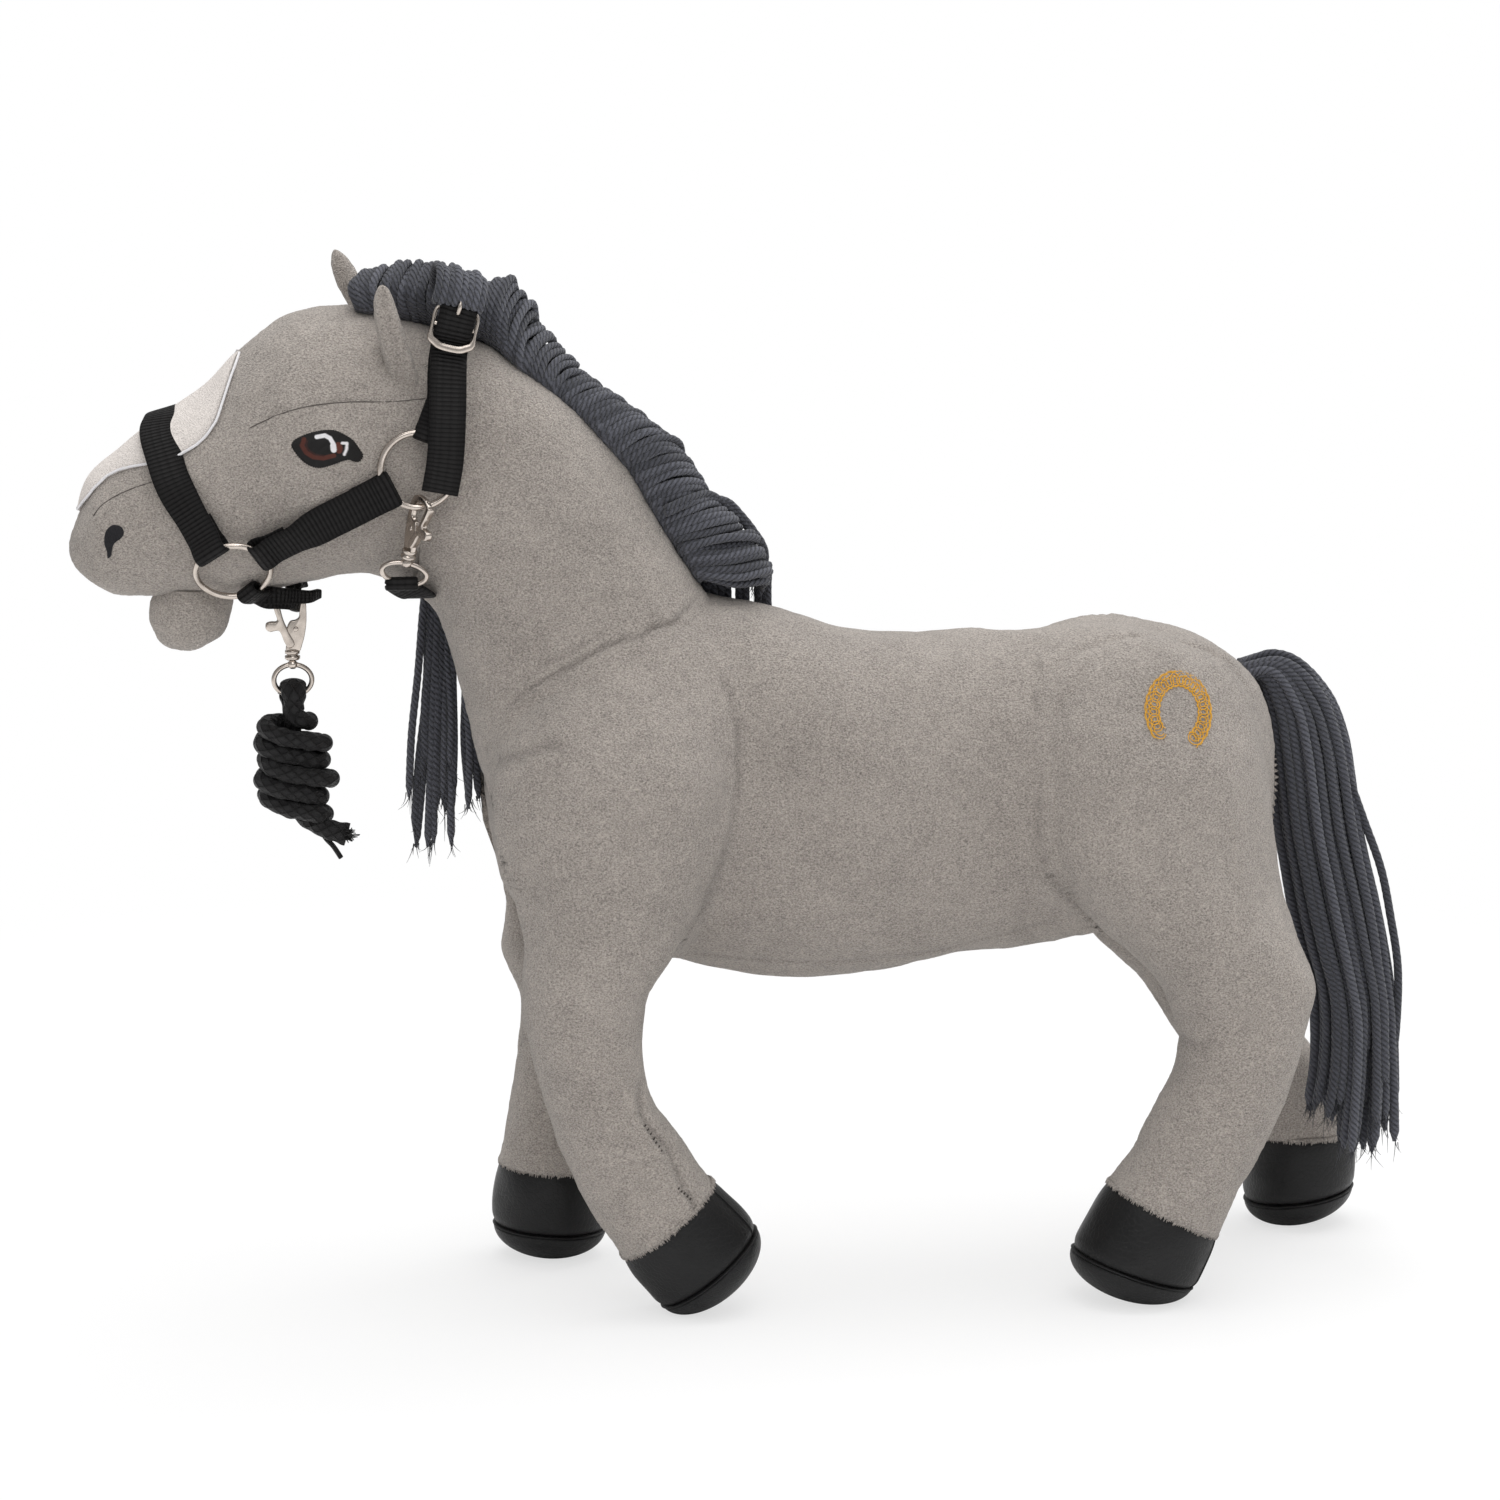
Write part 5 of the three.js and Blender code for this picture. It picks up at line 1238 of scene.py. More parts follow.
tailSetup = {
    "golden": 2.39996,  # the golden angle
    "low": (50, 74),  # most strands end between these heights
    "short": (74, 110),
    "inside": (58, 80),
    "sway": 2.2,
    "rootX": 221,
}


def tailStrands(count=56, seed=201):
    rng = np.random.default_rng(seed)
    lines = np.array(tailLines, float)[::-1]
    strands = []
    for k in range(count):
        # places in a disc that wind outwards by the golden angle
        reach = math.sqrt((k + 0.5) / count)
        a, b = reach * math.cos(k * tailSetup["golden"]), reach * math.sin(k * tailSetup["golden"])
        low = rng.uniform(*tailSetup["low" if rng.uniform() < 0.8 else "short"])
        outer = (a + 1) / 2
        if outer < 0.3:
            low = max(low, rng.uniform(*tailSetup["inside"]))
        heights = np.linspace(284 - 4 * (1 - outer), low, 12)
        wave = rng.uniform(-1, 1, 4)
        rows = []
        for i, z in enumerate(heights):
            inner = np.interp(z, lines[:, 0], lines[:, 1]) + 2.4
            far = np.interp(z, lines[:, 0], lines[:, 2]) - 2.4
            deep = np.interp(z, lines[:, 0], lines[:, 3]) - 2
            t = i / 11
            slow, fast = math.sin(3 * t + wave[1] * 3), math.sin(8 * t + 3 * wave[3])
            sway = tailSetup["sway"] * t * (wave[0] * slow + 0.5 * wave[2] * fast)
            rows.append((inner + outer * (far - inner) + sway, b * deep + sway * wave[3], z))
        rows[0] = (tailSetup["rootX"] + 5 * outer, 0.6 * b * 12, 271 + 9 * outer)
        rows.insert(1, (tailSetup["rootX"] + 10 + 13 * outer, 0.85 * b * 12, 274 + 9 * outer))
        strands.append(rows)
    return strands


tail = tailStrands()
tail.append([(224, -2, 279), (240, -4, 284.5), (250, -4, 281), (262, -6, 266), (275, -6, 228),
             (283.5, -5, 206), (292.1, -5, 183), (297.3, -4, 160.6), (301.2, -4, 137.8),
             (301.4, -4, 111.3), (299.3, -3, 84)])
makeStrands("tailYarn", tail, ["tail"], "tail", 203, 1.2)

# Mane: strands start in the seam on the left of the crest, run up over it and fall on the
# right side. Rows are the seam point, the point where the strand passes over the top, and
# how high it bows between them; all in the side view.
foreRows = [
    (-174.5, 447.5, -171, 460.5, 4), (-162, 445, -158, 463, 4), (-149, 441.5, -145, 463.6, 4),
    (-137, 439.5, -134, 463, 4), (-128, 439, -125, 457, 3),
]
crestRows = [
    (-123, 434, -118, 454.5, 4), (-112, 428.5, -104, 455, 4), (-104, 421.5, -93, 437, 4),
    (-93, 413, -80, 421, 4), (-85, 406.5, -68, 409.5, 4), (-76, 398.5, -55, 400, 5),
    (-67, 389, -43, 391, 6), (-60, 381, -34, 383.5, 6), (-53, 372, -27, 375, 6),
    (-47, 361.5, -22, 364, 5), (-42, 352.5, -18, 358, 4), (-37, 344.5, -8, 350.5, 3),
    (-32, 337, 2, 341, 2), (-27, 329.5, 6, 332, 1), (-24, 325, 8, 324, 0),
]
maneSetup = {"foreCount": 46, "crestCount": 118, "layers": 2, "layerDeep": 3.2, "throatZ": 328}


def sideMm(x, z):
    return float(bodySide(np.array([x * mm]), np.array([z * mm]))[0]) / mm


def maneStrand(row, rng, layer, fall):
    baseX, baseZ, topX, topZ, bow = row
    deep = maneSetup["layerDeep"] * layer
    topZ, topX = topZ - deep, topX - deep * 0.3
    baseY = -(min(sideMm(baseX, baseZ - 2), 17) + 0.5)
    mid = np.array([(baseX + topX) / 2, (baseZ + topZ) / 2])
    way = np.array([topX - baseX, topZ - baseZ])
    normal = np.array([-way[1], way[0]]) / np.linalg.norm(way)
    mid = mid + normal * bow
    rows = [(baseX + 1, baseY + 5, baseZ - 2), (baseX, baseY - 1.2, baseZ + 0.6),
            (mid[0], -12.5 + deep, mid[1]), (topX, 0, topZ)]
    rows += fall(topX, topZ, rng, deep)
    return rows


def longFall(midX, endX, endZ):
    # down the right side of the neck, past the throat at midX
    def fall(topX, topZ, rng, deep):
        rows = []
        heights = np.linspace(topZ - 8, endZ, 9)
        throat = maneSetup["throatZ"]
        for i, z in enumerate(heights):
            t = i / 8
            if z > throat:
                x = topX + (midX - topX) * ((topZ - z) / (topZ - throat)) ** 0.75
            else:
                x = midX + (endX - midX) * (throat - z) / (throat - endZ)
            x += rng.normal(0, 0.7)
            y = max(sideMm(x, z), 34 * min(1, (i + 1) / 2.0)) + 3.4 - 0.4 * deep
            if i > 4:
                y = max(y, rows[-1][1] - 2)
            rows.append((x, min(y, 47) if t > 0.35 else y, z))
        return rows
    return fall


def shortFall(drop, drift):
    # down the right side of the crest, close to the plush
    def fall(topX, topZ, rng, deep):
        rows = []
        for i in range(1, 6):
            t = i / 5
            x, z = topX + drift * t + rng.normal(0, 0.5), topZ - drop * t ** 0.9
            y = max(sideMm(x, z) + 3.2 - 0.4 * deep, 13 * min(1, t * 2.2))
            rows.append((x, y, z))
        return rows
    return fall


def maneStrands(rows, count, seed, fallOf):
    rng = np.random.default_rng(seed)
    table = np.array(rows, float)
    at = np.concatenate([[0], np.cumsum(np.hypot(*np.diff(table[:, :2], axis=0).T))])
    strands = []
    for k in range(count):
        layer = k % maneSetup["layers"]
        share = (k + rng.uniform(-0.35, 0.35)) / (count - 1)
        row = [float(v) for v in smooth(at, table, [np.clip(share, 0, 1) * at[-1]])[0]]
        row[2] += rng.normal(0, 1.1)
        row[3] += rng.normal(0, 0.9)
        row[4] += rng.normal(0, 0.8)
        strands.append(maneStrand(row, rng, layer, fallOf(row, rng)))
    return strands


def foreFall(_, rng):
    if rng.uniform() < 0.5:
        place = rng.uniform(0, 1)
        return longFall(-141.5 + 14 * place, -151 + 30 * place + rng.normal(0, 2), rng.uniform(197, 236))
    return shortFall(rng.uniform(26, 40), rng.uniform(-4, 4))


def crestFall(row, rng):
    if row[0] < -86 and rng.uniform() < 0.45:
        place = (row[0] + 123) / 37
        return longFall(-127 + 30 * place, -124 + 46 * place + rng.normal(0, 3), rng.uniform(203, 250))
    if row[0] > -40:
        return shortFall(rng.uniform(5, 13), rng.uniform(-3, 0))
    return shortFall(rng.uniform(45, 75), rng.uniform(4, 16))


makeStrands("forelockYarn", maneStrands(foreRows, maneSetup["foreCount"], 211, foreFall),
            ["forelock", "mane_fall"], "horse", 212)
crest = maneStrands(crestRows, maneSetup["crestCount"], 221, crestFall)
# at the withers some hang apart behind the back line, and two stand off as loops
rng = np.random.default_rng(231)
for x in (-25, -21.5, -18, -13, -9.5, -4, -1, 4.5, 9):
    drift = rng.uniform(1, 4)
    crest.append([(x - 3, 2, 322), (x, 5, 328), (x + 1, 11, 326)] + [
        (x + 1 + drift * t, 13 + 12 * t + rng.normal(0, 0.5), 322 - 56 * t) for t in (0.1, 0.35, 0.7, 1)])
for lift in (0, 2.2):  # the two loops
    crest.append([(-40, -17, 355 + lift), (-28, -12, 359 + lift), (-19, -4, 359.5 + lift),
                  (-10, 2, 357.5 - lift), (-2.5, 5, 350 - lift), (3, 8, 343 - lift), (8, 12, 335),
                  (8.5, 15, 322), (9, 17, 308), (10, 19, 296)])
makeStrands("maneYarn", crest, ["mane_crest", "mane_fall"], "horse", 222)
print("yarn is made")


# Halter. Everything here is in mm until a skin is made. A ring's frame has its middle and
# the two directions of its plane.
halter = {
    "webWidth": 16, "webThick": 1.7,
    "ringRadius": 16.2, "ringWire": 1.4,
    "cheekRingY": 47.5, "noseRingY": 33, "noseRingTilt": 0.7, "farShift": 26,
    "foldBack": 15,  # how far a strap's folded end runs back
}
xWay, yWay, zWay = np.eye(3)
webWidth, webThick = halter["webWidth"], halter["webThick"]
ringRadius, ringWire = halter["ringRadius"], halter["ringWire"]
degrees = math.radians


def unit(vector):
    vector = np.asarray(vector, float)
    return vector / np.linalg.norm(vector)


def headAt(p, q, y=0.0):
    return np.array([headSizes["x"] + p * headSizes["length"], y, headSizes["z"] + q * headSizes["height"]])


def ringFrame(middle, side, away, tilt, shift=0.0):
    return {
        "middle": np.array([middle[0] + shift, side * away, middle[2]]),
        "first": xWay,
        "second": np.array([0, side * math.sin(tilt), math.cos(tilt)]),
        "out": np.array([0, side * math.cos(tilt), -math.sin(tilt)]),
    }


def ringPoint(ring, turn, radius=ringRadius):
    return ring["middle"] + radius * (math.cos(turn) * ring["first"] + math.sin(turn) * ring["second"])


cheekMiddle, noseMiddle = headAt(0.918, 0.47), headAt(0.43, 0.125)
cheekRing = {
    "left": ringFrame(cheekMiddle, left, halter["cheekRingY"], 0),
    "right": ringFrame(cheekMiddle, right, halter["cheekRingY"], 0, halter["farShift"] / 2),
}
noseRing = {
    "left": ringFrame(noseMiddle, left, halter["noseRingY"], halter["noseRingTilt"]),
    "right": ringFrame(noseMiddle, right, halter["noseRingY"], halter["noseRingTilt"], halter["farShift"]),
}


def facingOut(skin):
    # Faces turn round when the volume they enclose comes out negative
    points, faces, uvs = skin
    volume = 0.0
    for part in faces:
        a = points[part[:, 0]]
        for k in range(1, part.shape[1] - 1):
            volume += np.sum(a * np.cross(points[part[:, k]], points[part[:, k + 1]]))
    if volume < 0:
        faces, uvs = [part[:, ::-1] for part in faces], [part[:, ::-1] for part in uvs]
    return points, faces, uvs


def loopSkin(grid):
    # Rings of points along a closed line; both ways close
    rows, columns, _ = grid.shape
    r, c = np.meshgrid(np.arange(rows), np.arange(columns), indexing="ij")
    r1, c1 = (r + 1) % rows, (c + 1) % columns
    quads = np.stack([r * columns + c, r * columns + c1, r1 * columns + c1, r1 * columns + c], -1)
    corner = [(c / columns, r / rows), ((c + 1) / columns, r / rows),
              ((c + 1) / columns, (r + 1) / rows), (c / columns, (r + 1) / rows)]
    uv = np.stack([np.stack(pair, -1) for pair in corner], -2).reshape(-1, 4, 2)
    return facingOut((grid.reshape(-1, 3) * mm, [quads.reshape(-1, 4)], [uv]))


def wireLoop(middle, first, second, firstRadius, secondRadius, wire, steps=110, sides=16):
    turn = around(steps)
    line = middle + circle(turn, firstRadius * first, secondRadius * second)
    away = units(circle(turn, first / firstRadius, second / secondRadius))
    return loopSkin(line[:, None] + wire * circle(around(sides), away[:, None], np.cross(first, second)))


def makeMetal(name, skin, node, body="horse"):
    makePiece(name, skin, "metal", body, [node])


for side in ("left", "right"):
    for name, rings in (("cheek_ring_", cheekRing), ("nose_ring_", noseRing)):
        ring = rings[side]
        skin = wireLoop(ring["middle"], ring["first"], ring["second"], ringRadius, ringRadius, ringWire)
        makeMetal(titled(name) + side.title(), skin, name + side)


# A strap: a flat band with rounded edges along a smooth line. Its rows are a place and the
# direction across; width and thickness may change along it. U and V are in metres.
def strapSkin(rows, width=webWidth, thick=webThick, sides=20, step=1.0, wave=0.0, seed=5):
    places = np.array([row[0] for row in rows], float)
    acrosses = np.array([unit(row[1]) for row in rows])
    sizes = np.array([(*row[2:], *(width, thick)[len(row) - 2:]) for row in rows], float)
    at = runAlong(places)
    fine = np.linspace(0, at[-1], max(int(at[-1] / step), 8))
    line, across = smooth(at, places, fine), level(at, acrosses, fine)
    size = level(at, sizes, fine)
    tangent = units(np.gradient(line, axis=0))
    across = units(across - tangent * (across * tangent).sum(1)[:, None])
    face = np.cross(tangent, across)
    turn = around(sides, 0.5)
    flatC, flatS = bent(np.cos(turn), 0.28), bent(np.sin(turn), 0.55)
    if wave:
        rng = np.random.default_rng(seed)
        ripple = sum(rng.uniform(-1, 1) * np.sin(fine / rng.uniform(9, 24) * 2 * np.pi + rng.uniform(0, 6))
                     for _ in range(3))
        line = line + face * (ripple * wave)[:, None]
    grid = ringsOf(line, (size[:, 0] / 2, flatC, across), (size[:, 1] / 2, flatS, face))
    points, faces, uvs = gridSkin(grid * mm, rowUv=runAlong(line) * mm)
    return points, faces, [part * np.array([2 * (width + thick) * mm, 1.0]) for part in uvs]


def foldRows(ring, turn, toward, width=webWidth, back=None, layer=None):
    # A strap's end folded round a ring: back on the inner side, round the wire, out again
    return foldAt(ringPoint(ring, turn, ringRadius - 0.8), toward, ring["out"], width, ringWire, back, layer)


def foldAt(place, toward, out, width=webWidth, hold=ringWire, back=None, layer=None):
    back = halter["foldBack"] if back is None else back
    way = toward - place
    out = unit(out - way * np.dot(out, way) / np.dot(way, way))
    way = unit(way)
    across = np.cross(way, out)
    layer = webThick / 2 + 0.1 if layer is None else layer
    turnRadius = hold + webThick / 2 + 0.15
    shape = [(back, -layer), (back * 0.6, -layer), (5.5, -layer * 1.25), (2.6, -turnRadius * 0.92)]
    shape += [(-turnRadius * math.sin(a), -turnRadius * math.cos(a))
              for a in np.linspace(0.35, np.pi - 0.35, 6)]
    shape += [(2.6, turnRadius * 0.92), (5.5, layer * 1.25), (back * 0.6, layer), (back, layer * 1.05)]
    return [(place + way * a + out * b, across, width) for a, b in shape]


def makeStrap(name, rows, node, **settings):
    makePiece(name, strapSkin(rows, **settings), "webbing", "horse", [node])


# Noseband: over the nose on the head's own sections, each point pushed out from them
def headOutside(p, turn, off):
    count = len(headStations[2]) - 1
    point = headPoint(np.array([p * count]), np.array([turn]))[0] / mm
    index = int(p * count)
    up, h, w = headStations[1][index], headStations[2][index], headStations[3][index]
    normal = unit(up * math.cos(turn) / h + yWay * math.sin(turn) / w)
    return point + normal * off


nosebandSetup = {"left": 127, "right": 117, "row": 0.4, "farRow": 0.06, "reach": 72, "off": 2.4, "steps": 15}
bandTurns = np.radians(np.linspace(-nosebandSetup["reach"], nosebandSetup["reach"], nosebandSetup["steps"]))
bandPlaces, bandOut = [], []
for turn in bandTurns:
    p = nosebandSetup["row"] + max(0, turn / bandTurns[-1]) * nosebandSetup["farRow"]
    p += 0.015 * math.exp(-(turn / 0.3) ** 2)
    place = headOutside(p, turn, nosebandSetup["off"])
    bandPlaces.append(place)
    bandOut.append(unit(headOutside(p, turn, nosebandSetup["off"] + 1) - place))
bandWays = np.gradient(np.array(bandPlaces), axis=0)
bandRows = [(place, np.cross(way, out)) for place, way, out in zip(bandPlaces, bandWays, bandOut)]


def sameWay(rows, guide):
    # Turns each row's direction across to the guide's side
    return [(row[0], row[1] * (1 if np.dot(row[1], guide) > 0 else -1), *row[2:]) for row in rows]


bandStart = foldRows(noseRing["left"], degrees(nosebandSetup["left"]), bandPlaces[1])
bandEnd = foldRows(noseRing["right"], degrees(nosebandSetup["right"]), bandPlaces[-2])
bandRows = sameWay(bandStart, bandRows[0][1]) + bandRows[1:-1] + sameWay(bandEnd[::-1], bandRows[-1][1])
makeStrap("nosebandStrap", bandRows, "noseband")

# Cheek straps, from the nose rings to the cheek rings
cheekTurns = {"left": (42, 214), "right": (50, 208)}
for side, sign in (("left", left), ("right", right)):
    first, last = [degrees(value) for value in cheekTurns[side]]
    start, end = ringPoint(noseRing[side], first), ringPoint(cheekRing[side], last)
    way = unit(end - start)
    flat = np.array([-way[2], 0, way[0]])
    middle = (start + end) / 2
    middle[1] = sign * (abs(middle[1]) + 1.6)
    rows = sameWay(foldRows(noseRing[side], first, middle), flat)
    rows += [(middle, flat)]
    rows += sameWay(foldRows(cheekRing[side], last, middle)[::-1], flat)
    makeStrap("cheekStrap" + side.title(), rows, "cheek_strap_" + side)

# Crown straps lie in a leaning plane over the left cheek ring. Up is the way along it.
lean = unit([0.25, 0, 1])
leanAcross = np.array([lean[2], 0, -lean[0]])
buckle = {"up": 62.5, "y": 42.5, "width": 22.5, "height": 20.5, "bar": 1.1, "fromTop": 8.6}
loopDepth = 7
flatUp = ringRadius + loopDepth
slope = (halter["cheekRingY"] - buckle["y"]) / (buckle["up"] - flatUp)


def crownAt(up, y):
    place = cheekMiddle + lean * up
    return np.array([place[0], y, place[2]])


def hungBack(rows, amount):
    # Each row moves back by an amount that fades out up to the buckle
    top = crownAt(buckle["up"], 0)[2]
    moved = []
    for row in rows:
        share = 1 - ease(crownAt(-10, 0)[2], top, row[0][2])
        moved.append((row[0] + xWay * (1.4 + amount * share), *row[1:]))
    return moved


def outerAt(up, out):
    return crownAt(up, -(halter["cheekRingY"] - slope * max(0, up - flatUp) + out))


topBar = buckle["up"] + buckle["height"] / 2 - buckle["bar"]
lowBar = buckle["up"] - buckle["height"] / 2 + buckle["bar"]
midBar = topBar - buckle["fromTop"]
underFrom, underTo = lowBar - 2.5 * buckle["bar"], lowBar + 1.5 * buckle["bar"]
overBar = buckle["bar"] + 0.6 + webThick / 2
layerStep = webThick + 0.3
loopOver = 3.2 + 0.3 + webThick / 2
ringTop = math.pi / 2 - math.asin(lean[0])

innerFold = foldRows(cheekRing["left"], degrees(66), outerAt(ringRadius + webWidth, 0) + xWay * 5)
innerPlaces = [  # up, out
    (ringRadius + 26, -webThick / 2), (lowBar - loopDepth, -overBar - layerStep),
    (underFrom, -overBar - 1.25 * layerStep), (underTo, -overBar - 1.25 * layerStep),
    (midBar - overBar, -overBar), (midBar + 1.5, -overBar + 1.2)]
innerRows = sameWay(innerFold, leanAcross)
innerRows += hungBack([(outerAt(*one), leanAcross) for one in innerPlaces], 5.5)
makeStrap("buckleStrap", innerRows, "buckle_strap")

crownTop = 78
crownShares = [  # of the crown's height and of the head's width
    (0.948, -0.43), (0.957, -0.33), (0.962, -0.13), (0.962, 0.13), (0.958, 0.3), (0.94, 0.41),
    (0.875, 0.466)]
outerPlaces = [  # up, out
    (-10, loopOver + 0.3), (2, loopOver), (ringRadius + loopDepth, loopOver), (lowBar - loopDepth, 0.2),
    (underFrom, -overBar), (underTo, -overBar), (midBar - 1.2 * buckle["bar"], overBar),
    (midBar + 4, overBar + 0.9), (topBar + buckle["bar"], overBar - 0.6)]
outerRows = hungBack([(outerAt(*one), leanAcross) for one in outerPlaces], 10)
outerRows += [(crownAt(up * crownTop, across * headSizes["width"]), leanAcross) for up, across in crownShares]
sidePlace = crownAt(0.487 * crownTop, 0.5 * headSizes["width"]) + xWay * halter["farShift"] / 4
outerRows += [(sidePlace, leanAcross)]
outerRows += sameWay(foldRows(cheekRing["right"], ringTop, sidePlace)[::-1], leanAcross)
makeStrap("crownStrap", outerRows, "crown_strap")
print("straps are made")


# Flat metal parts: an outline in the plane of its frame, smoothed, with rounded edges
def closedSmooth(corners, count):
    corners = np.array(corners, float)
    ring = np.concatenate([corners[-2:], corners, corners[:3]])
    at = np.concatenate([[0], np.cumsum(np.linalg.norm(np.diff(ring, axis=0), axis=1) ** 0.6)])
    where = np.linspace(at[2], at[len(corners) + 2], count, endpoint=False)
    line = smooth(at, ring, where)
    closed = np.vstack([line, line[:1]])
    return pointsAt(closed, np.linspace(0, runAlong(closed)[-1], count, endpoint=False))


def plateSkin(line, thick, bevel, origin, first, second, out):
    # Rows of the outline from one face round the rounded edge to the other
    ahead, behind = np.roll(line, -1, axis=0), np.roll(line, 1, axis=0)
    tangent = units(ahead - behind)
    inward = np.stack([-tangent[:, 1], tangent[:, 0]], axis=1)
    area = np.sum(line[:, 0] * ahead[:, 1] - line[:, 1] * ahead[:, 0])
    inward = inward if area > 0 else -inward
    steps = np.linspace(0, np.pi / 2, 5)
    rows = [(bevel * (1 - math.sin(a)), half + bevel * (1 - math.cos(a)) * sign)
            for half, sign, turns in ((-thick / 2, 1, steps), (thick / 2, -1, steps[::-1])) for a in turns]
    grid = np.array([[origin + first * p[0] + second * p[1] + out * depth for p in line + inward * inset]
                     for inset, depth in rows]) * mm
    points, faces, uvs = gridSkin(grid, caps=False)
    count, last = len(line), (len(rows) - 1) * len(line)
    ends = [np.arange(count)[None, ::-1], (last + np.arange(count))[None, :]]
    quad = list(faces[0][0])
    if quad[(quad.index(0) + 1) % 4] != 1:
        ends = [end[:, ::-1] for end in ends]
    faces += ends
    uvs += [np.zeros((1, count, 2)), np.zeros((1, count, 2))]
    return facingOut((points, faces, uvs))


def barSkin(start, end, radius, sides=24, rounding=0.35):
    # A turned bar with rounded ends; radius may be a list of (share, radius)
    start, end = np.asarray(start, float), np.asarray(end, float)
    way = unit(end - start)
    length = np.linalg.norm(end - start)
    profile = [(0, radius), (1, radius)] if np.isscalar(radius) else radius
    rows = []
    for k, (share, r) in enumerate(profile):
        if k == 0:
            rows += [(share * length, r - rounding), (share * length + rounding * 0.3, r - rounding * 0.3),
                     (share * length + rounding, r)]
        elif k == len(profile) - 1:
            rows += [(share * length - rounding, r), (share * length - rounding * 0.3, r - rounding * 0.3),
                     (share * length, r - rounding)]
        else:
            rows.append((share * length, r))
    helper = zWay if abs(way[2]) < 0.9 else xWay
    first = unit(np.cross(way, helper))
    ring = circle(around(sides), first, np.cross(way, first))
    return gridSkin(np.array([start + way * a + ring * r for a, r in rows]) * mm)


# Buckle frame: a band swept round its outline; the low bar is broad and bowed
buckleRise = unit(outerAt(topBar, 0) - outerAt(buckle["up"], 0))
buckleOut = np.cross(leanAcross, buckleRise)
buckleMiddle = outerAt(buckle["up"], 0) + xWay * 1.4


def buckleFrameSkin(steps=200, sides=16):
    wide, high = buckle["width"] / 2 - 1.9, buckle["height"] / 2 - 2.4
    # each corner is counted from the outline's own corner, and the left half mirrors the right
    upper = [(0, high), (wide - 2.6, high), (wide - 0.7, high - 0.6), (wide, high - 2.5), (wide, 0)]
    lower = [(wide, -high + 4), (wide - 0.6, -high + 1.7), (wide - 2.6, -high + 0.4), (wide / 2, -high - 0.7),
             (0, -high - 1.1)]
    mirrored = [(-x, z) for x, z in (upper + lower)[::-1]]
    corners = mirrored[6:9] + upper + lower + mirrored[1:6]
    line = closedSmooth(corners, steps)
    tangent = units(np.roll(line, -1, axis=0) - np.roll(line, 1, axis=0))
    outward = np.stack([tangent[:, 1], -tangent[:, 0]], axis=1)
    outward *= np.sign(np.sum(outward * line, axis=1).mean())
    low = ease(-high + 6, -high + 0.5, line[:, 1])
    halfBand = 0.8 + 0.95 * low
    turn = around(sides)
    c, s = bent(np.cos(turn), 0.7), bent(np.sin(turn), 0.7)
    flat = ringsOf(line, (halfBand, c, outward))
    grid = (buckleMiddle + flat[..., :1] * leanAcross + flat[..., 1:] * buckleRise
            + (1.15 * s)[None, :, None] * buckleOut)
    return loopSkin(grid)


barSpan = buckle["width"] / 2 - 2.2
midMiddle = outerAt(midBar, 0) + xWay * 1.4
frameSkin = joinSkins([buckleFrameSkin(),
                       barSkin(midMiddle - leanAcross * barSpan, midMiddle + leanAcross * barSpan, 1.05)])
makeMetal("buckleFrame", frameSkin, "buckle_frame")
tonguePlaces = [(midBar - 0.4, 1.5), (midBar + 1.8, 2.3), (midBar + 5, 2.2), (topBar - 2.2, 4.2),
                (topBar - 0.6, 5.2), (topBar + 1.6, 5.6), (topBar + 3.4, 5.2)]
tonguePath = resample((np.array([outerAt(*one) for one in tonguePlaces]) + xWay * 1.4) * mm, 0.4 * mm)
tongueShare = np.linspace(0, 1, len(tonguePath))
tongueSkin = tubeSkin(tonguePath, 1.05 * mm * np.sqrt(np.clip(1 - tongueShare ** 9, 0.03, 1)), 16)
eyeSkin = wireLoop(midMiddle, buckleRise, buckleOut, 1.75, 1.75, 0.65, 40, 12)
makeMetal("buckleTongue", joinSkins([tongueSkin, eyeSkin]), "buckle_tongue", "buckle_tongue")

# Chin strap: bunched where it leaves the rings and rolled where the snap hooks on
snapShift = 3.6  # the snap hangs this much further back than the strap's middle
chinTurns = (-63, -78)
leadPivot = headAt(0.5767, -0.0349, -3) + xWay * snapShift
chinTo = ringPoint(noseRing["right"], degrees(chinTurns[1]))
chinDown = unit([0.25, 0.2, 1])


def chinRow(start, x, y, z, width, thick):
    return start + np.array([x, y, z]), chinDown, width, thick


nearMid = leadPivot + np.array([-9.5, -11.5, 5.2])
chinRows = sameWay(foldRows(noseRing["left"], degrees(chinTurns[0]), nearMid, 10, back=7, layer=0.95),
                   chinDown)
chinRows += [(nearMid, chinDown, 8.2, 3.2), chinRow(leadPivot, -2.5, -7, 3.6, 7.4, 3.4),
             chinRow(leadPivot, 0.6, -1.5, 0.8, 4.8, 4.2), chinRow(leadPivot, 0, 4.6, 0, 4.8, 4.2)]
farMid = (chinTo + leadPivot) / 2 + np.array([1.5, 2, 2.2])
chinRows += [(farMid, chinDown, 7.5, 3.0)]
chinRows += sameWay(foldRows(noseRing["right"], degrees(chinTurns[1]), farMid, 10, back=7,
                             layer=0.95)[::-1], chinDown)
makeStrap("chinStrap", chinRows, "chin_strap", wave=0.3)
# its outer layer passes in front of the snap
frontRows = [chinRow(nearMid, -5, -3, 2.6, 8, 1.6), chinRow(nearMid, 0.5, -2.6, 2.2, 7.6, 2),
             chinRow(leadPivot, 0.5, -7.6, 5.8, 6.6, 2.2), chinRow(leadPivot, 6.5, -4.5, 5.2, 5.6, 2.4),
             chinRow(leadPivot, 11, 1.5, 5.6, 4.2, 3)]
makeStrap("chinStrapFront", frontRows, "chin_strap", wave=0.25, seed=8)


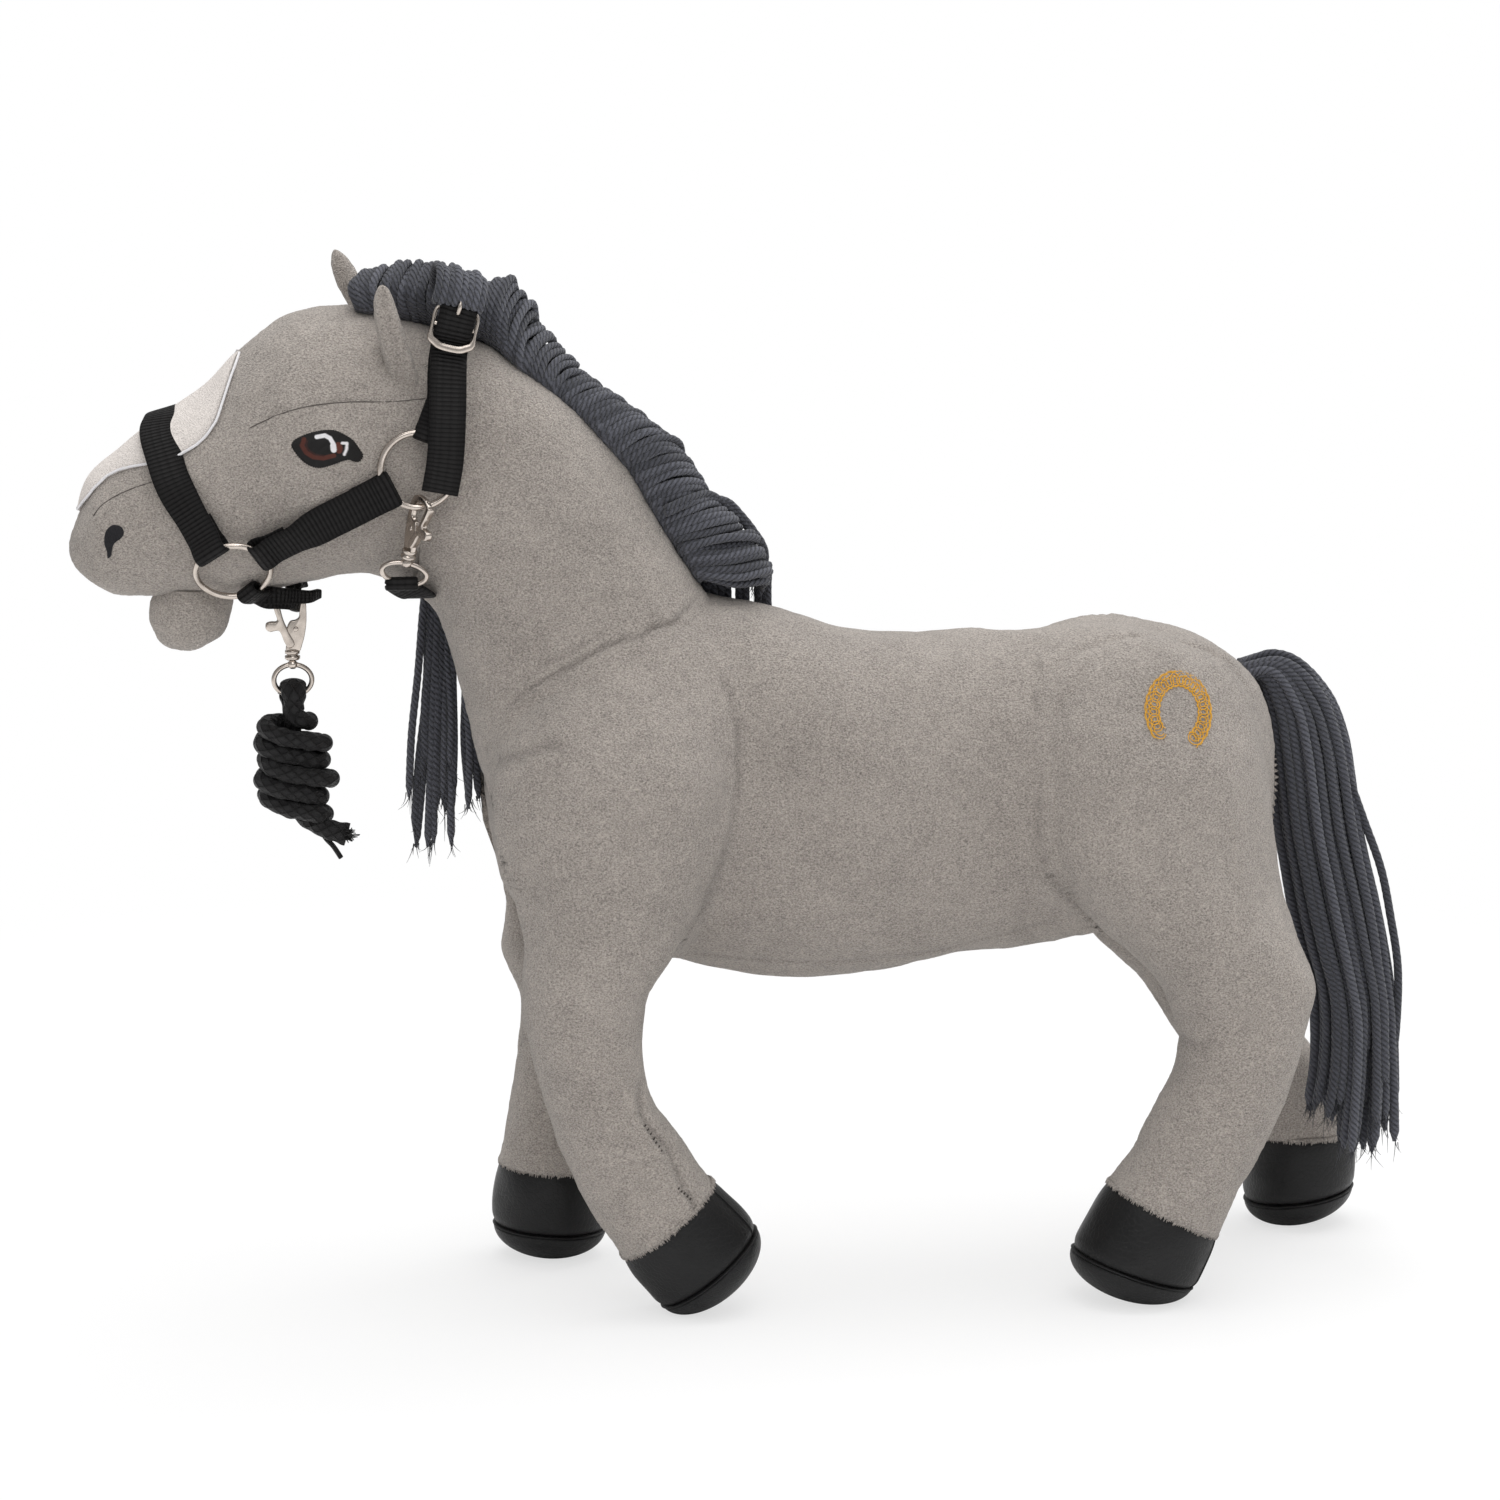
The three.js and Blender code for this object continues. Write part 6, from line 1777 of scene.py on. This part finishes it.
# Swivel snaps. A snap's plane has aside and up; its outlines are in shares of the snap's
# width and length, from the top of its collar.
snap = {"length": 26, "width": 16, "thick": 2.6, "lever": 3.3, "bevel": 0.6, "leverBevel": 0.75,
        "collar": 3.4, "collarHigh": 3.5, "rivet": 1.15, "post": 1.5, "postShow": 1, "wire": 1.15,
        "crook": 0.86, "outlineSteps": 170}
hookShares = [
    (-0.165, 0), (0.18, 0), (0.275, 0.135), (0.35, 0.31), (0.395, 0.52), (0.4, 0.72), (0.39, 0.83),
    (0.325, 0.93), (0.16, 0.988), (-0.075, 1), (-0.31, 0.97), (-0.475, 0.893), (-0.395, 0.838),
    (-0.262, 0.886), (-0.075, 0.908), (0.08, 0.889), (0.17, 0.832), (0.195, 0.75), (0.19, 0.6),
    (0.1, 0.555), (-0.04, 0.535), (-0.15, 0.4), (-0.15, 0.2),
]
leverShares = [
    (-0.02, 0.075), (0.065, 0.135), (-0.085, 0.345), (-0.225, 0.54), (-0.325, 0.77), (-0.39, 0.9),
    (-0.53, 0.9), (-0.475, 0.7), (-0.415, 0.54), (-0.59, 0.53), (-0.71, 0.5), (-0.72, 0.405),
    (-0.62, 0.358), (-0.37, 0.37), (-0.215, 0.17), (-0.11, 0.07),
]


def snapFrame(hold, holdRadius, holdAside, up, aside, bailAside, bailSize, size):
    crook = snap["crook"] * snap["length"] * size - holdRadius - 0.3
    origin = hold - up * crook - aside * holdAside * size
    return {"origin": origin, "up": up, "aside": aside, "out": np.cross(aside, up), "bailAside": bailAside,
            "bail": bailSize, "size": size}


def snapPoint(frame, across, along):
    return frame["origin"] + frame["size"] * (frame["aside"] * across + frame["up"] * along)


def snapPlate(frame, shares, thick, bevel):
    size = frame["size"]
    corners = np.array(shares) * np.array([snap["width"], snap["length"]]) * size
    line = closedSmooth(corners, snap["outlineSteps"])
    return plateSkin(line, thick * size, bevel * size, frame["origin"], frame["aside"], frame["up"],
                     frame["out"])


def makeSnap(name, frame, bodyBody, leverBody):
    size = frame["size"]
    body = [snapPlate(frame, hookShares, snap["thick"], snap["bevel"])]
    rivet = snapPoint(frame, 0.1 * snap["width"], 0.4 * snap["length"])
    half = (snap["thick"] / 2 + 0.5) * size
    body.append(barSkin(rivet - frame["out"] * half, rivet + frame["out"] * half, snap["rivet"] * size,
                        20, 0.4 * size))
    low, high = snapPoint(frame, 0, -snap["collarHigh"]), snapPoint(frame, 0, 0.9)
    rings = [(0, 0.92), (0.14, 1.0), (0.42, 1.0), (0.5, 0.72), (0.58, 0.72), (0.66, 0.98), (1, 0.98)]
    body.append(barSkin(low, high, [(share, r * snap["collar"] * size) for share, r in rings], 32,
                        0.4 * size))
    makeMetal(titled(name) + "Body", joinSkins(body), name + "_body", bodyBody)
    lever = snapPlate(frame, leverShares, snap["lever"], snap["leverBevel"])
    makeMetal(titled(name) + "Lever", lever, name + "_lever", leverBody)


def bailMiddle(frame):
    return snapPoint(frame, 0, -snap["collarHigh"] - snap["postShow"]) - frame["up"] * frame["bail"][1] / 2


def bailSkin(frame):
    wide, high = frame["bail"][0] / 2 - snap["wire"], frame["bail"][1] / 2 - snap["wire"]
    ring = wireLoop(bailMiddle(frame), frame["bailAside"], frame["up"], wide, high, snap["wire"])
    top = bailMiddle(frame) + frame["up"] * (high - 0.2)
    rings = [(0, 0.95), (0.15, 1.5), (0.45, 1.5), (0.55, 1.0), (1, 1.0)]
    post = barSkin(top - frame["up"] * 1.6 * frame["size"], snapPoint(frame, 0, -1.2),
                   [(share, r * snap["post"] * frame["size"]) for share, r in rings], 24, 0.3)
    return joinSkins([ring, post])


leadFrame = snapFrame(leadPivot, 2.1, 1.2, zWay, xWay, xWay, (19, 16), 1)
makeSnap("lead_snap", leadFrame, "lead_snap", "lead_lever")
makeMetal("leadBail", bailSkin(leadFrame), "lead_bail", "lead_rope")


def squareTo(way, up):
    way = np.asarray(way, float)
    return unit(way - up * np.dot(way, up))


throatTop = ringPoint(cheekRing["left"], degrees(-88))
throatUp = unit([0.22, -0.24, 0.95])
throatFrame = snapFrame(throatTop, ringWire, 0.6, throatUp, squareTo([-0.55, 1, 0], throatUp),
                        squareTo(xWay, throatUp), (22, 12), 1.0)
makeSnap("throat_snap", throatFrame, "horse", "throat_lever")
makeMetal("throatBail", bailSkin(throatFrame), "throat_bail")

# Throat strap: folded round that bail, under the throat and up to the right cheek ring
throatBar = bailMiddle(throatFrame) - throatFrame["up"] * (throatFrame["bail"][1] / 2 - snap["wire"])
throatUnder = headAt(0.93, 0.01)
throatEnd = degrees(-92)
throatRight = ringPoint(cheekRing["right"], throatEnd)
under = np.array([throatUnder[0], throatBar[1] * 0.8, throatUnder[2] + webThick - 0.6])
throatRows = foldAt(throatBar, throatBar + yWay * 10 - zWay * 2, -zWay, 14, snap["wire"], 7)
throatRows = sameWay(throatRows, xWay) + [
    (under + yWay * 9, xWay, 14), (np.array([throatUnder[0], -14, throatUnder[2] - 0.6]), xWay, 14),
    (np.array([throatUnder[0], 14, throatUnder[2] - 0.6]), xWay, 14),
    (np.array([throatUnder[0] + 1.7, throatRight[1] * 0.72, throatUnder[2] + 3.2]), xWay, 14),
    (np.array([throatRight[0], throatRight[1] * 0.97, throatUnder[2] + 16]), xWay, 14)]
throatRows += sameWay(foldRows(cheekRing["right"], throatEnd, throatRows[-1][0], 14, back=9)[::-1], xWay)
makeStrap("throatStrap", throatRows, "throat_strap")
# a few strands of the forelock lie over the crown strap, above the buckle
over = []
for k, x in enumerate((-9.5, -6.6, -3.8, -1.0, 2.0, 4.8, 7.6, 10.2)):
    aside = leanAcross * x
    rise = 1.2 * math.sin(2.3 * k + 1)
    over.append([outerAt(topBar + 0.8, 1.6) + aside, outerAt(topBar + 2.6, 4.2) + aside,
                 outerAt(topBar + 7.5, 5.2 + rise * 0.3) + aside,
                 *(outerAt(topBar + 12, 4) + aside + np.array(step) for step in
                   ((0, 3, 1.5 + rise), (-0.5, 12, 3 + rise), (-1, 23, 1), (-1, 31, -8), (-1, 34, -20)))])
makeStrands("forelockOver", over, ["forelock"], "horse", 214)
print("snaps and buckle are made")


# Lead rope: a braided cord doubled over the bail. One side winds round and ends low; the
# other runs down inside the turns and comes out at the lower right with a frayed end. The
# wound side is an oval turn of 2 * pi per pitch, with each turn a little tilted and shifted.
rope = {
    "radius": 3.9,
    "turns": 5.6,
    "pitch": 8.0,
    "halfX": 13.4,
    "halfY": 9.6,
    "drop": 4,
    "topRadius": 4.9,
    "bend": 4.5,  # of the middle line, where the cord turns from straight down into the first turn
    "tilt": 2.3,
    "wander": 0.9,
}
ropeHold = bailMiddle(leadFrame) - leadFrame["up"] * (leadFrame["bail"][1] / 2 - snap["wire"])
hankTop = ropeHold[2] - rope["drop"]


def windPath(count=900):
    sweep = np.linspace(0, math.atan2(2 * np.pi * rope["topRadius"], rope["pitch"]), 14)
    join = (rope["bend"] * (1 - np.cos(sweep)) / rope["topRadius"]) ** 1.25 / (2 * np.pi)
    turns = np.concatenate([join[:-1], np.linspace(join[-1], rope["turns"], count)])
    grow = ease(0.05, 0.85, turns)
    angle = 2 * np.pi * turns - np.pi / 2
    belly = 1 + 0.08 * np.sin(2.3 * turns + 0.4) - 0.1 * ease(rope["turns"] - 0.7, rope["turns"], turns)
    reachX = rope["topRadius"] + (rope["halfX"] * belly - rope["topRadius"]) * grow
    reachY = rope["topRadius"] + (rope["halfY"] * belly - rope["topRadius"]) * grow
    wander = rope["wander"] * (np.sin(1.45 * angle + 0.5) + 0.6 * np.sin(1.37 * angle + 2)) * grow
    x = ropeHold[0] + (reachX + wander) * bent(np.cos(angle), 0.8) + 0.8 * np.sin(2.2 * turns) * grow
    y = ropeHold[1] + (reachY + 0.7 * wander) * bent(np.sin(angle), 0.8)
    tilt = rope["tilt"] * (-np.cos(angle + 0.3) + 0.2 * np.sin(3.1 * turns) * np.sin(2 * angle)) * grow
    z = hankTop - 5.4 - rope["pitch"] * turns + tilt
    z[:len(join)] = z[len(join) - 1] + rope["bend"] * (np.sin(sweep[-1]) - np.sin(sweep))
    wound = np.stack([x, y, z], axis=1)
    arc = np.linspace(0, np.pi, 40)
    over = np.stack([arc * 0 + ropeHold[0], ropeHold[1] + rope["topRadius"] * np.cos(arc),
                     ropeHold[2] + rope["topRadius"] * np.sin(arc)], axis=1)
    down = [(ropeHold[0], ropeHold[1] - rope["topRadius"], low)
            for low in np.linspace(ropeHold[2] - 1, z[0] + 1, 6)]
    return np.concatenate([over, np.array(down), wound])


def corePath():
    # down at the back, through the middle of the turns and out at the lower right
    rows = [(0, 4.9, 4.0), (0, 4.9, -1), (0, 4.7, -6), (0, 1.5, -18), (0, 0, -36), (2, -1, -48),
            (6, -2, -52.5),
            (12, -6, -55), (17, -9, -56), (22.5, -10, -57.5)]
    return np.array([(ropeHold[0] + a, ropeHold[1] + b, hankTop + c) for a, b, c in rows])


def ropeSkin(path, radius, wide, sides=24):
    # The section is squeezed here and there, and flat where wide is over 1
    run = runAlong(path)
    _, first, second = pathFrames(path)
    lean = math.atan2(second[0, 0], first[0, 0])  # turns the wide way along X where it starts
    first, second = (first * math.cos(lean) + second * math.sin(lean),
                     second * math.cos(lean) - first * math.sin(lean))
    squeeze = 1 + 0.05 * np.sin(run / (11 * mm) * 2 * np.pi + 1) + 0.04 * np.sin(run / (6.3 * mm) * 2 * np.pi)
    reach = np.broadcast_to(radius, len(path)) * squeeze
    wide = wide[:, None, None]
    ring = circle(around(sides), first[:, None] * wide, second[:, None] / wide ** 0.8)
    return gridSkin(path[:, None] + ring * reach[:, None, None], rowUv=run)


def evenPath(points, step):
    length = float(runAlong(points)[-1])
    return pointsAt(points, np.linspace(0, length, int(length / step))), length


wound, windLength = evenPath(windPath() * mm, 0.9 * mm)
share = np.linspace(0, 1, len(wound))
wide = 1 + 0.6 * (1 - ease(0.0, 0.07, share))
endTaper = 1 - 0.3 * ease(0.985, 1.0, share)
ropeWound = makePiece("leadRopeWound", ropeSkin(wound, rope["radius"] * mm * endTaper, wide), "cord",
                      "lead_rope", ["lead_rope_top", "lead_rope_hank"])
core, coreLength = evenPath(resample(corePath() * mm, 0.5 * mm), 0.9 * mm)
share = np.linspace(0, 1, len(core))
wide = 1 + 0.5 * (1 - ease(0.0, 0.2, share)) + 0.3 * ease(0.82, 0.93, share)
ropeCore = makePiece("leadRopeCore", ropeSkin(core, rope["radius"] * mm * 0.96, wide), "cord", "lead_rope",
                     ["lead_rope_end"])
ropeSides = ((ropeWound, wound, windLength, "coiled"), (ropeCore, core, coreLength, "hanging"))
for piece, path, length, lay in ropeSides:
    [float(v) for v in path[0]]
    [list(map(float, point)) for point in path]
# the cut end is ragged, and one of its strands hangs out lower down
rng = np.random.default_rng(31)
tangent, first, second = pathFrames(core)
fibres = []
for k in range(46):
    angle, reach = rng.uniform(0, 2 * np.pi), rng.uniform(0.2, 0.95) * rope["radius"] * mm
    start = core[-2] + first[-1] * reach * 1.3 * math.cos(angle) + second[-1] * reach * 0.8 * math.sin(angle)
    length, bend = rng.uniform(1.2, 4.2) * mm, rng.normal(0, 0.35, 3)
    grow = np.linspace(0, 1, 5)[:, None]
    line = start + tangent[-1] * grow * length + bend * grow ** 2 * length
    fibres.append(tubeSkin(line, 0.42 * mm * (1 - 0.5 * grow[:, 0]), 5))
low = core[int(len(core) * 0.83)]
strand = resample(low + np.array([(0, 0, 0), (1.5, -2, -4), (5, -3, -8), (8.5, -3, -13.5)]) * mm, 0.5 * mm)
fibres.append(tubeSkin(strand, 1.15 * mm, 10))
makePiece("leadRopeFray", joinSkins(fibres), "cord", "lead_rope")
print("lead rope is made", round(windLength, 4), round(coreLength, 4))


# Embroidery. A patch is a low cushion on a surface: its outline in mm in the side view, its
# threads' colours by a function of the place. The surface is a form's half width plus hills.
def headSurface(x, z, side):
    y = sideOf(headStations, x, z, 1.0)
    return y + softHills(np.stack([x, side * y, z], axis=-1), 35, 0.5)


def patchSkin(outline, middle, surface, side, lift=0.4, sink=0.8, count=300, ragged=0.0):
    line, middle = closedSmooth(outline, count), np.array(middle, float)
    share = 1 + ragged * np.sin(np.arange(count) / count * 2 * np.pi * 71)
    rows = []
    for reach, height in ([(0.03, -sink), (0.5, -sink), (0.96, -sink), (1.0, -sink * 0.6), (1.0, 0.0),
                           (0.992, 0.3),
                           (0.975, 0.6), (0.95, 0.85)] + [(r, 1.0) for r in np.linspace(0.9, 0.02, 34)]):
        flat = (middle + (line - middle) * (reach * share)[:, None]) * mm
        height = height * (lift if height > 0 else 1)
        y = side * (surface(flat[:, 0], flat[:, 1], side) + height * mm)
        rows.append(np.stack([flat[:, 0], y, flat[:, 1]], axis=1))
    points, faces, _ = gridSkin(np.array(rows))
    threads = points[:, 0] * 0.2 + points[:, 2]  # they lie a little aslant
    uvs = [np.stack([points[part][..., 0], threads[part]], axis=-1) for part in faces]
    return facingOut((points, faces, uvs))


def makeThread(name, skin, colour, body="horse"):
    makePiece(name, skin, "thread", body, tint=np.tile(linear(*colour)[:3], (len(skin[0]), 1)))


# Eye: black almond, a brown arc and spot for the iris, white glints. Places are from its
# middle.
eyeMiddle = np.array([-190.1, 389.4])
eyeOutline = [(-15.5, 1.5), (-14.6, 3.5), (-10.7, 5.8), (-6.9, 7.1), (-1.1, 8.1), (3.4, 7.9), (7.3, 6.1),
              (11.1, 3.5), (13.4, 0.4), (15.3, -3.5), (13.8, -5.8), (11.5, -5.8), (9.6, -5), (6.5, -5.4),
              (4.2, -6.3), (1.1, -7.3), (-3.8, -8.3), (-7.7, -7.3), (-11.1, -5), (-13.4, -2.3)]
eyeMarks = [  # colour, line, half width
    (linear(84, 42, 33), [(-10, 4.2), (-10.9, 1.5), (-9.2, -1.5), (-6.1, -3.5), (-1.9, -4), (2.7, -2.9)],
     0.95),
    (linear(52, 28, 24), [(-8.6, 3.6), (-9.2, 1.4), (-7.8, -0.8), (-5.2, -2.4), (-1.7, -2.9)], 0.35),
    (linear(92, 47, 37), [(4.6, 1.6), (5.2, 0.2), (4.9, -0.8)], 1.3),
    (linear(240, 238, 240), [(-4.6, 5.2), (-1.1, 5.8), (1.1, 4.6), (2.5, 2.1)], 0.9),
    (linear(240, 238, 240), [(2.4, 1.4), (2.6, -0.4)], 1.25),
    (linear(236, 232, 234), [(6.3, 2.4), (8.4, 2.3), (8.1, -0.4), (7.1, -2.5)], 0.6),
]


def eyeTint(points):
    flat = points[:, [0, 2]] - eyeMiddle * mm
    tint = np.tile(linear(24, 22, 22)[:3], (len(points), 1))
    for colour, line, wide in eyeMarks:
        away, _ = lineDistance(flat, line)
        cover = ease(wide + 0.14, wide - 0.14, away / mm)[:, None]
        tint = tint * (1 - cover) + np.array(colour[:3]) * cover
    return tint


headSeamShadeLines = [[(-290.5, 358.5), (-287.5, 362.5), (-279.7, 367.9), (-271.9, 371.5), (-265, 373.9)],
             [(-222.8, 397.9), (-217.7, 400.6), (-210, 404.1), (-199.3, 407.2), (-185.6, 408.8),
              (-158.2, 408.8),
              (-147, 409.4)]]
nostrilOutline = [(-284.9, 353), (-281.9, 355.2), (-278.5, 354.3), (-277.6, 351.6), (-279, 349.3),
                  (-281.7, 347.2), (-282.9, 344.4), (-283.4, 341.2), (-284.7, 340.4), (-285.1, 343.5),
                  (-285.9, 345.9), (-286, 349.8)]
for name, side in (("Left", left), ("Right", right)):
    outline = np.array(eyeOutline) + eyeMiddle
    skin = patchSkin(outline, eyeMiddle, headSurface, side, 0.45, ragged=0.012)
    makePiece("eye" + name, skin, "thread", "horse", tint=eyeTint(skin[0]))
    skin = patchSkin(nostrilOutline, (-281.9, 349.6), headSurface, side, 0.3, ragged=0.01)
    makeThread("nostril" + name, skin, (34, 33, 37))

# A plain horseshoe in gold thread: one thread loops along the shoe's line, as
# place(t) + loop * (cosine, sine), between two rows of outline stitches.
shoe = {"x": 183, "z": 268.5, "wide": 12.2, "high": 13.5, "loop": 2.9, "loops": 21, "from": -52, "to": 232,
        "tilt": 0.25, "edge": 3.2, "edgeLoop": 0.2, "thread": 0.21}


def shoePath(grow, loop, count):
    t = np.linspace(0, 1, count)
    angle = np.radians(shoe["from"] + (shoe["to"] - shoe["from"]) * t)
    x, z = (shoe["wide"] + grow) * np.cos(angle), (shoe["high"] + grow) * np.sin(angle)
    spin = 2 * np.pi * shoe["loops"] * t
    x, z = x + loop * np.cos(spin), z + loop * np.sin(spin)
    c, s = math.cos(shoe["tilt"]), math.sin(shoe["tilt"])
    x, z = (shoe["x"] + c * x + s * z) * mm, (shoe["z"] - s * x + c * z) * mm
    y = legOuter("hind_leg_left", x, z)
    y = y + softHills(np.stack([x, -y, z], axis=-1), legSeeds["hind_leg_left"], 0.6) + 0.25 * mm
    y = y + 0.22 * mm * np.sin(spin * 1.5)
    return np.stack([x, -y, z], axis=1)


shoeRows = [(0, shoe["loop"], 1400), (-0.3, shoe["loop"] * 0.6, 1200),
            (shoe["edge"], shoe["edgeLoop"], 500), (-shoe["edge"], shoe["edgeLoop"], 500)]
skin = joinSkins([tubeSkin(shoePath(*row), shoe["thread"] * mm, 7) for row in shoeRows])
makeThread("horseshoeThread", skin, (236, 178, 62), "hind_leg_left")

# White piping on the edge of the nose panel
angles, used = blazeAngles()
for name, side in (("Left", left), ("Right", right)):
    line = headPoint(used.astype(float), side * angles[used])
    line = line[np.abs(line[:, 1]) > 0.5 * mm]
    away = units(line - headStations[0][used[:len(line)]])
    skin = tubeSkin(resample(line + away * 0.9 * mm, 0.8 * mm), 0.62 * mm, 10)
    makeThread("panelPiping" + name, skin, (240, 238, 240))

# Seams of the head: a dark line of thread laid in the fold, as painted shade that darkens the fold
for name, side in (("Left", left), ("Right", right)):
    skins = []
    for line in headSeamShadeLines:
        path = resample(np.array([(x, 0, z) for x, z in line]) * mm, 1.2 * mm)
        path[:, 1] = side * (headSurface(path[:, 0], path[:, 2], side) - 0.04 * mm)
        skins.append(tubeSkin(path, 0.26 * mm, 8))
    skin = joinSkins(skins)
    makeThread("headSeam" + name, skin, (92, 86, 82))

# The knee and pastern of the bent front leg are drawn in with a few short stitches
stitchRows = [[(-56.4, 90.9), (-55.1, 89), (-53.8, 87.1), (-52.4, 84.8), (-51.6, 83), (-50.2, 81.1),
               (-49.3, 79.2)],
              [(-41.8, 62.1), (-40.5, 60.7), (-39.1, 59.7), (-37.8, 58.3), (-36.5, 56.9)]]
stitch = np.array([(-0.35, 0, -0.3), (0, 0, 0), (0.35, 0, 0.3)])
skins = []
for x, z in sum(stitchRows, []):
    ends = (stitch + (x, 0, z)) * mm
    ends[:, 1] = left * (legOuter("front_leg_left", ends[:, 0], ends[:, 2]) + 0.1 * mm)
    skins.append(tubeSkin(ends, 0.36 * mm, 8))
makeThread("FrontLegLeftStitches", joinSkins(skins), (70, 64, 60), "front_leg_left")
print("embroidery is made")
